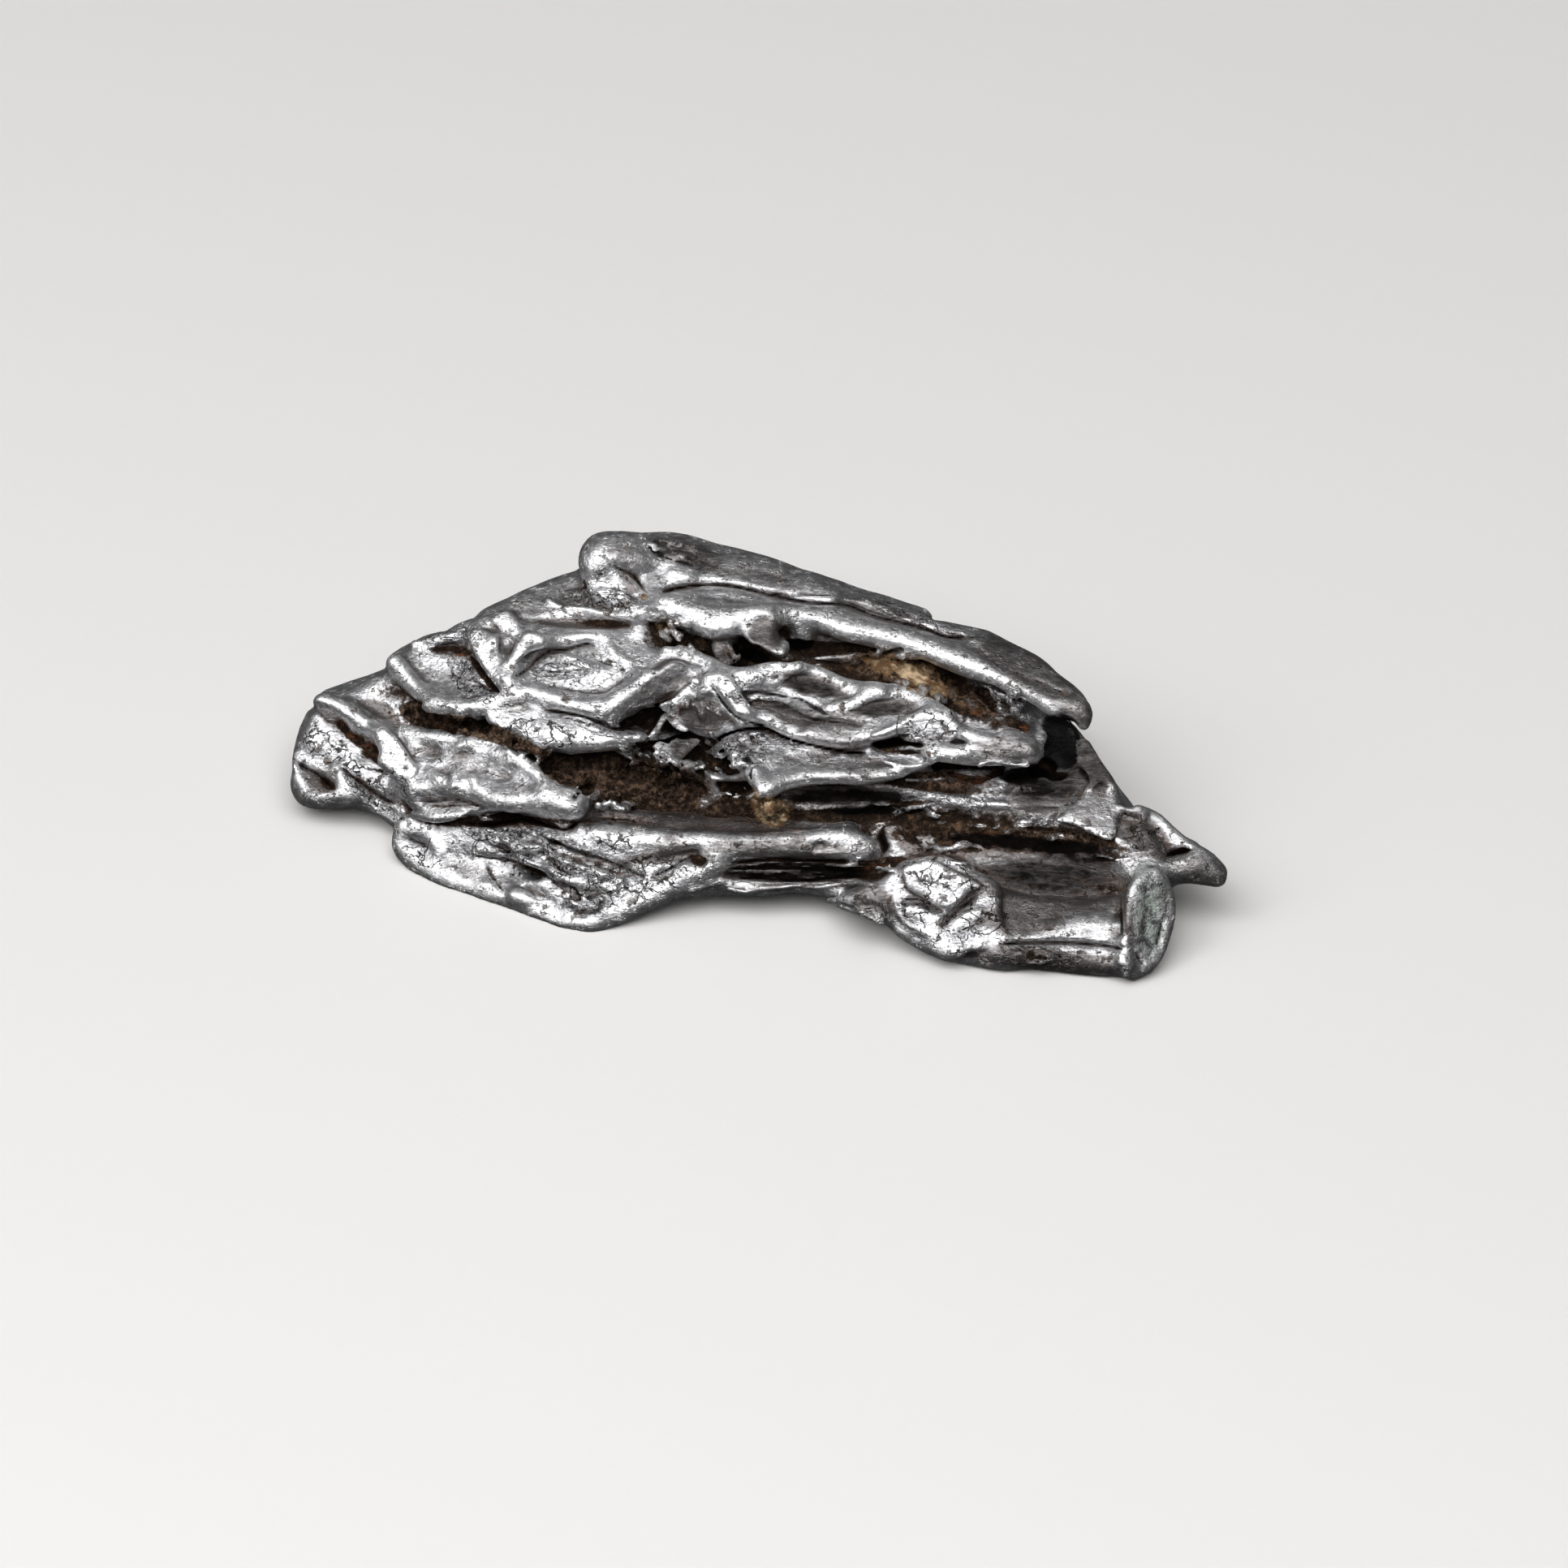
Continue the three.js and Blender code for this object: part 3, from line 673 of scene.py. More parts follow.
@dataclass(frozen=True)
class Stroke:
    """A thin ridge, or a crack where its height is below zero.

    Attributes:
        path: Its points in the face's plane.
        width: Its half width.
        height: How far its crest stands out.
    """

    path: Path2
    width: float = 0.2
    height: float = -0.3

    SPACING = 0.3
    TAPER = 0.5
    POINT = 0.25
    FAINT = 0.4
    DEEPER = 1.2
    # How dark the painted shadow along a crack gets at most, and how fast it fades across it.
    BLACKEST = 0.8
    SHADOW_FALL = 1.5

    def draw(self, relief: FaceMap) -> None:
        """Adds the stroke to the relief."""
        part, best = self.profile(relief)
        relief.values[part] += (self.height * best).astype(np.float32)

    def blacken(self, mask: FaceMap) -> None:
        """Paints shadow along the bottom of a crack."""
        part, best = self.profile(mask)
        share = min(self.BLACKEST, self.FAINT - self.DEEPER * self.height) * best ** self.SHADOW_FALL
        mask.values[part] = np.maximum(mask.values[part], share.astype(np.float32))

    def profile(self, relief: FaceMap) -> tuple[Slices, np.ndarray]:
        """The part of a map under the stroke, and the stroke's share of its height there."""
        curve = smooth_path(self.path, self.SPACING)
        part, a, b = relief.window(curve.min(0) - self.width, curve.max(0) + self.width)
        steps = np.linalg.norm(np.diff(curve, axis=0), axis=1)
        along = np.concatenate([[0.0], np.cumsum(steps)])
        best = np.zeros(np.broadcast(a, b).shape)
        for i, (start, end) in enumerate(zip(curve, curve[1:])):
            share, step_along, step_up = from_link(a, b, start, end)
            place = along[i] + share * steps[i]
            end_gap = np.minimum(place, along[-1] - place)
            taper = self.POINT + (1.0 - self.POINT) * smoothstep(0.0, self.TAPER, end_gap)
            across = np.clip(1.0 - np.hypot(step_along, step_up) / (self.width * taper), 0.0, 1.0)
            shape = across if self.height < 0.0 else across * (2.0 - across)
            best = np.maximum(best, shape * taper)
        return part, best


@dataclass(frozen=True)
class Dish:
    """A soft hollow, or a swelling where its depth is below zero.

    Attributes:
        centre: Its middle in the face's plane.
        size: Its half widths along and across.
        depth: How deep its middle goes.
        turn: The angle of its long axis, in degrees.
    """

    centre: Point2
    size: Point2
    depth: float
    turn: float = 0.0

    REACH = 1.6
    FALL = 1.4
    FLATNESS = 1.5

    def draw(self, relief: FaceMap) -> None:
        """Adds the hollow to the relief."""
        part, along, across = relief.patch(self.centre, self.REACH * max(self.size), self.turn)
        spread = (along / self.size[0]) ** 2 + (across / self.size[1]) ** 2
        bowl = np.exp(-self.FALL * spread ** self.FLATNESS)
        relief.values[part] -= (self.depth * bowl).astype(np.float32)


class Grain(Enum):
    """Kinds of fine relief."""

    STRIAE = "striae"
    FLAKES = "flakes"
    HAMMERED = "hammered"


@dataclass(frozen=True)
class Texture:
    """A patch of fine relief with soft edges.

    Attributes:
        grain: Its kind.
        centre: Its middle in the face's plane.
        size: Its half widths along and across.
        turn: The angle of its grain, in degrees.
        cell: The length and the width of one mark.
        height: How far the marks stand out.
        seed: The seed of the pattern.
    """

    grain: Grain
    centre: Point2
    size: Point2
    turn: float
    cell: Point2
    height: float
    seed: int = 1

    REACH = 1.3
    EDGE = (0.6, 1.1)
    SEED_SHIFT = 17.3
    BEND_SEED = 50
    BEND_CELLS = (0.35, 0.12)
    BEND = 0.8
    LEVELS = 2.5
    STEP = (0.55, 1.0)

    def draw(self, relief: FaceMap) -> None:
        """Adds the patch to the relief."""
        part, along, across = relief.patch(self.centre, self.REACH * max(self.size), self.turn)
        places = np.column_stack([(along / self.cell[0]).ravel(), (across / self.cell[1]).ravel()])
        places += self.seed * self.SEED_SHIFT
        bend = self.BEND * lattice_noise(places * self.BEND_CELLS, self.seed + self.BEND_SEED)
        places[:, 1] += bend * self.size[1] / self.cell[1] * 0.5
        spread = np.sqrt((along / self.size[0]) ** 2 + (across / self.size[1]) ** 2)
        patch = self.marks(places).reshape(along.shape) * (1.0 - smoothstep(*self.EDGE, spread))
        relief.values[part] += (self.height * patch).astype(np.float32)

    def marks(self, places: np.ndarray) -> np.ndarray:
        """The height of the marks, about 1 at most, at places that are counted in marks."""
        noise = lattice_noise(places, self.seed)
        if self.grain is Grain.STRIAE:
            return 0.7 * noise + 0.3 * lattice_noise(places * (1.3, 2.1), self.seed + 1)
        if self.grain is Grain.HAMMERED:
            return noise - 0.4 * np.abs(lattice_noise(places * 2.0, self.seed + 3))
        terraces = self.LEVELS * (noise + 0.5 * lattice_noise(places * 2.3, self.seed + 2))
        step = np.floor(terraces)
        return (step + smoothstep(*self.STEP, terraces - step)) / self.LEVELS


class Stain(Enum):
    """Kinds of discoloured patch and of painted shade; each becomes a mask on the mesh."""

    SOIL = "soil"
    RUST = "rust"
    TAN = "tan"
    PATINA = "patina"
    GRIT = "grit"
    # Painted shadow: near-black paint for the darkest crevices and the bottoms of cracks.
    SOOT = "crevice_shadow"
    TORN = "torn"
    # Painted shade: a dark layer that darkens metal in hollows and tones down highlights.
    FILM = "shade_film"
    CRACKS = "cracks"


@dataclass(frozen=True)
class Spot:
    """A soft-edged stain, or patch of painted shade, on the torn face.

    Attributes:
        stain: Its kind.
        centre: Its middle in the face's plane.
        size: Its half widths along and across.
        turn: The angle of its long axis, in degrees.
        strength: Its share at the middle.
    """

    stain: Stain
    centre: Point2
    size: Point2
    turn: float = 0.0
    strength: float = 1.0

    REACH = 1.5
    EDGE = (0.55, 1.25)

    def draw(self, mask: FaceMap) -> None:
        """Adds the stain to its mask."""
        part, along, across = mask.patch(self.centre, self.REACH * max(self.size), self.turn)
        spread = np.sqrt((along / self.size[0]) ** 2 + (across / self.size[1]) ** 2)
        share = (self.strength * (1.0 - smoothstep(*self.EDGE, spread))).astype(np.float32)
        mask.values[part] = np.maximum(mask.values[part], share)


@dataclass(frozen=True)
class Region:
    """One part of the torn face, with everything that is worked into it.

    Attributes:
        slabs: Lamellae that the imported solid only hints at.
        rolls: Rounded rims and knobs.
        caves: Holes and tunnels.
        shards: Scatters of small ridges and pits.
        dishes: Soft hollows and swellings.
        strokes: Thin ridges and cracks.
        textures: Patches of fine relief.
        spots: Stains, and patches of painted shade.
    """

    slabs: tuple[Slab, ...] = ()
    rolls: tuple[Roll, ...] = ()
    caves: tuple[Cave, ...] = ()
    shards: tuple[Shards, ...] = ()
    dishes: tuple[Dish, ...] = ()
    strokes: tuple[Stroke, ...] = ()
    textures: tuple[Texture, ...] = ()
    spots: tuple[Spot, ...] = ()

    def shape(self, iron: IronField) -> None:
        """Works the lamellae, rims and holes into the field."""
        for solid in (*self.slabs, *self.rolls, *self.caves, *self.shards):
            solid.work(iron, FACE)

    def engrave(self, relief: FaceMap) -> None:
        """Draws the hollows, cracks and grain into the relief."""
        for mark in (*self.dishes, *self.strokes, *self.textures):
            mark.draw(relief)

    def stain(self, masks: dict[Stain, FaceMap]) -> None:
        """Draws the stains and the patches of painted shade into their masks, and painted shadow along
        cracks.
        """
        for spot in self.spots:
            spot.draw(masks[spot.stain])
        # Every crack gets painted shadow along its bottom.
        for stroke in self.strokes:
            if stroke.height < 0.0:
                stroke.blacken(masks[Stain.SOOT])
        for patch in self.textures:
            if patch.grain is Grain.FLAKES:
                Spot(Stain.TORN, patch.centre, patch.size, patch.turn).draw(masks[Stain.TORN])


# ---- the torn face, part by part ----------------------------------------------------------


@dataclass(frozen=True)
class CrownPlate(Region):
    """The long upper plate, with a thick rolled rim, a hanging tongue and a curled end."""

    slabs: tuple[Slab, ...] = (
        Slab(((-0.9, 6.3), (-0.3, 7.0), (0.4, 7.1), (0.75, 6.5), (0.75, 6.0), (1.25, 5.75), (1.3, 5.2),
              (0.9, 5.15), (0.2, 5.5), (-0.5, 5.85)), (0.2, 6.1, -2.45), (0.1, -0.8), 1.2, 0.25, 0.15,
             True),
    )
    rolls: tuple[Roll, ...] = (
        Roll(((-4.5, 7.75), (-3.6, 7.25), (-2.6, 6.85), (-1.6, 6.75), (-0.6, 6.95), (0.4, 7.15),
              (1.6, 7.15), (2.8, 6.95), (4.0, 6.65), (5.2, 6.25), (6.6, 5.95), (8.0, 5.55),
              (9.4, 5.1), (10.8, 4.55), (12.0, 4.0), (13.2, 3.35), (14.4, 2.75)),
             (0.6, 0.72, 0.78, 0.78, 0.68, 0.6, 0.56, 0.55, 0.55, 0.52, 0.5, 0.48, 0.42, 0.4, 0.38,
              0.34, 0.3), 0.06, 0.55),
        Roll(((14.2, 2.75), (15.0, 2.6), (15.7, 2.55), (16.05, 2.2), (16.0, 1.7)),
             (0.3, 0.34, 0.38, 0.36, 0.25), 0.03, 0.55),
        Roll(((2.1, 6.3), (2.4, 6.05)), (0.32, 0.25), 0.0),
    )
    dishes: tuple[Dish, ...] = (
        Dish((-2.2, 7.95), (2.3, 0.45), 0.1, -4.0),
        Dish((3.4, 7.25), (1.6, 0.35), 0.1, -16.0),
        Dish((1.1, 6.2), (0.5, 0.4), 0.3),
    )
    strokes: tuple[Stroke, ...] = (
        Stroke(((-5.0, 8.15), (-4.2, 8.45), (-2.4, 8.65), (-1.0, 8.5), (0.4, 8.15), (1.8, 7.85),
                (3.2, 7.7), (4.4, 7.6), (5.6, 7.1), (7.0, 6.75), (8.3, 6.4), (9.2, 6.05), (10.4, 5.9)),
               0.22, -0.4),
        Stroke(((0.2, 8.3), (1.2, 8.15), (2.4, 8.12), (3.8, 8.1)), 0.12, -0.2),
        Stroke(((10.6, 5.6), (11.1, 5.1), (11.7, 4.6), (12.4, 4.1)), 0.14, -0.15),
    )
    textures: tuple[Texture, ...] = (
        Texture(Grain.HAMMERED, (-1.5, 7.2), (4.0, 1.2), -8.0, (1.1, 0.7), 0.06, 3),
        Texture(Grain.HAMMERED, (0.2, 6.0), (0.9, 0.9), -30.0, (0.4, 0.25), 0.1, 10),
    )
    spots: tuple[Spot, ...] = (
        Spot(Stain.FILM, (0.3, 6.1), (1.1, 1.1), -20.0),
        Spot(Stain.FILM, (13.2, 4.5), (3.6, 1.2), -32.0, 0.8),
        Spot(Stain.FILM, (15.6, 2.3), (1.1, 0.8), -20.0, 0.8),
    )


@dataclass(frozen=True)
class Crest(Region):
    """The plates behind the crown: the big knob, dark thin lamellae and the grey right end."""

    slabs: tuple[Slab, ...] = (
        Slab(((-8.6, 9.3), (-7.8, 9.5), (-7.0, 9.3), (-6.3, 8.8), (-5.5, 8.1), (-6.0, 7.75), (-7.0, 7.75),
              (-8.0, 7.9), (-8.6, 8.4)), (-7.0, 8.6, -4.75), (0.12, -0.22), 1.2, 0.3, 0.1, True),
    )
    rolls: tuple[Roll, ...] = (
        Roll(((-8.1, 9.55), (-7.4, 9.85), (-6.6, 9.8), (-5.9, 9.5)), (0.75, 0.9, 0.85, 0.6), 0.06, 0.45),
        Roll(((-6.0, 9.85), (-5.2, 9.7), (-4.3, 9.5), (-3.4, 9.25)), (0.45, 0.4, 0.32, 0.22), 0.07, 0.45),
        Roll(((-4.4, 9.2), (-3.9, 9.0), (-3.3, 8.85)), (0.2, 0.28, 0.15), 0.1, 0.3),
        Roll(((4.6, 7.75), (5.4, 7.7), (6.4, 7.35)), (0.12, 0.2, 0.12), 0.05),
    )
    shards: tuple[Shards, ...] = (
        Shards((-3.8, 10.25), (1.8, 0.5), -14.0, 26, 0.7, 0.08, 61, True),
        Shards((-3.6, 10.2), (2.1, 0.5), -16.0, 26, 0.6, 0.06, 62),
        Shards((-6.9, 8.6), (1.2, 0.6), -50.0, 18, 0.5, 0.06, 63, True),
    )
    dishes: tuple[Dish, ...] = (
        Dish((-0.2, 9.1), (2.6, 0.5), 0.15, -9.0),
        Dish((12.6, 5.0), (1.8, 0.7), 0.12, -38.0),
    )
    strokes: tuple[Stroke, ...] = (
        Stroke(((-7.5, 9.75), (-6.9, 9.4), (-6.3, 9.1), (-5.9, 8.6), (-5.6, 8.1)), 0.16, -0.25),
        Stroke(((-7.0, 9.2), (-6.5, 8.8), (-6.1, 8.3)), 0.12, -0.15),
        Stroke(((-8.7, 9.1), (-8.65, 8.6), (-8.4, 8.2)), 0.14, -0.2),
        Stroke(((9.4, 6.25), (10.2, 6.05), (10.9, 5.95)), 0.12, -0.2),
        Stroke(((12.0, 4.5), (12.8, 4.15), (13.8, 3.75), (14.8, 3.3), (15.5, 3.05)), 0.12, -0.2),
        Stroke(((12.9, 5.0), (13.3, 4.6), (13.8, 4.15)), 0.1, -0.14),
        Stroke(((13.3, 4.45), (13.9, 4.05)), 0.16, 0.12),
        Stroke(((14.2, 3.75), (14.9, 3.3)), 0.14, 0.14),
        Stroke(((14.8, 3.8), (15.6, 3.2)), 0.14, 0.12),
    )
    textures: tuple[Texture, ...] = (
        Texture(Grain.STRIAE, (-3.8, 10.2), (1.9, 0.6), -12.0, (0.8, 0.16), 0.14, 5),
        Texture(Grain.FLAKES, (8.0, 6.9), (3.0, 0.4), -20.0, (1.1, 0.2), 0.12, 6),
        Texture(Grain.STRIAE, (1.0, 8.9), (3.0, 0.8), -12.0, (1.2, 0.25), 0.05, 7),
        Texture(Grain.HAMMERED, (-6.9, 8.6), (1.3, 0.8), -45.0, (0.6, 0.25), 0.05, 8),
    )
    spots: tuple[Spot, ...] = (
        Spot(Stain.CRACKS, (-7.2, 8.6), (1.6, 1.0), -30.0, 0.4),
        Spot(Stain.FILM, (-3.6, 10.15), (2.4, 0.8), -16.0, 0.8),
        Spot(Stain.FILM, (-6.6, 10.1), (1.4, 0.6), -12.0, 0.6),
        Spot(Stain.FILM, (0.4, 8.9), (3.6, 0.65), -12.0, 0.55),
        Spot(Stain.FILM, (5.8, 7.4), (3.0, 0.45), -18.0, 0.7),
        Spot(Stain.FILM, (10.6, 6.1), (1.8, 0.4), -14.0, 0.4),
        Spot(Stain.RUST, (-6.4, 8.6), (1.2, 0.45), -52.0, 0.9),
        Spot(Stain.TAN, (-5.7, 8.05), (0.45, 0.25), -20.0, 0.4),
        Spot(Stain.SOIL, (8.2, 6.75), (2.6, 0.4), -20.0, 0.45),
    )


@dataclass(frozen=True)
class UpperCrevice(Region):
    """The deep split under the crown, with its tan and golden deposits and its cavern."""

    slabs: tuple[Slab, ...] = (
        Slab(((-6.3, 7.0), (-5.4, 7.3), (-4.5, 7.0), (-3.4, 6.6), (-2.4, 6.0), (-2.3, 5.3), (-3.2, 5.4),
              (-4.2, 5.5), (-5.2, 5.4), (-6.1, 5.9)), (-4.6, 6.3, -4.35), (-0.2, -0.3), 2.0, 0.3, 0.1),
        Slab(((-2.4, 5.7), (-1.9, 6.1), (-1.1, 6.0), (-0.75, 5.5), (-1.0, 4.9), (-1.6, 4.65), (-2.2, 5.0)),
             (-1.5, 5.4, -3.35), (0.15, -0.1), 2.0, 0.04, 0.25),
    )
    rolls: tuple[Roll, ...] = (
        Roll(((2.8, 5.0), (4.2, 5.08), (5.5, 5.12)), (0.09, 0.12, 0.08), 0.2, 0.12),
        Roll(((5.9, 5.15), (6.6, 5.12), (7.1, 5.2)), (0.08, 0.1, 0.06), 0.12, 0.1),
        Roll(((11.6, 3.35), (12.1, 3.1), (12.3, 2.8)), 0.16, 0.3, 0.12),
        Roll(((12.4, 3.2), (12.8, 3.35)), 0.16, 0.3, 0.12),
        Roll(((12.2, 2.45), (12.7, 2.4), (12.95, 2.65)), 0.16, 0.3, 0.12),
    )
    caves: tuple[Cave, ...] = (
        Cave(((-0.9, 5.6), (-0.5, 5.4)), 0.4),
        Cave(((1.7, 5.6), (2.6, 5.5), (3.8, 5.5), (5.4, 5.45), (7.0, 5.35)), (0.3, 0.4, 0.3, 0.28, 0.25)),
        Cave(((9.6, 3.9), (9.9, 3.4)), 0.5),
        Cave(((11.1, 3.2), (11.5, 2.7)), 0.4),
    )
    shards: tuple[Shards, ...] = (
        Shards((-1.5, 5.35), (0.7, 0.5), -65.0, 14, 0.6, 0.06, 71, True),
        Shards((7.6, 4.1), (2.4, 0.8), -27.0, 46, 0.3, 0.1, 72),
        Shards((7.6, 4.1), (2.4, 0.8), -27.0, 40, 0.35, 0.08, 73, True),
        Shards((-4.5, 6.3), (1.6, 0.7), -40.0, 34, 0.3, 0.12, 74),
        Shards((4.2, 4.9), (2.4, 0.4), -4.0, 22, 0.9, 0.06, 75, True),
    )
    dishes: tuple[Dish, ...] = (
        Dish((7.6, 4.1), (2.0, 0.8), -0.25, -27.0),
        Dish((10.7, 2.6), (0.7, 0.5), -0.2, -30.0),
        Dish((12.4, 1.35), (0.9, 0.3), -0.2, -10.0),
    )
    strokes: tuple[Stroke, ...] = (
        Stroke(((2.8, 4.9), (3.8, 4.75), (4.8, 4.55), (5.2, 4.7)), 0.12, -0.2),
        Stroke(((11.6, 2.1), (12.4, 2.05), (13.1, 2.15)), 0.1, -0.2),
    )
    textures: tuple[Texture, ...] = (
        Texture(Grain.FLAKES, (12.3, 2.8), (0.9, 0.8), 10.0, (0.4, 0.25), 0.15, 11),
        Texture(Grain.STRIAE, (4.5, 5.0), (2.6, 0.45), -2.0, (0.8, 0.16), 0.12, 12),
        Texture(Grain.HAMMERED, (-4.4, 6.3), (1.6, 0.8), -35.0, (0.5, 0.2), 0.12, 13),
        Texture(Grain.STRIAE, (-1.5, 5.4), (0.7, 0.6), -60.0, (0.5, 0.12), 0.12, 14),
    )
    spots: tuple[Spot, ...] = (
        Spot(Stain.SOIL, (-4.2, 6.2), (1.9, 0.8), -35.0, 0.6),
        Spot(Stain.SOOT, (-0.3, 5.1), (0.9, 0.4), -10.0, 0.9),
        Spot(Stain.SOOT, (1.9, 5.7), (0.9, 0.35), 0.0, 0.9),
        Spot(Stain.FILM, (-1.5, 5.4), (1.0, 0.8)),
        Spot(Stain.SOOT, (-1.4, 5.2), (0.8, 0.5), 0.0, 0.4),
        Spot(Stain.FILM, (4.6, 5.1), (2.6, 0.4), -2.0, 0.9),
        Spot(Stain.SOIL, (-0.6, 5.1), (1.3, 0.5), -10.0),
        Spot(Stain.SOIL, (4.6, 5.1), (3.4, 0.6), -3.0, 0.75),
        Spot(Stain.SOIL, (4.6, 4.2), (1.6, 0.35), -20.0),
        Spot(Stain.SOIL, (9.8, 3.2), (2.6, 0.9), -30.0),
        Spot(Stain.SOIL, (12.4, 1.6), (1.2, 0.5), -8.0, 0.9),
        Spot(Stain.TAN, (7.5, 4.2), (1.4, 0.5), -27.0, 0.8),
        Spot(Stain.TAN, (-4.8, 6.6), (1.0, 0.4), -45.0, 0.3),
        Spot(Stain.TAN, (7.5, 4.15), (2.7, 0.9), -25.0, 0.55),
        Spot(Stain.SOIL, (6.4, 4.5), (2.2, 0.7), -15.0, 0.9),
        Spot(Stain.GRIT, (6.2, 4.5), (2.2, 0.7), -15.0, 0.9),
        Spot(Stain.RUST, (10.6, 2.5), (0.7, 0.4), -25.0, 0.8),
        Spot(Stain.RUST, (13.1, 1.5), (0.4, 0.35), -30.0, 0.9),
        Spot(Stain.GRIT, (-3.8, 6.2), (1.3, 0.8), -30.0, 0.8),
        Spot(Stain.GRIT, (8.4, 4.0), (3.0, 0.7), -28.0, 0.7),
        Spot(Stain.GRIT, (11.4, 2.6), (1.4, 0.8), -28.0, 0.8),
    )


@dataclass(frozen=True)
class LongLamella(Region):
    """The wavy lamella across the middle, with its tongue, its lenses and its long finger."""

    slabs: tuple[Slab, ...] = (
        Slab(((2.8, 2.35), (3.6, 2.75), (4.6, 3.0), (5.6, 3.35), (6.1, 3.2), (5.2, 2.65), (4.2, 2.3),
              (3.4, 2.15)), (4.4, 2.75, -0.75), (0.08, -0.2), 0.8, 0.12, 0.12, True),
        Slab(((10.2, 1.3), (11.4, 1.15), (12.7, 0.85), (13.6, 0.6), (13.85, 0.2), (13.5, -0.2),
              (12.3, -0.15), (11.0, -0.05), (10.3, 0.2)), (12.0, 0.5, 1.1), (0.02, -0.3), 0.9, 0.3, 0.3,
             True),
        Slab(((0.8, 1.9), (1.6, 2.0), (2.8, 1.75), (4.2, 1.6), (5.3, 1.3), (5.4, 1.0), (4.4, 0.8),
              (3.0, 0.85), (1.8, 1.2)), (3.0, 1.3, -0.35), (0.0, -0.5)),
        Slab(((-0.7, 2.7), (0.6, 2.9), (1.8, 2.45), (2.5, 1.95), (2.3, 1.35), (1.5, 1.3), (0.6, 1.7),
              (-0.3, 2.05)), (1.0, 2.1, -1.3), (0.1, -0.75), 0.6, 0.2, 0.1, True),
        Slab(((-1.4, 4.0), (-0.6, 4.5), (0.3, 4.75), (1.2, 4.8), (2.0, 4.65), (2.0, 4.3), (1.3, 3.85),
              (0.5, 3.45), (-0.5, 3.3), (-1.2, 3.35)), (0.3, 4.1, -1.62), (0.0, -0.14), 0.9, 0.25, 0.18,
             True),
        Slab(((-2.9, 4.1), (-2.2, 4.35), (-1.5, 4.05), (-0.95, 3.4), (-0.55, 2.8), (-0.5, 2.2),
              (-1.2, 2.0), (-1.8, 2.5), (-2.15, 3.0), (-2.6, 3.5)), (-1.6, 3.2, -1.2), (0.28, -0.16), 0.9,
             0.15, 0.2, True),
        Slab(((5.7, 1.1), (6.5, 1.6), (7.4, 2.1), (8.3, 2.4), (9.2, 2.1), (10.0, 1.6), (10.3, 1.2),
              (9.5, 1.05), (8.6, 1.1), (7.6, 1.0), (6.6, 0.95)), (7.8, 1.6, 0.08), (0.0, -0.2), 0.8, 0.2,
             0.15, True),
    )
    rolls: tuple[Roll, ...] = (
        Roll(((-4.6, 5.3), (-3.9, 5.2), (-3.1, 4.95), (-2.2, 4.6), (-1.2, 4.2), (-0.2, 3.9)),
             (0.18, 0.25, 0.28, 0.32, 0.35, 0.3), 0.05, 0.55),
        Roll(((2.0, 4.5), (2.9, 4.25), (3.7, 3.85), (4.7, 3.5), (5.7, 3.45),
              (6.7, 3.25), (7.7, 2.95), (8.6, 2.55), (9.4, 2.2)),
             (0.3, 0.32, 0.32, 0.34, 0.36, 0.34, 0.32, 0.3, 0.25), 0.05, 0.55),
        Roll(((-1.0, 2.35), (-0.3, 2.15), (0.6, 2.05)), (0.36, 0.34, 0.25), 0.06, 0.5),
        Roll(((5.6, 1.15), (6.4, 1.45), (7.3, 1.85), (8.2, 2.15), (9.0, 2.0), (9.7, 1.6), (10.2, 1.2)),
             (0.14, 0.15, 0.15, 0.16, 0.18, 0.16, 0.14), 0.0),
        Roll(((8.6, 0.3), (9.8, 0.32), (11.0, 0.42), (12.2, 0.45), (13.3, 0.42)),
             (0.3, 0.38, 0.5, 0.5, 0.45), 0.03, 0.55),
        Roll(((10.1, 1.15), (11.2, 0.9), (12.4, 0.7), (13.2, 0.55)), (0.36, 0.38, 0.36, 0.34), 0.06, 0.45),
        Roll(((10.8, -0.32), (11.5, -0.15), (12.2, -0.28), (13.2, -0.32)), 0.13, 0.15, 0.12),
    )
    shards: tuple[Shards, ...] = (
        Shards((-1.9, 3.3), (0.9, 0.3), -50.0, 8, 0.35, 0.06, 12),
        Shards((7.5, 1.8), (1.8, 0.35), 25.0, 16, 0.3, 0.05, 13, True),
        Shards((7.6, 0.9), (1.3, 0.35), 0.0, 14, 0.35, 0.09, 14),
        Shards((3.6, 1.9), (1.8, 0.2), -3.0, 10, 0.6, 0.06, 15, True),
    )
    dishes: tuple[Dish, ...] = (
        Dish((2.6, 3.6), (1.6, 0.55), 0.15, -14.0),
        Dish((6.2, 2.45), (1.7, 0.5), 0.14, 6.0),
        Dish((7.0, 1.1), (0.9, 0.25), 0.3, 14.0),
    )
    strokes: tuple[Stroke, ...] = (
        Stroke(((-0.9, 3.25), (0.2, 3.25), (1.2, 3.1), (2.1, 2.9), (2.8, 2.5), (3.5, 2.1)), 0.16),
        Stroke(((-1.0, 2.9), (-0.2, 2.6), (0.3, 2.4)), 0.1, -0.12),
        Stroke(((2.2, 2.0), (3.2, 1.85), (4.2, 1.75), (5.2, 1.55)), 0.14, -0.35),
        Stroke(((9.2, 0.75), (9.9, 0.85), (10.4, 0.7)), 0.16, -0.5),
        Stroke(((5.4, 0.75), (6.4, 0.75), (7.4, 0.75), (8.3, 0.6)), 0.2, -0.4),
        Stroke(((-2.6, 3.8), (-2.2, 3.4), (-1.8, 2.8), (-1.4, 2.3), (-0.9, 1.95), (-0.2, 1.75),
                (0.6, 1.6)), 0.12, -0.25),
    )
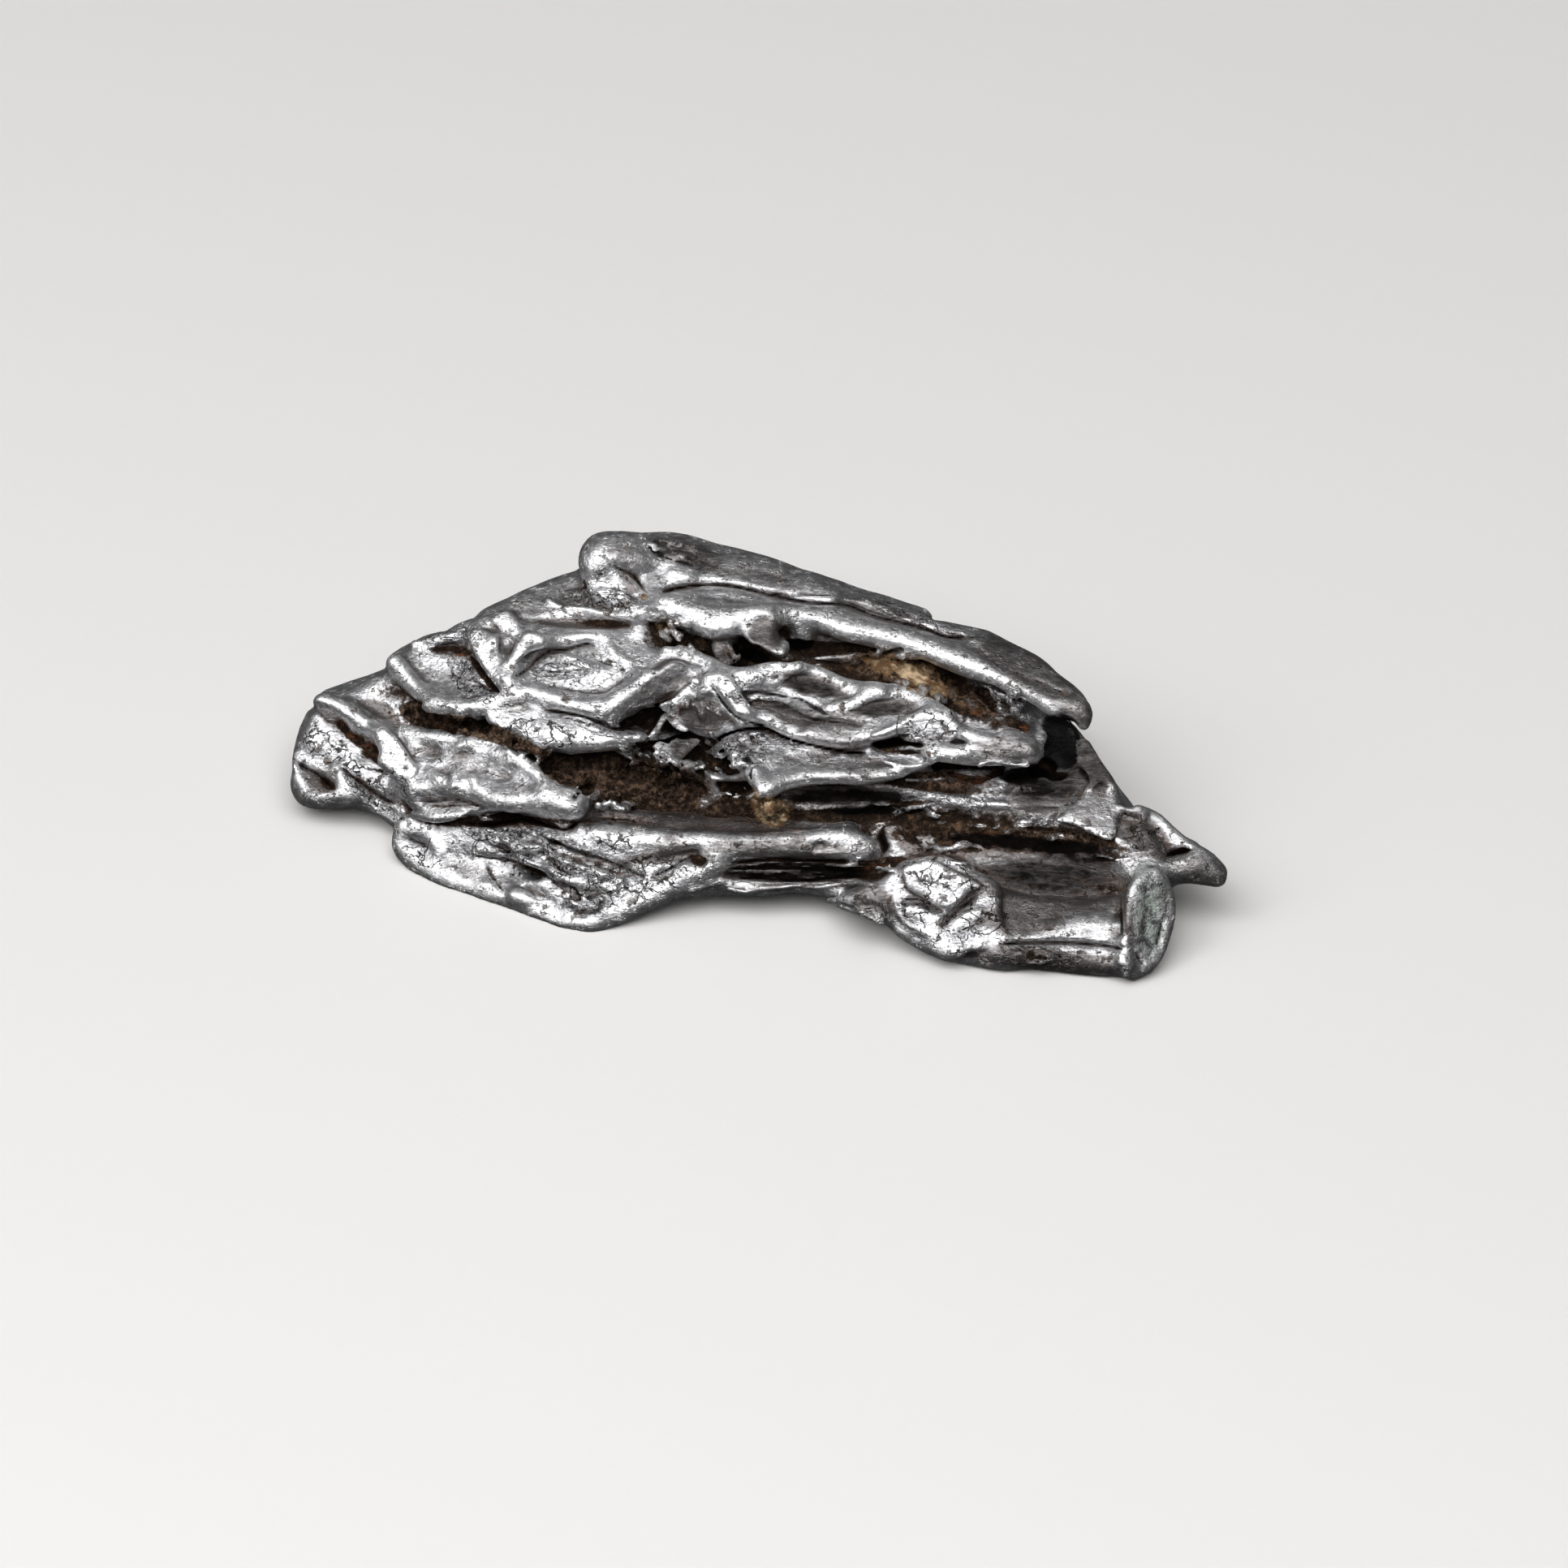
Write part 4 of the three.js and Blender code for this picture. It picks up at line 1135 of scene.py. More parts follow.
    textures: tuple[Texture, ...] = (
        Texture(Grain.FLAKES, (-0.2, 3.0), (1.3, 0.5), -10.0, (0.5, 0.2), 0.1, 13),
        Texture(Grain.STRIAE, (4.0, 2.1), (1.6, 0.6), 2.0, (1.1, 0.14), 0.07, 14),
        Texture(Grain.FLAKES, (7.6, 0.9), (1.5, 0.5), 8.0, (0.6, 0.2), 0.12, 15),
        Texture(Grain.STRIAE, (2.6, 1.7), (3.0, 0.9), -12.0, (1.2, 0.2), 0.1, 16),
        Texture(Grain.STRIAE, (2.4, 3.4), (1.8, 0.6), -16.0, (0.9, 0.16), 0.12, 18),
        Texture(Grain.STRIAE, (6.0, 2.4), (1.8, 0.5), 4.0, (0.9, 0.16), 0.1, 19),
        Texture(Grain.HAMMERED, (0.4, 4.0), (1.6, 0.7), 0.0, (0.7, 0.4), 0.05, 18),
    )
    spots: tuple[Spot, ...] = (
        Spot(Stain.CRACKS, (-0.7, 3.9), (0.9, 0.5), 0.0, 0.4),
        Spot(Stain.CRACKS, (8.0, 1.5), (2.6, 1.0), 15.0, 0.6),
        Spot(Stain.FILM, (2.6, 3.65), (1.9, 0.65), -14.0),
        Spot(Stain.SOOT, (2.6, 3.5), (1.6, 0.5), -14.0, 0.55),
        Spot(Stain.FILM, (6.1, 2.5), (1.8, 0.5), 8.0),
        Spot(Stain.SOOT, (6.0, 2.4), (1.5, 0.4), 6.0, 0.52),
        Spot(Stain.SOOT, (2.0, 2.45), (2.1, 0.5), -14.0, 0.55),
        Spot(Stain.FILM, (1.7, 2.1), (1.8, 0.6), -22.0, 0.85),
        Spot(Stain.FILM, (3.9, 1.0), (2.3, 0.5), -6.0, 0.6),
        Spot(Stain.FILM, (3.6, 2.0), (2.2, 0.6), -6.0, 0.6),
        Spot(Stain.SOIL, (7.0, 0.6), (1.6, 0.45), -4.0, 0.9),
        Spot(Stain.RUST, (6.5, 0.3), (1.2, 0.3), -10.0, 0.5),
    )


@dataclass(frozen=True)
class MiddleShelf(Region):
    """The grey striated shelf right of the middle, its thin lip and the crust under its bulb."""

    slabs: tuple[Slab, ...] = (
        Slab(((-1.2, 1.2), (0.2, 1.4), (1.2, 0.9), (3.0, 0.4), (5.0, 0.2), (6.6, -0.1), (6.9, -0.6),
              (5.6, -0.75), (3.6, -0.75), (1.6, -0.75), (0.2, -0.6), (-0.5, 0.0)), (3.0, -0.2, -0.35),
             (0.02, -0.78), 0.6, 0.2, 0.1, True),
    )
    rolls: tuple[Roll, ...] = (
        Roll(((-3.1, -0.55), (-2.3, -0.8), (-1.6, -1.0), (-0.9, -0.95), (-0.5, -0.7)),
             (0.1, 0.15, 0.18, 0.16, 0.1), 0.25, 0.12),
        Roll(((-3.7, -0.95), (-3.2, -1.2), (-2.7, -1.25)), (0.08, 0.16, 0.1), 0.25, 0.1),
        Roll(((-3.4, -1.45), (-3.0, -1.75)), (0.16, 0.12), 0.25, 0.1),
        Roll(((-2.1, -1.75), (-1.5, -1.65)), (0.12, 0.14), 0.3, 0.1),
        Roll(((-0.2, -0.7), (-0.1, -1.2), (0.3, -1.5)), (0.25, 0.35, 0.38), 0.09, 0.45),
        Roll(((0.3, -1.5), (1.0, -1.2), (2.0, -0.98), (3.4, -0.9), (4.8, -0.98), (6.0, -0.9), (6.9, -0.65)),
             (0.4, 0.36, 0.3, 0.28, 0.26, 0.22, 0.16), 0.05, 0.55),
        Roll(((5.4, 0.1), (6.2, -0.15), (7.1, -0.36), (8.0, -0.32), (8.6, -0.05)), 0.15, 0.2, 0.15),
        Roll(((-0.3, -1.7), (0.05, -2.2), (0.35, -2.7)), 0.15, 0.2, 0.1),
    )
    shards: tuple[Shards, ...] = (
        Shards((-2.0, 0.1), (1.4, 0.9), -15.0, 44, 0.32, 0.11, 21),
        Shards((0.65, -2.6), (0.55, 0.35), -20.0, 26, 0.25, 0.13, 27),
        Shards((-1.8, -1.3), (1.6, 0.5), -20.0, 22, 0.35, 0.1, 22),
        Shards((-0.6, 0.6), (1.0, 0.5), 20.0, 14, 0.35, 0.07, 23),
        Shards((4.4, -1.8), (3.2, 0.35), 0.0, 26, 0.7, 0.07, 24, True),
        Shards((-1.2, 0.9), (1.0, 0.3), 15.0, 10, 0.3, 0.06, 25, True),
    )
    dishes: tuple[Dish, ...] = (
        Dish((-1.2, -1.4), (0.9, 0.25), 0.3, -8.0),
    )
    strokes: tuple[Stroke, ...] = (
        Stroke(((-2.3, 0.9), (-1.5, 1.25), (-0.5, 1.5), (0.4, 1.5), (1.3, 1.05), (2.3, 0.75),
                (3.4, 0.5), (4.5, 0.3), (5.5, 0.25)), 0.08, -0.25),
        Stroke(((-0.35, -0.3), (-0.45, -0.8), (-0.3, -1.3)), 0.12),
        Stroke(((-2.1, 0.8), (-1.7, 0.6), (-1.4, 0.3), (-1.3, -0.1), (-1.4, -0.6)), 0.12, 0.2),
        Stroke(((-2.8, -0.75), (-2.2, -0.95), (-1.4, -0.95), (-0.7, -0.75)), 0.14, 0.25),
        Stroke(((-1.0, 0.4), (-0.5, 0.45), (0.1, 0.55)), 0.1, 0.12),
        Stroke(((-0.7, 0.0), (-0.2, 0.2), (0.6, 0.1), (1.4, 0.0)), 0.1, 0.12),
    )
    textures: tuple[Texture, ...] = (
        Texture(Grain.FLAKES, (-1.0, 0.4), (1.7, 1.0), 5.0, (0.5, 0.22), 0.16, 21),
        Texture(Grain.FLAKES, (0.6, 1.0), (1.5, 0.4), -15.0, (0.5, 0.2), 0.1, 22),
        Texture(Grain.STRIAE, (3.4, 0.0), (3.6, 0.8), -4.0, (1.1, 0.17), 0.11, 23),
        Texture(Grain.STRIAE, (4.5, -1.7), (3.4, 0.6), -1.0, (1.6, 0.14), 0.09, 24),
    )
    spots: tuple[Spot, ...] = (
        Spot(Stain.FILM, (3.6, -0.1), (3.6, 0.6), -4.0, 0.5),
        Spot(Stain.FILM, (4.6, -1.0), (2.6, 0.3), 0.0, 0.5),
        Spot(Stain.FILM, (4.4, -1.9), (3.8, 0.5)),
        Spot(Stain.CRACKS, (-0.8, 0.9), (1.3, 0.5), 15.0, 0.8),
        Spot(Stain.TAN, (0.6, -2.6), (0.9, 0.75), -20.0),
        Spot(Stain.TAN, (-0.2, -1.9), (0.3, 0.5), 0.0, 0.8),
        Spot(Stain.GRIT, (0.6, -2.6), (1.0, 0.8), -20.0),
        Spot(Stain.SOIL, (4.4, -2.4), (4.6, 0.8)),
        Spot(Stain.SOOT, (4.2, -1.85), (3.4, 0.55), 0.0, 0.6),
        Spot(Stain.SOIL, (-2.6, -0.2), (0.9, 0.9), 0.0, 0.3),
        Spot(Stain.SOIL, (-1.0, -1.5), (1.2, 0.4), 0.0, 0.9),
    )


@dataclass(frozen=True)
class BowlPlate(Region):
    """The bowl left of the middle: a bright scalloped rim, inner bands and a grey dome below."""

    slabs: tuple[Slab, ...] = (
        Slab(((-8.0, 1.9), (-7.4, 2.5), (-6.2, 3.4), (-5.0, 4.4), (-4.2, 4.85), (-3.5, 4.6), (-3.3, 4.1),
              (-4.0, 3.3), (-5.2, 2.7), (-6.2, 2.2), (-7.2, 1.6)), (-6.0, 3.0, -2.0), (-0.42, 0.56),
             3.0, 0.3, 0.35),
        Slab(((-11.0, 3.7), (-10.2, 4.4), (-9.0, 4.65), (-7.8, 4.5), (-7.0, 4.2), (-6.7, 3.8), (-7.4, 3.35),
              (-8.6, 3.25), (-9.8, 3.45)), (-8.6, 3.9, -3.05), (0.05, -0.3), 1.0, 0.25, 0.1, True),
        Slab(((-4.9, 2.5), (-4.2, 3.0), (-3.5, 3.6), (-2.9, 3.6), (-2.3, 2.9), (-1.8, 2.4), (-1.2, 1.75),
              (-1.6, 1.4), (-2.6, 1.1), (-3.6, 1.5), (-4.2, 2.0)), (-2.8, 2.3, -1.85), (-0.15, 0.25), 2.5,
             0.4, 0.05, True),
        Slab(((-3.9, 2.9), (-3.3, 3.4), (-2.8, 3.3), (-2.5, 2.8), (-3.0, 2.5), (-3.6, 2.5)),
             (-3.2, 2.9, -1.75), (0.25, -0.2), 0.8, 0.2, 0.1),
        Slab(((-5.7, 0.9), (-5.3, 1.4), (-5.0, 2.1), (-4.6, 2.35), (-4.3, 2.0), (-3.9, 1.6), (-3.5, 1.4),
              (-4.2, 1.1), (-4.9, 0.9)), (-4.7, 1.6, -3.2), (0.1, -0.9), 1.2, 0.06, 0.1),
        Slab(((-5.6, 1.0), (-5.35, 1.4), (-5.05, 1.9), (-4.8, 2.35), (-4.45, 2.25), (-4.7, 1.8),
              (-4.95, 1.4), (-5.25, 1.05)), (-5.0, 1.6, -1.8), (0.2, -0.2), 0.9, 0.03, 0.06),
        Slab(((-4.75, 2.35), (-4.35, 2.2), (-3.95, 1.8), (-3.45, 1.5), (-3.55, 1.3), (-4.1, 1.45),
              (-4.5, 1.85)), (-4.1, 1.8, -1.6), (0.3, -0.5), 0.9, 0.03, 0.06),
        Slab(((-5.3, 0.6), (-4.95, 0.9), (-4.5, 0.75), (-4.25, 1.1), (-4.12, 0.6), (-4.25, 0.1),
              (-4.4, -0.4), (-4.85, -0.1), (-5.15, 0.2)), (-4.7, 0.4, -1.5), (0.1, -0.25), 1.6, 0.03,
             0.06, True),
        Slab(((-4.25, 1.15), (-3.9, 0.98), (-3.4, 1.05), (-2.9, 0.92), (-3.4, 0.4), (-4.0, -0.1),
              (-4.4, -0.4), (-4.25, 0.1), (-4.12, 0.6)), (-3.8, 0.5, -1.5), (-0.3, -0.6), 1.6, 0.03, 0.06,
             True),
        Slab(((-7.3, 0.55), (-6.5, 0.75), (-5.8, 0.6), (-5.2, 0.2), (-4.7, -0.3), (-4.3, -0.8),
              (-5.0, -0.6), (-5.8, -0.3), (-6.6, 0.1)), (-5.8, 0.2, -2.9), (-0.2, -0.35), 1.2, 0.1, 0.1),
    )
    rolls: tuple[Roll, ...] = (
        Roll(((-12.0, 3.15), (-11.2, 3.25), (-10.4, 3.05), (-9.4, 2.75), (-8.4, 2.5), (-7.7, 2.55),
              (-7.0, 2.95), (-6.2, 3.5), (-5.6, 4.1)),
             (0.28, 0.33, 0.36, 0.36, 0.36, 0.4, 0.44, 0.42, 0.3), 0.05, 0.55),
        Roll(((-3.25, 4.25), (-3.05, 4.3)), 0.38, 0.1, 0.12),
        Roll(((-3.15, 3.8),), 0.34, 0.1, 0.12),
        Roll(((-10.0, 5.1), (-9.2, 4.85), (-8.5, 4.5)), (0.18, 0.28, 0.2), 0.12, 0.15),
        Roll(((-7.4, 5.45), (-7.0, 4.95), (-6.4, 4.75)), (0.2, 0.22, 0.15), 0.1, 0.15),
    )
    shards: tuple[Shards, ...] = (
        Shards((-2.7, 2.3), (1.2, 0.6), -38.0, 20, 0.8, 0.09, 35),
        Shards((-2.7, 2.3), (1.3, 0.7), -38.0, 26, 0.8, 0.07, 36, True),
    )
    strokes: tuple[Stroke, ...] = (
        Stroke(((-11.2, 4.6), (-10.6, 4.35), (-9.8, 4.28), (-9.0, 4.4), (-8.4, 4.35)), 0.1, -0.16),
        Stroke(((-10.9, 4.75), (-11.15, 4.35), (-10.8, 4.1), (-10.0, 4.05)), 0.1, -0.12),
        Stroke(((-7.2, 5.0), (-6.9, 4.6), (-6.5, 4.0)), 0.1, -0.15),
        Stroke(((-8.2, 4.9), (-7.6, 4.7), (-7.0, 4.5)), 0.12, -0.15),
        Stroke(((-6.6, 2.4), (-5.7, 2.65), (-5.0, 2.6), (-4.3, 2.9)), 0.1, 0.15),
        Stroke(((-3.6, 3.9), (-3.2, 3.55), (-2.8, 3.5)), 0.1, -0.25),
    )
    textures: tuple[Texture, ...] = (
        Texture(Grain.HAMMERED, (-8.6, 3.8), (3.2, 1.0), 4.0, (0.9, 0.4), 0.07, 31),
        Texture(Grain.FLAKES, (-9.6, 4.4), (1.8, 0.5), 4.0, (0.8, 0.2), 0.05, 32),
        Texture(Grain.HAMMERED, (-2.8, 2.4), (1.4, 0.9), -20.0, (0.5, 0.3), 0.08, 33),
        Texture(Grain.STRIAE, (-5.8, 0.1), (1.6, 0.5), -30.0, (0.6, 0.14), 0.12, 34),
        Texture(Grain.FLAKES, (-5.6, 2.3), (1.6, 0.5), 15.0, (0.6, 0.18), 0.1, 34),
    )
    spots: tuple[Spot, ...] = (
        Spot(Stain.CRACKS, (-8.6, 4.1), (3.4, 1.2), 5.0, 0.35),
        Spot(Stain.FILM, (-5.4, 3.3), (2.4, 0.8), 38.0, 0.6),
        Spot(Stain.FILM, (-4.4, 4.3), (1.0, 0.7), 20.0, 0.5),
        Spot(Stain.FILM, (-3.0, 2.0), (1.2, 0.8), -20.0),
        Spot(Stain.SOIL, (-4.2, 2.4), (0.8, 0.5), 30.0, 0.8),
        Spot(Stain.FILM, (-3.7, 0.5), (0.8, 0.7), 0.0, 0.9),
        Spot(Stain.FILM, (-4.8, 1.7), (0.9, 0.7), 0.0, 0.6),
        Spot(Stain.SOIL, (-4.6, 1.5), (0.5, 0.35), 0.0, 0.9),
        Spot(Stain.SOOT, (-4.4, 1.1), (1.2, 1.0), -30.0, 0.55),
        Spot(Stain.FILM, (-5.8, 0.1), (1.6, 0.5), -30.0, 0.6),
        Spot(Stain.SOIL, (-5.4, 5.9), (0.8, 0.5), -40.0, 0.5),
        Spot(Stain.SOIL, (-5.3, 2.3), (1.5, 0.6), 15.0, 0.6),
        Spot(Stain.SOIL, (-3.4, 3.4), (0.5, 0.4), 0.0, 0.6),
    )


@dataclass(frozen=True)
class LeftShelf(Region):
    """The left shelf with its bright rim, the leaning strut and the lobes above the bowl."""

    slabs: tuple[Slab, ...] = (
        Slab(((-18.5, 4.7), (-17.9, 3.9), (-17.1, 3.2), (-16.3, 2.7), (-15.2, 2.4), (-15.2, 2.85),
              (-16.1, 3.35), (-16.8, 3.9), (-17.5, 4.6), (-18.0, 5.15)), (-17.0, 3.7, -5.4),
             (0.62, -0.15), 1.2, 0.25, 0.25, True),
        Slab(((-16.6, 2.6), (-15.6, 2.15), (-14.4, 1.95), (-13.4, 2.15), (-12.6, 2.6), (-12.2, 3.05),
              (-12.6, 3.35), (-13.4, 3.2), (-14.4, 3.1), (-15.9, 3.25)), (-14.0, 2.7, -3.4), (0.3, -0.2),
             1.2, 0.25, 0.15, True),
        Slab(((-14.5, 6.2), (-13.8, 6.5), (-13.0, 6.2), (-12.9, 5.4), (-12.8, 4.7), (-13.0, 4.1),
              (-12.5, 3.5), (-12.7, 3.2), (-13.3, 3.9), (-14.1, 5.1)), (-13.4, 5.2, -3.75), (0.25, -0.35),
             1.0, 0.12, 0.15, True),
        Slab(((-13.3, 6.9), (-12.6, 7.4), (-12.1, 7.1), (-11.9, 6.5), (-12.3, 6.1), (-12.9, 6.4)),
             (-12.5, 6.8, -4.95), (0.1, -0.25), 0.8, 0.2, 0.15, True),
        Slab(((-13.1, 4.1), (-12.7, 4.6), (-12.4, 5.2), (-12.2, 5.8), (-11.6, 6.15), (-10.9, 6.1),
              (-10.6, 5.75), (-11.4, 5.3), (-12.0, 4.8), (-12.5, 4.3)), (-12.2, 5.3, -3.3), (0.1, -0.2),
             0.9, 0.1, 0.15, True),
    )
    rolls: tuple[Roll, ...] = (
        Roll(((-18.2, 4.8), (-17.7, 4.3), (-17.0, 3.6), (-16.3, 3.05), (-15.4, 2.7), (-14.4, 2.55),
              (-13.5, 2.65), (-12.8, 2.85), (-12.3, 2.95)),
             (0.34, 0.36, 0.34, 0.28, 0.2, 0.18, 0.2, 0.24, 0.2), 0.05, 0.55),
        Roll(((-17.2, 5.75), (-16.4, 5.8), (-15.7, 5.95), (-14.8, 6.15)), (0.18, 0.25, 0.28, 0.22)),
        Roll(((-11.4, 6.0), (-10.6, 5.85), (-9.6, 5.95), (-8.6, 6.1), (-7.9, 6.05), (-7.5, 5.7)),
             (0.32, 0.28, 0.24, 0.26, 0.3, 0.2), 0.06, 0.55),
        Roll(((-10.5, 7.85), (-9.8, 7.5), (-8.6, 7.38), (-7.4, 7.12), (-6.2, 6.95)), 0.15, 0.15, 0.15),
    )
    caves: tuple[Cave, ...] = (
        Cave(((-16.0, 5.55), (-15.3, 5.6), (-14.8, 5.5)), (0.15, 0.25, 0.25), -0.1, 0.12),
    )
    dishes: tuple[Dish, ...] = (
        Dish((-15.8, 4.0), (1.8, 0.8), 0.3, -20.0),
        Dish((-8.6, 6.7), (2.8, 0.33), 0.3, -3.0),
        Dish((-9.2, 8.4), (1.0, 0.6), 0.1, 10.0),
        Dish((-13.4, 6.4), (0.6, 0.4), 0.15),
        Dish((-12.3, 5.6), (0.3, 0.8), 0.15, -25.0),
    )
    strokes: tuple[Stroke, ...] = (
        Stroke(((-14.5, 5.3), (-14.1, 4.8), (-13.6, 4.15), (-13.1, 3.5), (-12.7, 3.1)), 0.12, -0.25),
        Stroke(((-14.9, 4.15), (-14.2, 4.05), (-13.6, 3.85)), 0.12, 0.15),
        Stroke(((-15.0, 4.9), (-14.4, 4.85)), 0.1, 0.15),
        Stroke(((-14.2, 3.9), (-13.7, 3.6), (-13.3, 3.2)), 0.1, -0.2),
        Stroke(((-15.8, 3.05), (-15.0, 2.9), (-14.2, 3.05), (-13.5, 3.1)), 0.1, -0.15),
        Stroke(((-12.3, 4.0), (-11.6, 4.35), (-11.0, 4.95), (-10.4, 5.35), (-9.7, 5.4), (-9.1, 5.55),
                (-8.5, 5.7), (-8.1, 5.55)), 0.13),
    )
    textures: tuple[Texture, ...] = (
        Texture(Grain.FLAKES, (-14.3, 4.0), (1.4, 0.8), -35.0, (0.6, 0.2), 0.1, 41),
        Texture(Grain.FLAKES, (-7.6, 7.9), (2.2, 0.6), -8.0, (0.8, 0.2), 0.08, 43),
        Texture(Grain.HAMMERED, (-12.6, 6.3), (1.3, 1.2), 50.0, (0.6, 0.35), 0.08, 44),
        Texture(Grain.FLAKES, (-15.4, 6.1), (1.6, 0.4), 12.0, (0.7, 0.16), 0.08, 45),
    )
    spots: tuple[Spot, ...] = (
        Spot(Stain.FILM, (-12.1, 2.6), (1.0, 0.5), 0.0, 0.4),
        Spot(Stain.CRACKS, (-14.2, 3.8), (1.6, 1.0), -35.0, 0.8),
        Spot(Stain.CRACKS, (-7.6, 7.9), (2.0, 0.6), -8.0, 0.6),
        Spot(Stain.FILM, (-10.5, 7.7), (1.9, 0.8), 12.0, 0.45),
        Spot(Stain.SOIL, (-15.4, 5.35), (1.2, 0.3), -5.0),
        Spot(Stain.RUST, (-15.0, 5.1), (0.9, 0.25), -10.0, 0.8),
        Spot(Stain.SOIL, (-13.6, 4.1), (1.3, 0.25), -48.0, 0.8),
        Spot(Stain.SOIL, (-6.6, 7.5), (0.5, 0.4), -30.0, 0.6),
        Spot(Stain.SOIL, (-7.6, 6.7), (1.6, 0.3), -3.0, 0.35),
        Spot(Stain.FILM, (-8.6, 6.65), (2.6, 0.35), -2.0, 0.5),
    )


@dataclass(frozen=True)
class Band(Region):
    """The bright convex band under the bowl, with sharp crystals at its right end."""

    rolls: tuple[Roll, ...] = (
        Roll(((-13.2, 1.85), (-12.4, 1.5), (-11.4, 1.25), (-10.2, 1.05), (-9.0, 0.98), (-8.0, 1.02),
              (-7.0, 1.02), (-6.1, 1.0)), (0.25, 0.4, 0.52, 0.55, 0.52, 0.45, 0.3, 0.18), 0.07, 0.55),
        Roll(((-6.8, 0.5), (-6.2, 0.25), (-5.6, 0.1)), 0.12, 0.2, 0.1),
    )
    dishes: tuple[Dish, ...] = (
        Dish((-6.2, 1.7), (1.0, 0.4), 0.4, 10.0),
    )
    strokes: tuple[Stroke, ...] = (
        Stroke(((-10.8, 2.4), (-9.8, 2.3), (-8.8, 2.1), (-7.9, 1.8), (-7.2, 1.5), (-6.4, 1.35)), 0.14,
               -0.35),
        Stroke(((-11.0, 2.05), (-9.8, 2.05), (-8.7, 1.8), (-8.0, 1.55)), 0.1, -0.12),
        Stroke(((-9.4, 2.05), (-8.6, 1.95), (-7.9, 1.6)), 0.1, 0.12),
        Stroke(((-12.4, 2.0), (-12.3, 1.5), (-12.1, 1.2)), 0.1, -0.12),
        Stroke(((-6.9, 0.75), (-6.3, 0.85), (-5.7, 0.7), (-5.2, 0.8)), 0.12, -0.2),
    )
    textures: tuple[Texture, ...] = (
        Texture(Grain.HAMMERED, (-9.8, 1.2), (4.0, 0.9), -5.0, (0.7, 0.45), 0.07, 51),
        Texture(Grain.FLAKES, (-7.4, 1.5), (1.6, 0.5), -12.0, (0.5, 0.18), 0.1, 52),
        Texture(Grain.FLAKES, (-5.6, 0.0), (1.6, 0.5), -15.0, (0.5, 0.18), 0.12, 54),
    )
    spots: tuple[Spot, ...] = (
        Spot(Stain.CRACKS, (-11.0, 1.3), (2.6, 0.7), -8.0, 0.9),
        Spot(Stain.SOIL, (-14.6, 1.6), (3.4, 0.6), -12.0),
        Spot(Stain.SOIL, (-12.0, 0.75), (2.4, 0.4), -18.0),
        Spot(Stain.SOIL, (-9.8, -0.5), (1.6, 0.9), -30.0),
        Spot(Stain.GRIT, (-12.0, 0.7), (2.4, 0.4), -18.0),
        Spot(Stain.GRIT, (-9.8, -0.5), (1.6, 0.9), -30.0),
        Spot(Stain.RUST, (-15.6, 1.6), (1.6, 0.5), -10.0, 0.6),
        Spot(Stain.RUST, (-13.0, 0.9), (1.4, 0.25), -15.0, 0.5),
        Spot(Stain.SOIL, (-4.5, 1.3), (0.9, 0.7), 0.0, 0.5),
        Spot(Stain.GRIT, (-14.6, 1.8), (3.0, 0.7), -12.0, 0.8),
    )


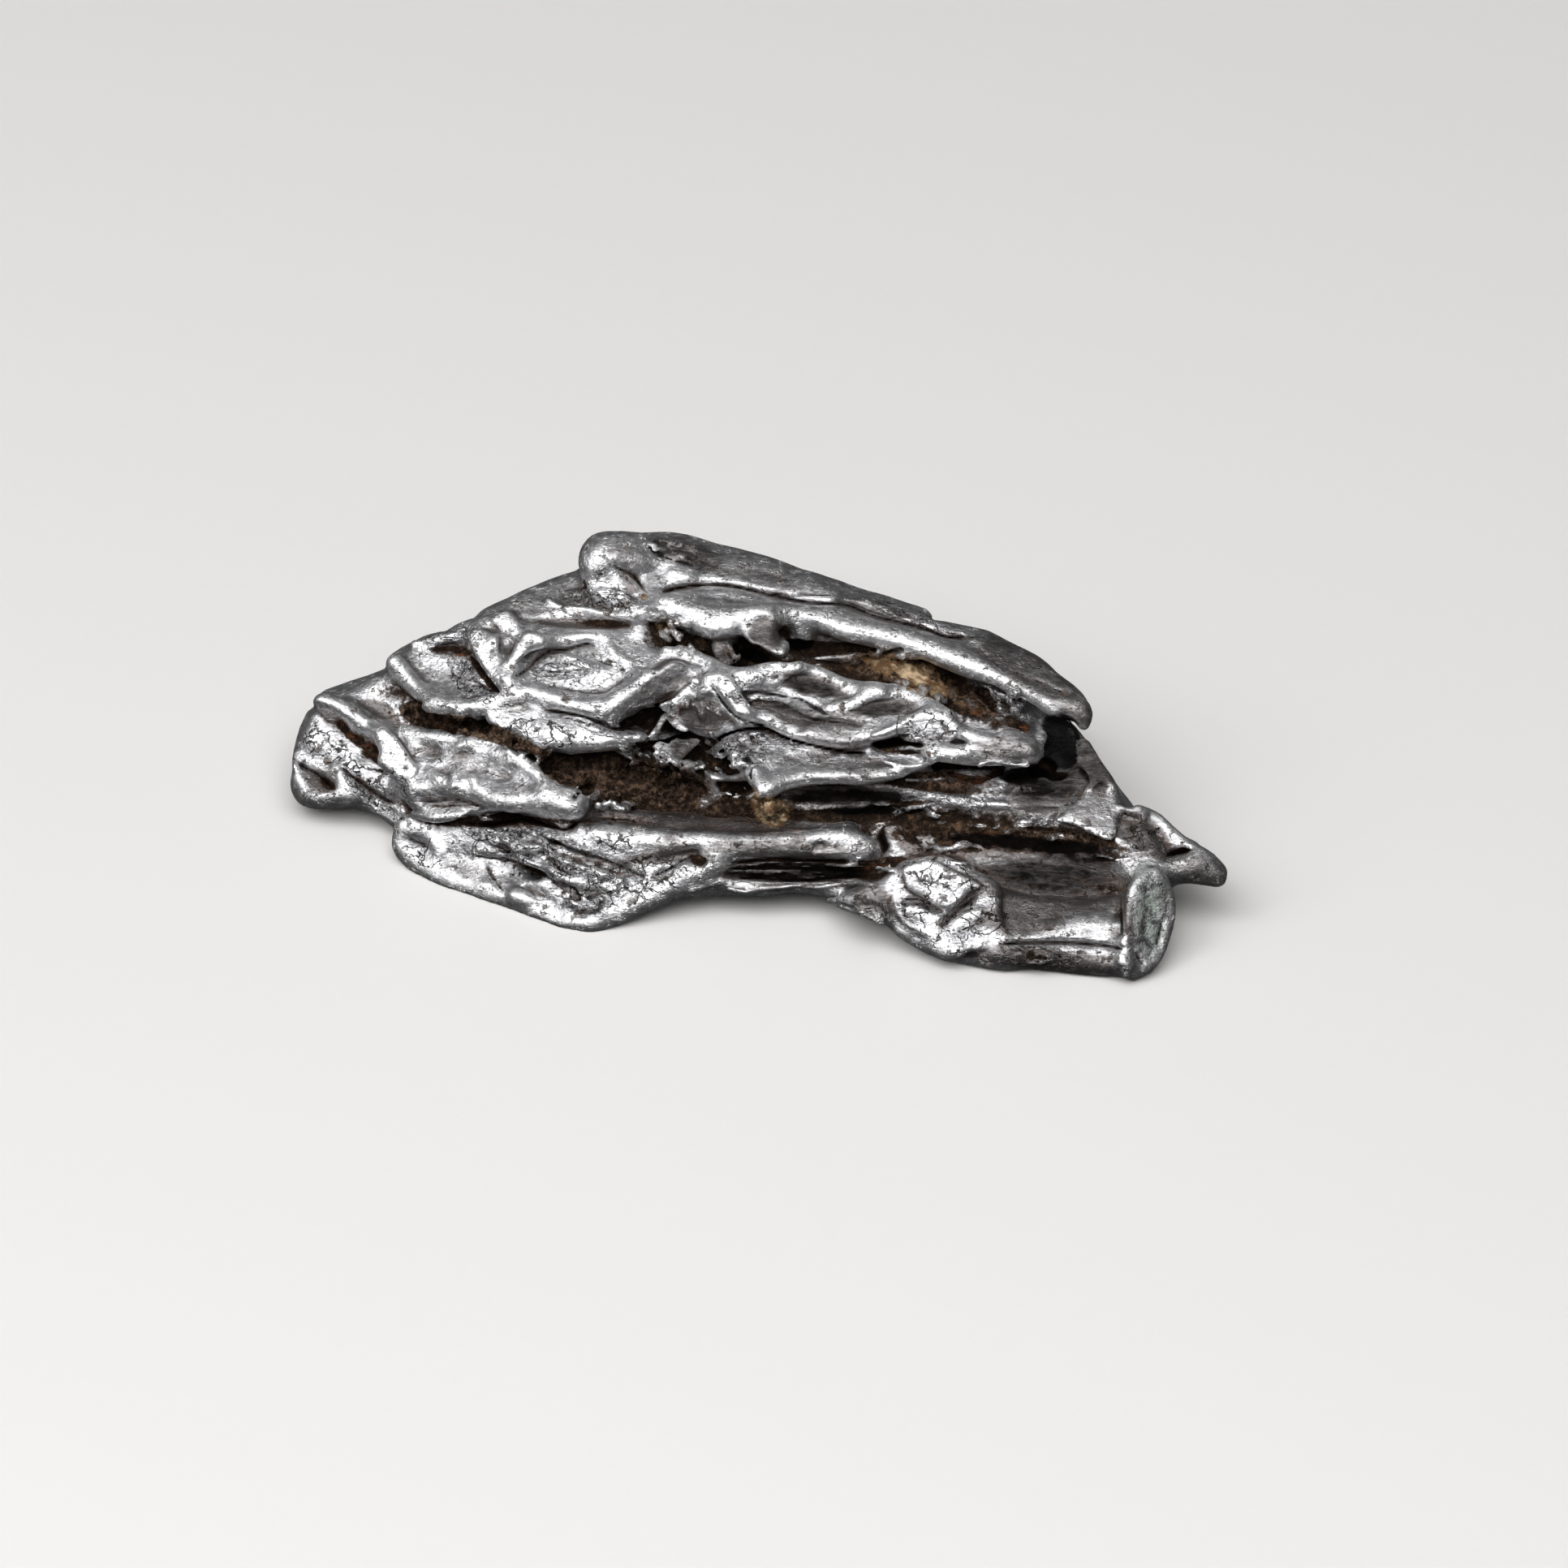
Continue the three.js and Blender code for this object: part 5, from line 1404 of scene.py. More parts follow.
@dataclass(frozen=True)
class LeftEnd(Region):
    """The left end: parallel ridges with rusty troughs between them and a low lobe."""

    slabs: tuple[Slab, ...] = (
        Slab(((-19.5, 3.2), (-18.9, 4.0), (-18.3, 4.0), (-17.5, 3.5), (-17.2, 3.0), (-18.0, 2.8),
              (-18.9, 2.9)), (-18.3, 3.4, -3.55), (-0.05, -0.3), 1.0, 0.15, 0.1),
        Slab(((-19.0, 1.3), (-18.7, 1.6), (-18.3, 1.35), (-17.8, 0.8), (-17.3, 0.15), (-16.95, -0.5),
              (-17.3, -1.0), (-17.9, -0.7), (-18.5, 0.0), (-18.95, 0.75)), (-17.9, 0.3, -4.0),
             (0.36, -0.15), 1.5, 0.25, 0.2, True),
    )
    rolls: tuple[Roll, ...] = (
        Roll(((-21.8, 2.95), (-21.2, 2.75), (-20.5, 2.35), (-19.8, 1.9), (-19.2, 1.45), (-18.8, 1.15)),
             (0.24, 0.26, 0.24, 0.22, 0.22, 0.2), 0.06, 0.45),
        Roll(((-22.2, 1.2), (-22.0, 0.7), (-21.6, 0.4)), (0.45, 0.6, 0.5), 0.12, 0.45),
        Roll(((-21.2, 0.3), (-20.6, 0.4), (-20.1, 0.1)), (0.35, 0.38, 0.3), 0.07, 0.45),
        Roll(((-20.2, -0.35), (-19.5, -0.75), (-18.8, -1.1), (-18.1, -1.4), (-17.4, -1.6)),
             (0.4, 0.45, 0.45, 0.42, 0.38), 0.08, 0.55),
        Roll(((-18.6, -0.1), (-18.1, -0.5), (-17.7, -0.9)), (0.3, 0.34, 0.3), 0.07, 0.45),
        Roll(((-21.0, -0.55), (-20.4, -1.2), (-19.7, -1.8), (-19.0, -2.4), (-18.3, -2.9)),
             (0.22, 0.26, 0.26, 0.24, 0.2), 0.05, 0.55),
        Roll(((-19.0, -1.9), (-18.4, -2.2), (-17.8, -2.6)), 0.14, 0.15, 0.1),
        Roll(((-22.9, -1.0), (-22.5, -1.65), (-21.8, -1.85), (-21.0, -1.75), (-20.4, -1.9)),
             (0.35, 0.4, 0.38, 0.34, 0.28), 0.05, 0.55),
        Roll(((-22.95, 0.2), (-23.0, -0.4)), 0.25, 0.1, 0.2),
    )
    dishes: tuple[Dish, ...] = (
        Dish((-19.0, 2.4), (1.0, 0.6), 0.1, -8.0),
        Dish((-21.2, 1.9), (1.3, 0.4), 0.2, -35.0),
        Dish((-21.7, -1.15), (0.75, 0.45), 0.35, -30.0),
        Dish((-18.6, 3.4), (0.7, 0.4), -0.2, -15.0),
    )
    strokes: tuple[Stroke, ...] = (
        Stroke(((-23.1, -0.1), (-22.6, -0.45), (-22.0, -0.75), (-21.5, -1.2), (-21.0, -1.6)), 0.2, -0.4),
        Stroke(((-20.9, -0.3), (-20.2, -0.9), (-19.5, -1.4), (-18.8, -1.9), (-18.0, -2.3)), 0.18, -0.35),
        Stroke(((-19.6, -1.8), (-19.0, -2.3), (-18.2, -2.8)), 0.12, -0.25),
        Stroke(((-21.6, 0.9), (-21.3, 0.6), (-20.9, 0.7), (-20.5, 0.9)), 0.1, -0.12),
        Stroke(((-19.9, -0.3), (-19.4, -0.5), (-18.8, -0.6), (-18.4, -0.9)), 0.1, -0.14),
    )
    textures: tuple[Texture, ...] = (
        Texture(Grain.HAMMERED, (-20.5, 0.8), (3.0, 1.6), -35.0, (0.6, 0.4), 0.07, 61),
        Texture(Grain.FLAKES, (-18.3, 3.4), (1.0, 0.5), -20.0, (0.4, 0.25), 0.14, 62),
        Texture(Grain.FLAKES, (-19.4, -1.7), (2.0, 0.5), -42.0, (0.35, 0.25), 0.12, 63),
        Texture(Grain.HAMMERED, (-22.0, -1.2), (1.2, 0.7), -20.0, (0.6, 0.4), 0.06, 64),
    )
    spots: tuple[Spot, ...] = (
        Spot(Stain.CRACKS, (-21.6, 0.7), (1.3, 0.9), -20.0, 0.8),
        Spot(Stain.CRACKS, (-19.0, -0.8), (2.2, 0.7), -28.0, 0.8),
        Spot(Stain.CRACKS, (-19.2, -1.8), (2.2, 0.4), -42.0),
        Spot(Stain.CRACKS, (-18.3, 3.3), (1.2, 0.7), -20.0),
        Spot(Stain.TAN, (-18.5, 3.8), (0.5, 0.2), -30.0, 0.6),
        Spot(Stain.RUST, (-21.2, 2.1), (1.2, 0.4), -28.0, 0.9),
        Spot(Stain.RUST, (-20.0, 1.2), (2.2, 0.6), -46.0, 0.7),
        Spot(Stain.SOIL, (-20.0, 1.2), (2.1, 0.5), -46.0, 0.6),
        Spot(Stain.RUST, (-19.5, -1.4), (2.0, 0.3), -43.0, 0.9),
        Spot(Stain.RUST, (-22.0, -1.1), (0.9, 0.4), -25.0, 0.6),
        Spot(Stain.FILM, (-21.9, -1.2), (1.1, 0.6), -30.0, 0.8),
        Spot(Stain.SOIL, (-21.4, -1.25), (0.6, 0.35), -30.0, 0.9),
        Spot(Stain.FILM, (-19.2, 2.5), (1.2, 0.6), -10.0, 0.6),
        Spot(Stain.SOIL, (-17.0, 2.4), (1.0, 0.7), -30.0, 0.9),
        Spot(Stain.GRIT, (-17.2, 2.3), (1.2, 0.8), -30.0, 0.7),
        Spot(Stain.GRIT, (-19.8, 0.9), (1.0, 0.4), -58.0, 0.5),
    )


@dataclass(frozen=True)
class HammeredSlab(Region):
    """The broad hammered slab at the left, with its bulbous tip and the hollow under it."""

    rolls: tuple[Roll, ...] = (
        Roll(((-17.6, 1.5), (-16.6, 1.2), (-15.4, 1.0), (-14.2, 1.0), (-13.2, 0.75), (-12.2, 0.2),
              (-11.2, -0.55), (-10.4, -1.3)), (0.2, 0.25, 0.3, 0.34, 0.3, 0.28, 0.28, 0.3), 0.04, 0.55),
        Roll(((-11.8, -2.1), (-10.8, -2.0), (-10.0, -2.05), (-9.4, -2.3)), (0.4, 0.5, 0.6, 0.45), 0.12,
             0.45),
        Roll(((-17.0, -1.5), (-15.8, -1.35), (-14.6, -1.4), (-13.4, -1.9), (-12.4, -2.2)),
             (0.35, 0.38, 0.35, 0.35, 0.35), 0.04, 0.55),
        Roll(((-17.1, -2.75), (-16.3, -2.9), (-15.4, -2.85), (-14.5, -2.65)), (0.2, 0.26, 0.24, 0.14),
             0.2, 0.15),
        Roll(((-14.9, 0.7), (-14.3, 0.75), (-13.9, 0.5)), (0.2, 0.34, 0.25), 0.1, 0.3),
        Roll(((-16.3, -0.6), (-15.9, -0.95)), 0.24, 0.1, 0.2),
        Roll(((-15.1, -0.7), (-15.1, -1.4)), (0.12, 0.2), 0.08, 0.2),
        Roll(((-14.2, -0.8), (-14.0, -1.5)), (0.12, 0.18), 0.06, 0.2),
    )
    dishes: tuple[Dish, ...] = (
        Dish((-15.5, -2.0), (2.0, 0.5), 0.18, -4.0),
        Dish((-13.4, -0.5), (1.3, 0.6), 0.15, -20.0),
        Dish((-16.3, 0.4), (0.8, 0.5), 0.15, -20.0),
        Dish((-12.6, -1.0), (0.5, 0.8), 0.12, 30.0),
    )
    strokes: tuple[Stroke, ...] = (
        Stroke(((-17.0, -2.0), (-16.2, -2.1), (-15.2, -1.95), (-14.4, -2.15), (-13.6, -2.4)), 0.12, -0.25),
        Stroke(((-16.6, -2.3), (-15.6, -2.35), (-14.8, -2.3)), 0.1, -0.2),
    )
    textures: tuple[Texture, ...] = (
        Texture(Grain.HAMMERED, (-14.0, -0.4), (4.0, 1.8), -12.0, (0.7, 0.45), 0.09, 71),
        Texture(Grain.HAMMERED, (-10.5, -1.9), (1.6, 0.8), -10.0, (0.6, 0.4), 0.05, 72),
    )
    spots: tuple[Spot, ...] = (
        Spot(Stain.FILM, (-15.4, 0.2), (1.8, 0.6), -15.0, 0.35),
        Spot(Stain.FILM, (-15.4, -2.15), (2.1, 0.4), -3.0, 0.6),
        Spot(Stain.SOOT, (-15.4, -2.1), (1.9, 0.35), -4.0, 0.34),
        Spot(Stain.FILM, (-9.2, -2.3), (0.4, 0.5), 0.0, 0.6),
        Spot(Stain.SOIL, (-14.6, -2.4), (2.6, 0.2), 0.0, 0.7),
    )


@dataclass(frozen=True)
class CrumblyRecess(Region):
    """The brown crumbly recess left of the middle, above a smooth ledge."""

    rolls: tuple[Roll, ...] = (
        Roll(((-3.5, -1.05), (-3.1, -1.2), (-2.7, -1.2)), 0.14, 0.3, 0.1),
        Roll(((-2.6, -1.2), (-2.4, -1.7), (-2.8, -2.1)), (0.25, 0.3, 0.2), 0.09, 0.45),
    )
    caves: tuple[Cave, ...] = (
        Cave(((-8.5, -1.2), (-8.5, -1.8)), 0.35, -0.1, 0.15),
        Cave(((-7.6, -2.1), (-6.9, -2.1)), 0.25, -0.1, 0.12),
        Cave(((-6.6, -0.2), (-5.8, -0.5)), 0.3, -0.1, 0.15),
        Cave(((-4.4, -0.5), (-3.9, -0.3)), 0.3, -0.1, 0.15),
        Cave(((-3.2, 0.3), (-3.0, 0.0)), 0.3, -0.1, 0.15),
    )
    shards: tuple[Shards, ...] = (
        Shards((-5.6, -1.2), (3.2, 1.1), 10.0, 34, 0.4, 0.3, 46),
        Shards((-5.8, -1.2), (3.2, 1.2), 15.0, 24, 0.6, 0.2, 47, True),
        Shards((-5.8, -1.2), (3.0, 1.2), 15.0, 80, 0.25, 0.17, 41),
        Shards((-5.8, -1.2), (3.0, 1.2), 60.0, 60, 0.25, 0.15, 42, True),
        Shards((-15.0, 1.8), (2.6, 0.5), -12.0, 40, 0.25, 0.14, 43, True),
        Shards((-11.5, 0.5), (2.2, 0.4), -18.0, 30, 0.25, 0.12, 44),
        Shards((-9.6, -0.6), (1.2, 0.8), -30.0, 24, 0.25, 0.14, 45, True),
    )
    dishes: tuple[Dish, ...] = (
        Dish((-5.6, -1.3), (2.6, 0.8), 0.4, -5.0),
        Dish((-1.4, -2.5), (1.2, 0.4), 0.15, 10.0),
    )
    strokes: tuple[Stroke, ...] = (
        Stroke(((-8.2, -2.95), (-6.6, -3.05), (-5.0, -3.35), (-3.4, -3.5)), 0.12, -0.15),
    )
    textures: tuple[Texture, ...] = (
        Texture(Grain.STRIAE, (-3.0, -3.1), (5.4, 0.55), -4.0, (1.5, 0.16), 0.1, 82),
    )
    spots: tuple[Spot, ...] = (
        Spot(Stain.SOIL, (-5.4, -1.2), (4.0, 1.7), -5.0),
        Spot(Stain.SOIL, (-0.6, -2.4), (2.4, 0.9), 5.0, 0.9),
        Spot(Stain.SOIL, (-3.0, -3.15), (5.6, 0.45), -4.0, 0.45),
        Spot(Stain.FILM, (-3.0, -3.1), (5.8, 0.6), -4.0),
        Spot(Stain.GRIT, (-5.2, -1.3), (3.6, 1.3), -5.0),
        Spot(Stain.GRIT, (-1.4, -2.3), (1.6, 0.5), 10.0, 0.6),
        Spot(Stain.RUST, (-3.2, -0.1), (0.8, 0.4), 0.0, 0.5),
        Spot(Stain.RUST, (1.5, -3.6), (1.3, 0.25), 0.0, 0.8),
    )


@dataclass(frozen=True)
class BottomPlate(Region):
    """The big lower plate: a beaded rim, a flaky hollow, an eye at each end and a split ridge."""

    slabs: tuple[Slab, ...] = (
        Slab(((-12.4, -3.6), (-10.4, -3.9), (-9.2, -4.5), (-8.4, -5.0), (-8.8, -5.9), (-9.8, -6.1),
              (-11.0, -5.4), (-12.2, -4.8)), (-10.2, -4.9, -0.45), (0.12, -0.3), 1.6, 0.3, 0.1),
    )
    rolls: tuple[Roll, ...] = (
        Roll(((-17.5, -3.4), (-17.75, -4.2), (-17.1, -5.0), (-16.0, -5.7), (-14.8, -6.2), (-13.4, -6.65),
              (-12.2, -7.05), (-11.0, -7.55), (-9.9, -8.1), (-9.0, -8.3), (-8.0, -8.0), (-6.8, -7.45),
              (-5.6, -6.85), (-4.4, -6.2), (-3.4, -5.7), (-2.5, -5.2), (-1.8, -4.7)),
             (0.4, 0.45, 0.5, 0.5, 0.5, 0.46, 0.42, 0.4, 0.42, 0.42, 0.36, 0.34, 0.34, 0.34, 0.34,
              0.36, 0.35), 0.07, 0.55),
        Roll(((-8.0, -3.75), (-7.0, -4.0), (-6.2, -4.15), (-5.2, -4.05), (-4.0, -4.1), (-3.0, -4.15),
              (-2.0, -4.3), (-1.0, -4.3), (0.2, -4.25), (1.4, -4.15), (2.4, -4.0), (3.6, -3.9),
              (4.6, -4.05), (5.4, -4.35)),
             (0.25, 0.5, 0.7, 0.6, 0.46, 0.5, 0.6, 0.56, 0.5, 0.48, 0.4, 0.46, 0.5, 0.3), 0.07, 0.55),
        Roll(((2.7, -4.65), (3.5, -4.6), (4.4, -4.6), (5.3, -4.5)), (0.15, 0.18, 0.2, 0.15), 0.1, 0.12),
        Roll(((-17.6, -3.35), (-16.7, -3.55), (-16.1, -4.0), (-15.8, -4.6)), (0.4, 0.36, 0.32, 0.25),
             0.09, 0.45),
        Roll(((-12.0, -6.75), (-11.4, -6.95)), (0.5, 0.46), 0.25, 0.15),
        Roll(((-8.2, -6.9), (-8.15, -7.4)), 0.16, 0.2, 0.1),
        Roll(((-12.6, -4.75), (-11.6, -4.95), (-10.8, -5.3)), (0.14, 0.22, 0.14), 0.15, 0.12),
        Roll(((-10.2, -3.95), (-9.4, -4.3), (-8.6, -4.65)), (0.12, 0.2, 0.18), 0.2, 0.1),
        Roll(((-11.3, -4.5), (-10.7, -4.9), (-10.4, -5.2)), (0.2, 0.22, 0.12), 0.15, 0.1),
        Roll(((-9.2, -6.05), (-8.0, -6.2), (-7.0, -6.5)), (0.15, 0.3, 0.2), 0.09, 0.45),
        Roll(((-8.6, -5.75), (-7.6, -5.75), (-6.8, -5.95)), (0.18, 0.26, 0.16), 0.15, 0.15),
        Roll(((-4.2, -5.3), (-3.7, -5.3)), 0.25, 0.15, 0.15),
    )
    caves: tuple[Cave, ...] = (
        Cave(((2.7, -4.3), (3.0, -4.25)), (0.1, 0.16), -0.05, 0.06),
        Cave(((-3.2, -4.9), (-2.8, -5.1)), 0.3, 0.0, 0.1),
        Cave(((-9.1, -7.6), (-8.7, -7.7)), 0.2, 0.0, 0.1),
    )
    shards: tuple[Shards, ...] = (
        Shards((-11.6, -4.2), (3.4, 0.8), -20.0, 60, 0.5, 0.1, 51),
        Shards((-11.2, -4.3), (3.6, 0.9), -22.0, 60, 0.5, 0.08, 52, True),
        Shards((-9.4, -5.4), (2.4, 0.7), -30.0, 40, 0.5, 0.09, 53),
        Shards((-9.6, -6.4), (2.0, 0.6), -35.0, 30, 0.5, 0.07, 54, True),
        Shards((-8.4, -7.1), (1.2, 0.4), -20.0, 20, 0.3, 0.1, 55),
        Shards((-7.6, -5.4), (1.8, 0.4), -25.0, 24, 0.4, 0.07, 56, True),
    )
    dishes: tuple[Dish, ...] = (
        Dish((-14.0, -5.1), (2.0, 0.7), 0.15, -20.0),
        Dish((-4.0, -4.8), (1.1, 0.3), 0.4, 15.0),
        Dish((-11.7, -5.8), (0.5, 0.5), -0.15, -50.0),
    )
    strokes: tuple[Stroke, ...] = (
        Stroke(((-17.6, -3.85), (-17.2, -4.05), (-16.7, -4.2), (-16.3, -4.45)), 0.1, -0.35),
        Stroke(((-17.2, -4.3), (-16.8, -4.7), (-16.4, -4.8)), 0.1, -0.15),
        Stroke(((-14.3, -4.75), (-13.2, -4.9), (-12.2, -5.05), (-11.5, -5.4), (-10.7, -5.65),
                (-10.0, -6.2), (-9.2, -6.7)), 0.1, -0.22),
        Stroke(((-14.4, -4.6), (-13.2, -4.72), (-12.4, -4.8)), 0.1, 0.12),
        Stroke(((-13.6, -5.0), (-13.3, -5.7), (-12.8, -6.4), (-12.4, -6.75)), 0.12, -0.22),
        Stroke(((-12.0, -6.3), (-11.4, -6.45), (-10.9, -6.95)), 0.1, -0.2),
        Stroke(((-12.3, -5.4), (-11.9, -5.6), (-11.6, -5.9)), 0.14, 0.12),
        Stroke(((-10.4, -5.0), (-9.6, -5.6), (-8.9, -5.8)), 0.12, -0.2),
        Stroke(((-10.5, -3.9), (-9.6, -4.3), (-8.8, -4.65), (-7.8, -4.9), (-6.8, -5.3), (-6.0, -5.7),
                (-5.4, -5.85)), 0.14),
        Stroke(((-5.4, -5.85), (-4.6, -5.5), (-3.9, -5.1), (-3.3, -4.75)), 0.12, -0.35),
        Stroke(((-8.9, -6.45), (-8.0, -6.55), (-7.2, -6.75)), 0.1, -0.15),
        Stroke(((-14.8, -3.2), (-13.2, -3.25), (-11.8, -3.0), (-10.8, -3.2), (-9.6, -3.5), (-8.9, -3.1)),
               0.2, -0.4),
    )
    textures: tuple[Texture, ...] = (
        Texture(Grain.FLAKES, (-11.0, -4.3), (4.6, 0.9), -20.0, (0.7, 0.22), 0.16, 91),
        Texture(Grain.FLAKES, (-8.3, -5.2), (2.4, 0.6), -22.0, (0.6, 0.2), 0.12, 92),
        Texture(Grain.STRIAE, (-10.4, -6.4), (2.6, 0.8), -32.0, (1.1, 0.2), 0.08, 93),
        Texture(Grain.HAMMERED, (-14.0, -5.7), (2.4, 0.9), -20.0, (0.8, 0.5), 0.08, 94),
        Texture(Grain.HAMMERED, (-6.8, -6.5), (2.4, 0.8), 15.0, (0.8, 0.4), 0.07, 95),
        Texture(Grain.HAMMERED, (-2.0, -4.3), (6.5, 0.6), 0.0, (1.0, 0.5), 0.06, 96),
        Texture(Grain.FLAKES, (-8.6, -7.1), (1.2, 0.5), 0.0, (0.35, 0.25), 0.14, 97),
    )
    spots: tuple[Spot, ...] = (
        Spot(Stain.CRACKS, (-11.4, -4.6), (4.4, 1.3), -20.0, 0.7),
        Spot(Stain.CRACKS, (-6.4, -6.1), (3.6, 1.1), 15.0),
        Spot(Stain.CRACKS, (-7.0, -4.0), (1.6, 0.6), -5.0, 0.6),
        Spot(Stain.CRACKS, (-16.6, -4.6), (1.2, 0.8), -30.0, 0.7),
        Spot(Stain.FILM, (-4.4, -4.5), (1.8, 0.5), 5.0, 0.7),
        Spot(Stain.FILM, (-4.3, -4.0), (0.5, 0.5), 0.0, 0.8),
        Spot(Stain.FILM, (-0.2, -4.3), (0.6, 0.5), 0.0, 0.85),
        Spot(Stain.FILM, (1.9, -4.1), (0.5, 0.5), 0.0, 0.9),
        Spot(Stain.FILM, (-5.6, -4.9), (1.6, 0.35), 10.0, 0.9),
        Spot(Stain.FILM, (-13.4, -5.9), (2.8, 0.5), -18.0, 0.5),
        Spot(Stain.FILM, (1.0, -4.4), (4.6, 0.6), 0.0, 0.8),
                Spot(Stain.SOIL, (-12.6, -3.1), (4.6, 0.3)),
        Spot(Stain.RUST, (-10.6, -3.7), (3.4, 0.4), -15.0, 0.6),
        Spot(Stain.RUST, (-7.6, -5.3), (2.4, 0.35), -22.0, 0.7),
        Spot(Stain.RUST, (-9.4, -6.9), (1.8, 0.3), -28.0, 0.7),
        Spot(Stain.RUST, (-15.4, -4.3), (0.8, 0.4), -60.0, 0.5),
        Spot(Stain.SOIL, (-3.0, -5.0), (0.5, 0.35), 0.0, 0.9),
        Spot(Stain.RUST, (-4.6, -4.9), (1.2, 0.2), 15.0, 0.6),
        Spot(Stain.RUST, (0.6, -3.85), (3.4, 0.12), 0.0, 0.6),
    )


@dataclass(frozen=True)
class DarkLayers(Region):
    """The undercut below the split ridge, a stack of thin layers in painted shade over a wavy rim."""

    rolls: tuple[Roll, ...] = (
        Roll(((-3.4, -6.5), (-2.6, -6.25), (-1.8, -6.05)), 0.13, 0.2, 0.12),
        Roll(((-1.6, -6.4), (-0.8, -6.55), (0.1, -6.4), (1.0, -6.35), (1.8, -6.2), (2.8, -6.35),
              (4.0, -6.15), (5.0, -6.1), (5.7, -6.25)), 0.1, 0.2, 0.12),
        Roll(((3.4, -5.2), (4.1, -5.25), (4.8, -5.15)), 0.13, 0.2, 0.12),
        Roll(((3.4, -7.0), (4.3, -6.9), (5.0, -7.05)), 0.15, 0.1, 0.15),
        Roll(((5.8, -5.6), (6.3, -5.45), (6.7, -5.55)), 0.12, 0.2, 0.1),
    )
    shards: tuple[Shards, ...] = (
        Shards((1.8, -5.5), (3.3, 0.35), -2.0, 44, 0.8, 0.06, 101),
        Shards((2.2, -5.6), (3.4, 0.4), 2.0, 40, 0.9, 0.07, 102, True),
        Shards((5.8, -5.3), (1.0, 0.4), 0.0, 16, 0.4, 0.07, 103),
    )
    strokes: tuple[Stroke, ...] = (
        Stroke(((-1.4, -5.1), (0.6, -4.95), (2.6, -5.0), (4.6, -5.05)), 0.12, -0.4),
        Stroke(((-1.6, -5.4), (0.4, -5.35), (2.4, -5.45), (4.2, -5.5)), 0.1),
        Stroke(((-1.8, -5.8), (0.2, -5.95), (2.4, -6.0), (4.4, -5.8), (5.8, -5.9)), 0.11, -0.4),
        Stroke(((4.4, -5.0), (5.2, -4.85), (5.8, -4.95)), 0.08, 0.15),
    )
    textures: tuple[Texture, ...] = (
        Texture(Grain.STRIAE, (2.0, -5.5), (4.4, 0.7), 0.0, (1.6, 0.11), 0.12, 101),
    )
    spots: tuple[Spot, ...] = (
        Spot(Stain.SOIL, (1.8, -5.5), (4.4, 0.7), 0.0, 0.6),
        Spot(Stain.FILM, (1.8, -5.5), (4.4, 0.7)),
        Spot(Stain.SOOT, (1.9, -5.6), (4.0, 0.6), 0.0, 0.72),
        Spot(Stain.FILM, (1.8, -6.3), (4.2, 0.25), 2.0, 0.7),
        Spot(Stain.RUST, (5.6, -5.3), (1.2, 0.25), 8.0, 0.7),
    )


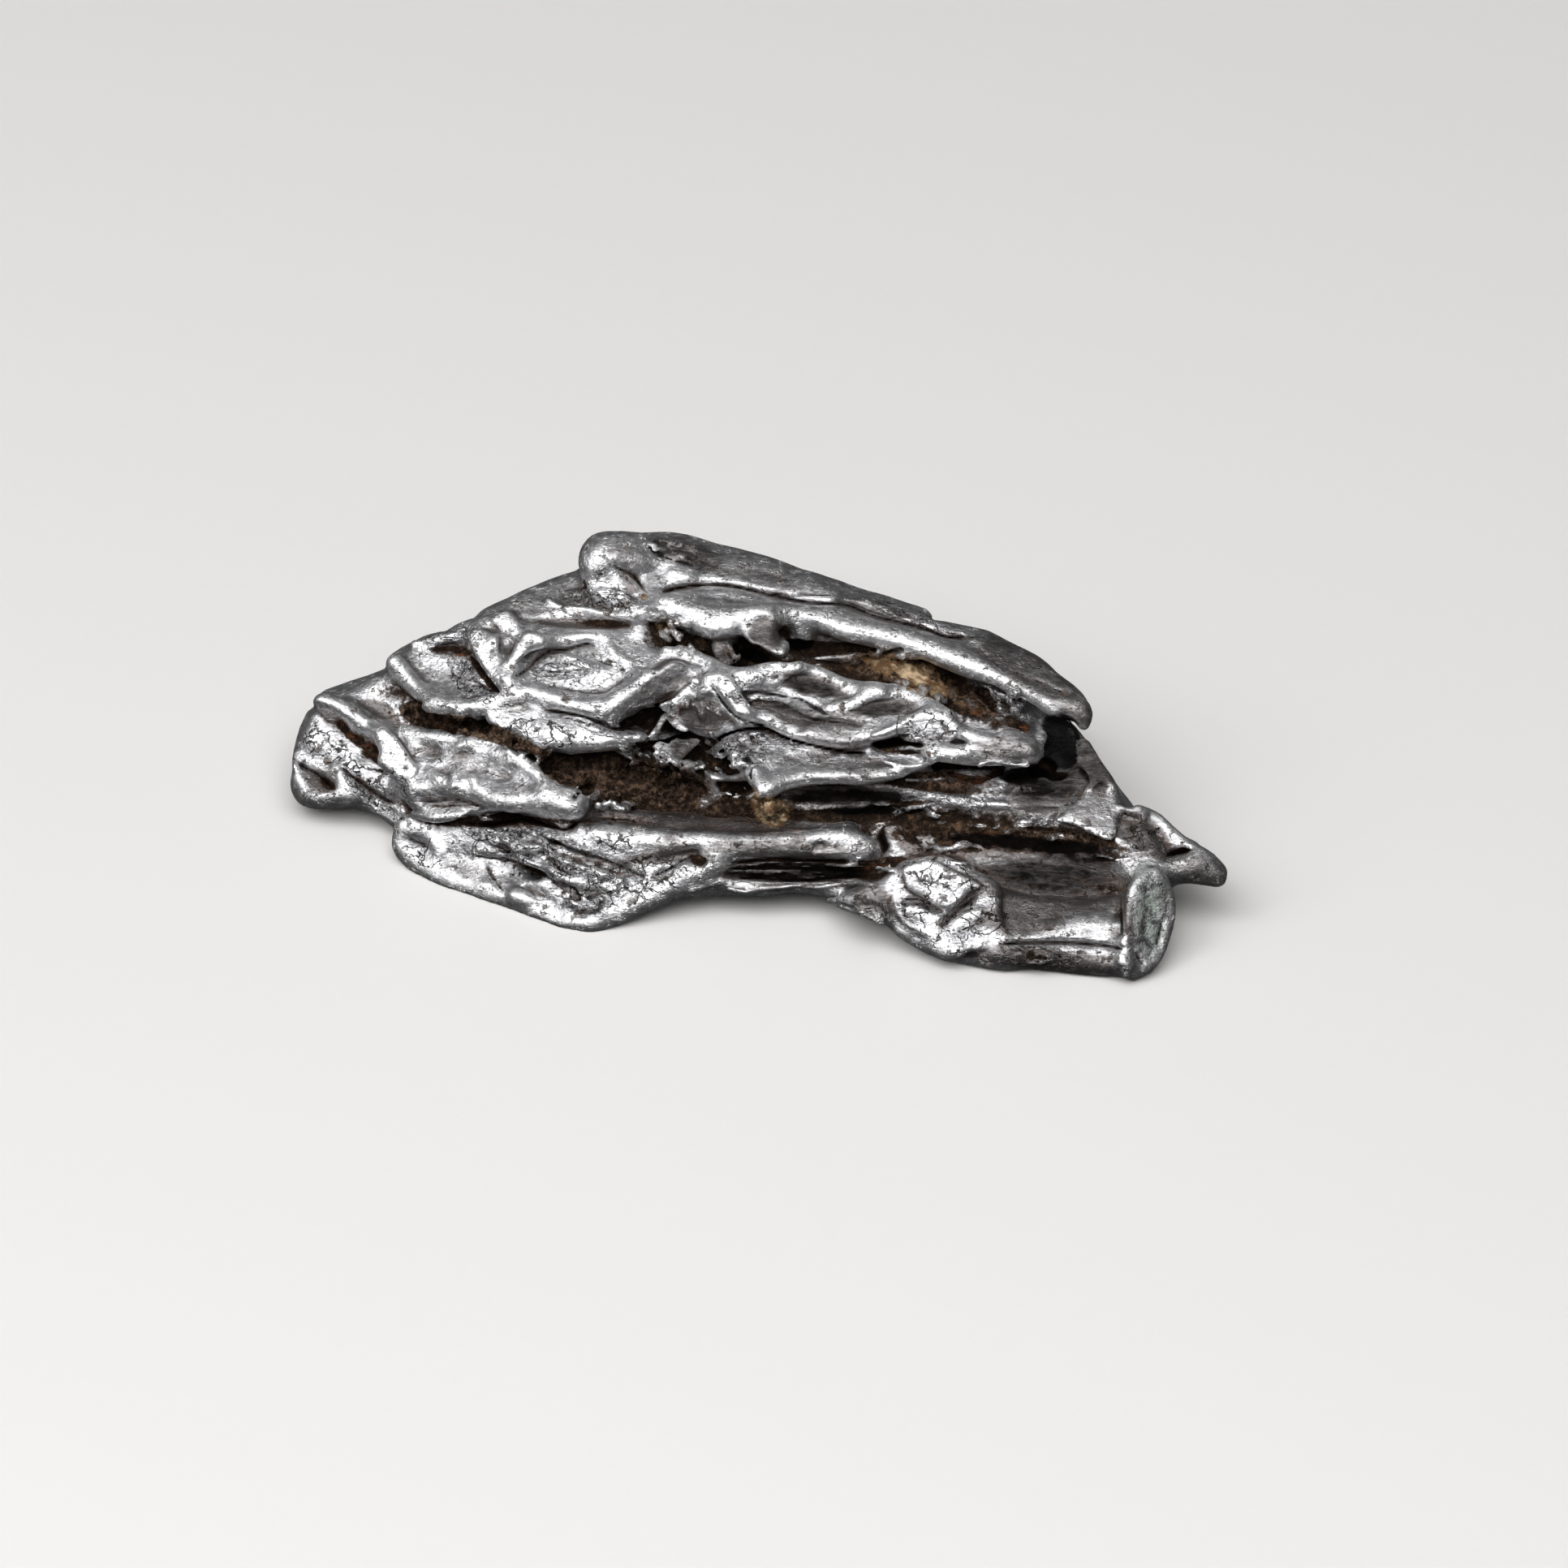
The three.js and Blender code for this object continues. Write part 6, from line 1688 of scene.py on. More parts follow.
@dataclass(frozen=True)
class FlakyBlock(Region):
    """The bright cracked block right of the undercut, split by flat grey channels."""

    slabs: tuple[Slab, ...] = (
        Slab(((6.8, -5.6), (8.0, -4.95), (9.0, -4.8), (10.2, -5.4), (11.3, -6.2), (11.9, -7.2),
              (12.2, -8.2), (11.6, -9.1), (10.4, -9.5), (9.2, -9.3), (8.0, -8.7), (7.0, -8.1),
              (6.6, -7.2), (6.6, -6.3)), (9.0, -6.6, 2.35), (0.06, -0.4), 1.2, 0.25, 0.3, True),
        Slab(((7.05, -5.4), (7.8, -5.1), (8.5, -4.98), (9.7, -5.6), (11.0, -6.25), (10.4, -6.5),
              (9.9, -7.0), (9.3, -7.35), (8.6, -7.2), (7.9, -6.75), (7.3, -6.4), (7.15, -6.0)),
             (9.0, -6.1, 2.75), (0.03, -0.1), 0.8, 0.03, 0.08),
        Slab(((7.0, -7.3), (7.6, -7.15), (8.3, -7.45), (9.0, -7.75), (8.6, -8.2), (7.9, -8.05),
              (7.2, -7.75)), (8.0, -7.6, 2.95), (0.04, -0.08), 0.8, 0.03, 0.08),
        Slab(((9.15, -8.35), (9.6, -7.8), (10.2, -7.45), (11.0, -7.35), (11.1, -7.7), (10.3, -8.1),
              (9.6, -8.5)), (10.0, -7.9, 3.05), (0.04, -0.08), 0.8, 0.03, 0.08),
        Slab(((9.7, -9.1), (10.1, -8.65), (10.9, -8.25), (11.6, -7.95), (12.1, -8.0), (12.0, -8.5),
              (11.3, -9.1), (10.4, -9.5)), (11.0, -8.6, 3.15), (0.04, -0.12), 0.8, 0.03, 0.1),
        Slab(((11.1, -6.7), (11.5, -6.6), (11.8, -7.2), (11.9, -7.7), (11.5, -7.6), (11.2, -7.2)),
             (11.5, -7.2, 2.7), (0.3, -0.1), 0.8, 0.03, 0.08),
        Slab(((4.6, -7.2), (5.6, -7.1), (6.2, -7.4), (6.1, -8.0), (5.2, -7.7)), (5.5, -7.4, 2.6),
             (0.05, -0.3), 0.7, 0.1, 0.08),
    )
    rolls: tuple[Roll, ...] = (
        Roll(((3.9, -7.25), (5.0, -7.65), (6.1, -8.15)), (0.1, 0.14, 0.12), 0.1, 0.12),
        Roll(((6.9, -8.45), (7.6, -8.8), (8.4, -9.15), (9.2, -9.5), (9.8, -9.45)),
             (0.28, 0.34, 0.38, 0.42, 0.34), 0.2, 0.3),
        Roll(((6.35, -7.05), (6.55, -7.4), (6.65, -7.7)), 0.14, 0.18, 0.08),
        Roll(((9.1, -4.9), (9.6, -5.1), (10.2, -5.15)), 0.08, 0.12, 0.08),
    )
    strokes: tuple[Stroke, ...] = (
        Stroke(((6.2, -6.6), (6.15, -7.2), (6.5, -8.0)), 0.12, -0.2),
        Stroke(((10.8, -6.6), (10.1, -7.2), (9.4, -7.75), (8.9, -8.4)), 0.28),
        Stroke(((6.9, -6.9), (7.9, -6.95), (8.6, -7.35), (9.2, -7.6)), 0.1),
        Stroke(((9.4, -8.7), (10.0, -8.4), (10.9, -8.0), (11.3, -7.7)), 0.08, -0.25),
    )
    textures: tuple[Texture, ...] = (
        Texture(Grain.FLAKES, (5.4, -7.4), (1.0, 0.5), -20.0, (0.4, 0.2), 0.06, 114),
    )
    spots: tuple[Spot, ...] = (
        Spot(Stain.CRACKS, (8.9, -6.0), (2.4, 1.6), -20.0, 0.5),
        Spot(Stain.CRACKS, (10.4, -8.2), (2.4, 1.4), 25.0, 0.5),
        Spot(Stain.CRACKS, (8.0, -7.6), (1.3, 0.7), -20.0),
        Spot(Stain.FILM, (10.0, -6.9), (1.0, 0.3), 45.0, 0.6),
        Spot(Stain.FILM, (9.0, -7.9), (0.9, 0.25), 70.0, 0.6),
        Spot(Stain.FILM, (5.5, -6.9), (1.3, 0.9), -25.0, 0.9),
        Spot(Stain.SOIL, (7.7, -8.3), (1.3, 0.25), -28.0, 0.8),
        Spot(Stain.RUST, (7.8, -4.9), (1.6, 0.25), 5.0, 0.8),
        Spot(Stain.SOIL, (6.3, -5.2), (1.2, 0.4), 0.0, 0.8),
    )


@dataclass(frozen=True)
class RightFoot(Region):
    """The lower right: a smooth log, the slab under it, the lens-shaped end and a finger."""

    slabs: tuple[Slab, ...] = (
        Slab(((12.1, -6.6), (13.6, -6.6), (15.6, -6.7), (17.6, -6.8), (17.7, -8.0), (17.4, -8.9),
              (13.8, -8.9), (12.4, -8.8), (12.0, -7.9)), (14.0, -7.8, 2.55), (0.02, -0.7), 0.9, 0.4, 0.35,
             True),
    )
    rolls: tuple[Roll, ...] = (
        Roll(((14.4, -8.4), (15.6, -8.3), (16.8, -8.3), (17.5, -8.35)), (0.3, 0.5, 0.55, 0.45), 0.06, 0.6),
        Roll(((13.2, -9.95), (14.0, -10.0), (14.4, -9.6)), 0.12, 0.2, 0.1),
        Roll(((11.6, -9.6), (12.3, -9.45), (12.8, -9.7)), (0.25, 0.35, 0.2), 0.09, 0.45),
        Roll(((15.0, -9.7), (16.2, -9.9), (17.4, -10.2)), (0.3, 0.34, 0.3), 0.06, 0.45),
        Roll(((17.8, -10.0), (18.1, -10.2), (18.0, -10.6)), 0.2, 0.15, 0.12),
        Roll(((19.45, -5.5), (20.15, -6.5), (20.2, -7.6), (19.95, -8.8), (19.5, -9.8), (18.9, -10.3)),
             (0.12, 0.18, 0.2, 0.2, 0.2, 0.15), 0.02),
        Roll(((20.0, -5.4), (20.8, -5.35), (21.5, -5.35), (22.1, -5.6), (22.5, -5.85)),
             (0.5, 0.75, 0.8, 0.66, 0.5), 0.07, 0.55),
    )
    caves: tuple[Cave, ...] = (
        Cave(((11.2, -5.3), (12.6, -5.7), (14.5, -5.9), (16.5, -6.0), (17.4, -6.0)),
             (0.4, 0.8, 1.0, 1.0, 0.7), 0.35, 0.5),
    )
    dishes: tuple[Dish, ...] = (
        Dish((19.1, -7.8), (1.6, 0.45), 0.2, -88.0),
    )
    strokes: tuple[Stroke, ...] = (
        Stroke(((11.8, -9.1), (13.6, -9.05), (15.4, -9.05), (17.0, -9.2), (18.1, -9.4)), 0.14, -0.35),
        Stroke(((19.75, -7.8), (19.65, -8.4), (19.5, -9.0), (19.6, -9.5)), 0.12, -0.35),
        Stroke(((18.25, -7.9), (18.45, -8.1)), 0.12, -0.25),
        Stroke(((16.0, -6.8), (16.5, -6.65), (17.0, -6.5)), 0.08, 0.12),
        Stroke(((17.2, -6.5), (17.8, -6.7)), 0.1, 0.15),
        Stroke(((18.3, -9.2), (18.6, -9.9), (19.0, -10.3)), 0.14, -0.2),
        Stroke(((17.75, -7.2), (17.8, -8.0), (17.85, -8.9)), 0.12, -0.2),
        Stroke(((19.9, -4.85), (20.7, -4.6), (21.4, -4.45)), 0.25, -0.5),
    )
    textures: tuple[Texture, ...] = (
        Texture(Grain.STRIAE, (14.6, -7.6), (3.8, 1.0), -2.0, (1.8, 0.18), 0.06, 121),
        Texture(Grain.STRIAE, (14.8, -6.4), (3.6, 1.4), -8.0, (1.5, 0.18), 0.1, 122),
        Texture(Grain.FLAKES, (13.6, -9.7), (1.8, 0.6), -5.0, (0.4, 0.25), 0.12, 123),
        Texture(Grain.STRIAE, (16.0, -10.0), (2.4, 0.6), -8.0, (1.2, 0.2), 0.05, 124),
        Texture(Grain.STRIAE, (19.1, -7.8), (2.2, 0.8), -85.0, (1.0, 0.25), 0.06, 125),
        Texture(Grain.HAMMERED, (21.4, -5.3), (1.6, 0.8), 0.0, (0.7, 0.6), 0.05, 126),
    )
    spots: tuple[Spot, ...] = (
        Spot(Stain.PATINA, (19.1, -7.6), (2.6, 0.8), -86.0),
        Spot(Stain.FILM, (19.2, -7.9), (2.9, 1.3), -86.0, 0.5),
        Spot(Stain.FILM, (14.4, -6.2), (4.2, 1.6), -4.0),
        Spot(Stain.FILM, (13.1, -7.8), (2.7, 1.1), 0.0, 0.9),
        Spot(Stain.FILM, (16.6, -8.2), (1.3, 0.8), 0.0, 0.35),
        Spot(Stain.FILM, (13.5, -4.9), (4.8, 0.45), -6.0),
        Spot(Stain.FILM, (18.1, -7.8), (1.9, 0.3), -84.0, 0.9),
        Spot(Stain.FILM, (14.2, -9.9), (4.6, 0.7), -6.0),
        Spot(Stain.SOOT, (13.6, -9.6), (2.4, 0.4), -4.0, 0.35),
        Spot(Stain.FILM, (21.6, -5.5), (1.7, 1.0), -15.0, 0.75),
        Spot(Stain.RUST, (15.4, -6.9), (1.2, 0.4), -60.0, 0.55),
        Spot(Stain.SOOT, (14.2, -5.8), (3.6, 1.0), -6.0, 0.56),
        Spot(Stain.SOIL, (20.7, -4.55), (0.9, 0.2), 10.0, 0.9),
        Spot(Stain.SOIL, (13.6, -9.6), (1.4, 0.35), 0.0, 0.8),
    )


@dataclass(frozen=True)
class RightPlates(Region):
    """The right plate with its grey triangle, the ragged bits and the dark channel below."""

    slabs: tuple[Slab, ...] = (
        Slab(((12.2, -1.0), (13.4, -0.6), (14.8, -0.4), (15.8, -0.4), (16.3, -1.0), (15.8, -1.8),
              (15.0, -2.4), (14.0, -2.75), (13.2, -2.6), (12.3, -2.3)), (14.0, -1.6, -0.45), (0.12, -0.85),
             0.8, 0.3, 0.1, True),
        Slab(((14.6, -3.0), (15.4, -2.4), (16.2, -1.7), (16.7, -1.1), (17.2, -1.1), (17.5, -1.6),
              (17.6, -2.6), (17.6, -3.4), (17.3, -4.0), (16.4, -3.7), (15.5, -3.25)), (16.5, -2.6, 0.75),
             (-0.03, -0.6), 0.8, 0.05, 0.06, True),
        Slab(((17.7, -3.3), (18.3, -3.1), (18.8, -3.3), (18.8, -4.2), (18.2, -4.4), (17.5, -4.1)),
             (18.2, -3.8, 0.9), (0.05, -0.4), 0.8, 0.06, 0.08),
        Slab(((19.0, -3.0), (19.6, -2.9), (20.3, -3.5), (20.9, -4.2), (20.3, -4.3), (19.6, -3.8),
              (19.1, -3.6)), (19.9, -3.6, 0.6), (-0.2, -0.5), 0.8, 0.06, 0.08),
        Slab(((19.0, -3.8), (19.6, -3.9), (19.9, -4.3), (19.7, -4.75), (19.2, -4.6), (18.95, -4.2)),
             (19.4, -4.3, 1.0), (0.1, -0.2), 0.8, 0.06, 0.08),
    )
    rolls: tuple[Roll, ...] = (
        Roll(((12.7, -2.75), (13.3, -2.8), (13.7, -2.95)), (0.1, 0.14, 0.1), 0.1, 0.12),
        Roll(((14.0, -3.1), (14.4, -3.0)), (0.14, 0.1), 0.15, 0.12),
        Roll(((16.1, 0.7), (16.5, 0.0), (17.0, -0.8), (17.3, -1.3)), (0.2, 0.22, 0.18, 0.1), 0.0, 0.55),
        Roll(((8.8, -1.9), (9.4, -2.0), (10.2, -2.15)), (0.26, 0.32, 0.2), 0.2, 0.12),
        Roll(((10.7, -2.25), (11.4, -2.25), (12.1, -2.3)), (0.18, 0.22, 0.2), 0.25, 0.1),
        Roll(((7.2, -1.05), (8.1, -1.05), (9.0, -1.0)), 0.08, 0.12, 0.1),
        Roll(((7.5, -2.35), (8.1, -2.3)), 0.12, 0.2, 0.1),
        Roll(((12.4, -1.6), (13.0, -1.5), (13.6, -1.6)), (0.15, 0.18, 0.1), 0.2, 0.12),
        Roll(((17.8, -2.45), (18.4, -2.65), (18.9, -2.9)), 0.15, 0.2, 0.12),
        Roll(((18.7, -2.5), (19.4, -2.8), (20.1, -3.4), (20.8, -4.0), (21.2, -4.4)), 0.2, 0.03, 0.55),
        Roll(((17.6, -4.0), (18.2, -4.3), (18.6, -4.3)), (0.16, 0.22, 0.18), 0.15, 0.12),
        Roll(((6.2, -3.5), (6.9, -3.4), (7.5, -3.65)), (0.08, 0.1, 0.06), 0.05, 0.08),
        Roll(((7.6, -3.75), (8.1, -4.1), (8.7, -4.45), (9.3, -4.4)), (0.08, 0.12, 0.14, 0.08), 0.2, 0.08),
        Roll(((9.5, -4.4), (10.1, -4.2), (10.9, -4.35)), (0.1, 0.16, 0.08), 0.2, 0.08),
        Roll(((11.0, -4.4), (11.8, -4.6), (12.4, -4.8), (12.7, -5.05), (13.3, -5.0), (13.7, -5.4),
              (14.4, -5.95), (15.2, -6.25), (15.8, -6.45)), (0.07, 0.08, 0.1, 0.08, 0.08, 0.09, 0.08,
                                                             0.07, 0.06), 0.14, 0.06),
        Roll(((15.7, -4.75), (15.8, -5.0), (16.4, -5.1)), 0.09, 0.2, 0.08),
        Roll(((16.6, -4.8), (17.1, -4.85), (17.5, -5.0), (18.3, -4.9)), 0.08, 0.2, 0.08),
        Roll(((8.6, -2.9), (9.4, -2.75), (10.2, -2.95)), 0.1, 0.2, 0.1),
    )
    caves: tuple[Cave, ...] = (
        Cave(((9.4, -0.7), (10.6, -0.9), (11.8, -0.7)), (0.2, 0.35, 0.25), -0.05),
        Cave(((13.8, -4.3), (15.0, -4.25), (16.2, -4.3)), (0.25, 0.35, 0.3), -0.05),
        Cave(((14.8, 1.7), (15.0, 0.9), (14.9, 0.2), (14.5, -0.5)), (0.9, 1.15, 1.05, 0.8), -0.5, 0.3),
        Cave(((12.3, -0.75), (13.2, -0.6), (14.2, -0.4)), (0.35, 0.45, 0.5), -0.3),
        Cave(((17.9, -2.9), (18.5, -3.05)), (0.2, 0.22), 0.0, 0.12),
    )
    shards: tuple[Shards, ...] = (
        Shards((7.7, -4.0), (1.4, 0.5), -25.0, 26, 0.4, 0.09, 81),
        Shards((14.0, -1.4), (1.8, 0.7), 8.0, 20, 0.7, 0.06, 82, True),
        Shards((9.5, -3.2), (3.6, 0.5), 0.0, 30, 0.6, 0.08, 83, True),
    )
    dishes: tuple[Dish, ...] = (
        Dish((12.0, -4.0), (2.2, 0.4), 0.3, -8.0),
    )
    strokes: tuple[Stroke, ...] = (
        Stroke(((6.15, -3.4), (6.0, -3.9), (6.2, -4.3), (6.0, -4.8)), 0.28, -0.45),
        Stroke(((18.7, -3.6), (18.7, -4.0), (18.85, -4.4)), 0.1),
        Stroke(((13.2, -2.3), (14.6, -2.4), (15.8, -2.1)), 0.1, -0.15),
        Stroke(((6.8, -2.0), (7.8, -1.98), (8.6, -1.9)), 0.08, 0.12),
        Stroke(((12.8, -3.4), (14.4, -3.5), (16.0, -3.8)), 0.12, -0.2),
    )
    textures: tuple[Texture, ...] = (
        Texture(Grain.STRIAE, (14.2, -1.4), (2.4, 1.1), 6.0, (1.2, 0.18), 0.12, 131),
        Texture(Grain.FLAKES, (8.2, -2.4), (3.0, 0.9), 0.0, (0.6, 0.18), 0.14, 132),
        Texture(Grain.FLAKES, (12.0, -3.6), (4.6, 0.8), -4.0, (0.8, 0.2), 0.14, 133),
        Texture(Grain.HAMMERED, (19.0, -3.6), (1.8, 1.0), -35.0, (0.6, 0.35), 0.05, 134),
    )
    spots: tuple[Spot, ...] = (
        Spot(Stain.SOIL, (8.6, -1.2), (3.0, 0.6), -8.0, 0.9),
        Spot(Stain.RUST, (10.6, -0.95), (1.5, 0.6), -10.0, 0.9),
        Spot(Stain.SOOT, (14.9, 0.9), (1.2, 1.7), 8.0),
        Spot(Stain.SOOT, (13.0, -0.8), (1.4, 0.45), 5.0),
        Spot(Stain.FILM, (14.2, -1.5), (2.3, 1.2), 8.0),
        Spot(Stain.SOOT, (14.2, -1.4), (2.0, 0.8), 8.0, 0.64),
        Spot(Stain.FILM, (16.4, -2.4), (1.7, 1.4), 50.0, 0.55),
        Spot(Stain.FILM, (13.6, -2.5), (1.6, 0.4), -5.0),
        Spot(Stain.FILM, (15.4, -4.7), (2.4, 0.4), -3.0),
        Spot(Stain.SOOT, (15.4, -4.8), (2.4, 0.3), -3.0, 0.8),
        Spot(Stain.SOOT, (4.6, -1.9), (3.8, 0.35), 0.0, 0.9),
        Spot(Stain.SOOT, (13.6, -2.5), (1.2, 0.2), -5.0, 0.6),
        Spot(Stain.CRACKS, (19.0, -3.7), (1.8, 1.0), -35.0, 0.5),
        Spot(Stain.FILM, (7.6, -4.0), (1.9, 0.7), -22.0, 0.9),
        Spot(Stain.FILM, (16.5, -0.3), (1.2, 1.7), 25.0),
        Spot(Stain.SOOT, (16.3, -0.2), (0.9, 1.6), 25.0, 0.64),
        Spot(Stain.SOIL, (16.3, -0.5), (0.7, 1.2), 25.0, 0.45),
        Spot(Stain.FILM, (12.2, 0.5), (2.2, 0.8), 0.0, 0.72),
        Spot(Stain.FILM, (19.0, -3.8), (2.0, 1.0), -40.0),
        Spot(Stain.SOOT, (18.4, -4.0), (1.2, 0.7), -30.0, 0.3),
        Spot(Stain.SOIL, (13.8, -0.9), (1.8, 0.5), 5.0, 0.5),
        Spot(Stain.SOOT, (13.2, -4.2), (5.2, 0.45), -5.0, 0.75),
        Spot(Stain.SOOT, (5.6, -2.5), (3.0, 0.3), 0.0, 0.8),
        Spot(Stain.SOOT, (12.9, -0.9), (1.2, 0.4), 0.0, 0.8),
        Spot(Stain.SOIL, (9.0, -2.8), (4.4, 0.5), 0.0, 0.7),
        Spot(Stain.SOIL, (12.2, -3.9), (6.8, 0.9), -4.0),
        Spot(Stain.SOIL, (15.6, -4.7), (3.2, 0.5), -6.0, 0.8),
        Spot(Stain.RUST, (11.4, -3.7), (0.7, 0.3), 0.0, 0.8),
        Spot(Stain.RUST, (8.4, -4.8), (2.2, 0.25), 0.0, 0.7),
        Spot(Stain.RUST, (16.6, -0.8), (0.3, 0.8), 20.0, 0.6),
        Spot(Stain.RUST, (18.3, -3.2), (0.7, 0.3), 0.0, 0.8),
        Spot(Stain.RUST, (20.3, -4.3), (0.6, 0.3), -10.0, 0.8),
        Spot(Stain.GRIT, (13.0, -4.1), (6.0, 0.7), -4.0, 0.6),
        Spot(Stain.GRIT, (9.4, -1.0), (2.0, 0.5), -8.0, 0.6),
    )


# ---- the back and the underside -----------------------------------------------------------


@dataclass(frozen=True)
class WornBack:
    """The worn back: broad lamellae with softer rims, a few cracks and pits.

    Attributes:
        rolls: Rims and swellings, in the back's axes.
        caves: Cracks and pits, in the back's axes.
    """

    rolls: tuple[Roll, ...] = (
        Roll(((-15.0, -1.0), (-10.0, -0.2), (-5.0, -0.8), (0.0, -0.2), (4.0, -1.2)), 0.5, 0.15, 0.5),
        Roll(((-8.0, 3.4), (-3.0, 3.0), (2.0, 3.6), (7.0, 2.4)), 0.5, 0.15, 0.5),
        Roll(((6.0, 0.6), (10.0, 1.2), (14.0, 0.2), (18.0, -0.6)), 0.45, 0.15, 0.5),
        Roll(((-18.0, -3.2), (-13.0, -3.6), (-8.0, -3.0)), 0.4, 0.12, 0.4),
        Roll(((3.0, -3.4), (8.0, -2.8), (13.0, -3.4)), 0.45, 0.12, 0.4),
    )
    caves: tuple[Cave, ...] = (
        Cave(((-14.0, 0.6), (-9.0, 1.0), (-4.0, 0.5)), 0.3, -0.05, 0.3),
        Cave(((1.0, 1.6), (5.0, 1.9), (9.0, 2.2)), 0.28, -0.05, 0.3),
        Cave(((-2.0, -2.2), (2.0, -2.4), (6.0, -1.8)), 0.28, -0.05, 0.3),
        Cave(((11.0, -1.4), (15.0, -1.8)), 0.3, -0.05, 0.3),
        Cave(((-6.0, 2.0),), 0.6, -0.2, 0.4),
        Cave(((12.5, 2.4),), 0.55, -0.2, 0.4),
    )

    def shape(self, iron: IronField) -> None:
        """Works the rims, cracks and pits into the field."""
        for solid in (*self.rolls, *self.caves):
            solid.work(iron, BACK)


# ---- the sculpted body --------------------------------------------------------------------


def vertex_places(mesh: bpy.types.Mesh) -> np.ndarray:
    """The places of a mesh's vertices in metres, one row each."""
    places = np.zeros(len(mesh.vertices) * 3, np.float32)
    mesh.vertices.foreach_get("co", places)
    return places.reshape(-1, 3)


@dataclass
class Meteorite:
    """The whole iron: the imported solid, worked region by region and skinned as one mesh.

    Attributes:
        voxel: The spacing of the distance field.
        softness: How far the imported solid's facets are rounded first.
        ripple: Height of the slow ripple on the torn face.
        wear: Height of the slow ripple on the back and the underside.
        crumbs: Height of the crumbly relief where there is grit.
        most_triangles: The most triangles that the mesh may keep.
        regions: The parts of the torn face.
        back: The worn back.
    """

    voxel: float = 0.1
    softness: float = 0.24
    ripple: float = 0.05
    wear: float = 0.16
    crumbs: float = 0.16
    most_triangles: int = 192000
    regions: tuple[Region, ...] = (
        Crest(), CrownPlate(), UpperCrevice(), LongLamella(), MiddleShelf(), LeftShelf(), BowlPlate(),
        Band(), LeftEnd(), HammeredSlab(), CrumblyRecess(), DarkLayers(), BottomPlate(), RightPlates(),
        FlakyBlock(), RightFoot(),
    )
    back: WornBack = field(default_factory=WornBack)

    # How far under the torn face relief and stains fade out, in millimetres.
    RELIEF_FADE = (1.1, 2.4)
    STAIN_FADE = (0.8, 1.8)
    ROUGH_DEPTH = 0.45
    LEAST_GRIT = 0.02
    # Widths of the coarse and fine marks of the ripple and of the crumbs, in millimetres, and their seeds.
    RIPPLE_WIDTHS = ((1.9, 1.1, 1.1), 0.7)
    RIPPLE_SEEDS = (201, 202)
    FINE_RIPPLE = 0.4
    CRUMB_WIDTHS = (0.55, 0.28)
    CRUMB_SEEDS = (203, 204)
    FINE_CRUMBS = 0.7
    PATCH_WIDTH = 0.8
    PATCH_SEED = 301
    THIN_LEVELS = 4
    THIN_STEP = 0.2
    NORMAL_BLUR = 0.085
    FORM_BLUR = 0.3
    FULL_HOLLOW = 0.1
    FULL_RIM = 0.12
    RIM_WEAR = 0.4

    def build(self, node: bpy.types.Object, box: tuple) -> bpy.types.Object:
        """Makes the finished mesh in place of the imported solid.

        Args:
            node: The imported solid's object.
            box: The lowest and highest corners that the mesh may fill, in metres.

        Returns:
            The new object.
        """
        iron = self.packed_field(node)
        iron.values = iron.softened(iron.values, self.softness)
        self.back.shape(iron)
        for region in self.regions:
            region.shape(iron)
        masks = {stain: FaceMap(iron) for stain in Stain}
        relief = FaceMap(iron)
        for region in self.regions:
            region.engrave(relief)
            region.stain(masks)
        front = self.front_share(iron)
        iron.values -= relief.values[:, :, None] * front
        self.roughen(iron, front, masks)
        self.trim(iron, box)
        piece = self.skinned(iron)
        self.settle(piece, box)
        self.mark(piece, iron, masks)
        return piece

    def packed_field(self, node: bpy.types.Object) -> IronField:
        """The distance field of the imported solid."""
        mesh = node.data
        mesh.calc_loop_triangles()
        triangles = np.zeros(len(mesh.loop_triangles) * 3, np.int32)
        mesh.loop_triangles.foreach_get("vertices", triangles)
        points = FACE.local(vertex_places(mesh).astype(float) / MM)
        return IronField.of_mesh(points, triangles.reshape(-1, 3), self.voxel)

    def front_share(self, iron: IronField) -> np.ndarray:
        """A grid that is 1 near the torn face and 0 at the back and the underside."""
        drop = iron.heights()[:, :, None] - iron.axis(2)[None, None, :]
        return (1.0 - smoothstep(*self.RELIEF_FADE, drop)).astype(np.float32)

    def roughen(self, iron: IronField, front: np.ndarray, masks: dict[Stain, FaceMap]) -> None:
        """Adds the slow ripple everywhere and the crumbly relief where there is grit.

        Args:
            iron: The field.
            front: The share of the torn face, as a grid.
            masks: The stains on the torn face.
        """
        flat = np.flatnonzero(np.abs(iron.values) < self.ROUGH_DEPTH)
        index = np.unravel_index(flat, iron.values.shape)
        places = np.stack([iron.axis(i)[index[i]] for i in range(3)], axis=1)
        share = front[index]
        slow, fast = noise_pair(places, self.RIPPLE_WIDTHS, self.RIPPLE_SEEDS)
        change = (slow + self.FINE_RIPPLE * fast) * (self.wear + (self.ripple - self.wear) * share)
        grit = masks[Stain.GRIT].values[index[0], index[1]] * share
        gritty = np.flatnonzero(grit > self.LEAST_GRIT)
        slow, fast = noise_pair(places[gritty], self.CRUMB_WIDTHS, self.CRUMB_SEEDS)
        change[gritty] += self.crumbs * grit[gritty] * (slow + self.FINE_CRUMBS * fast)
        iron.values.reshape(-1)[flat] -= change

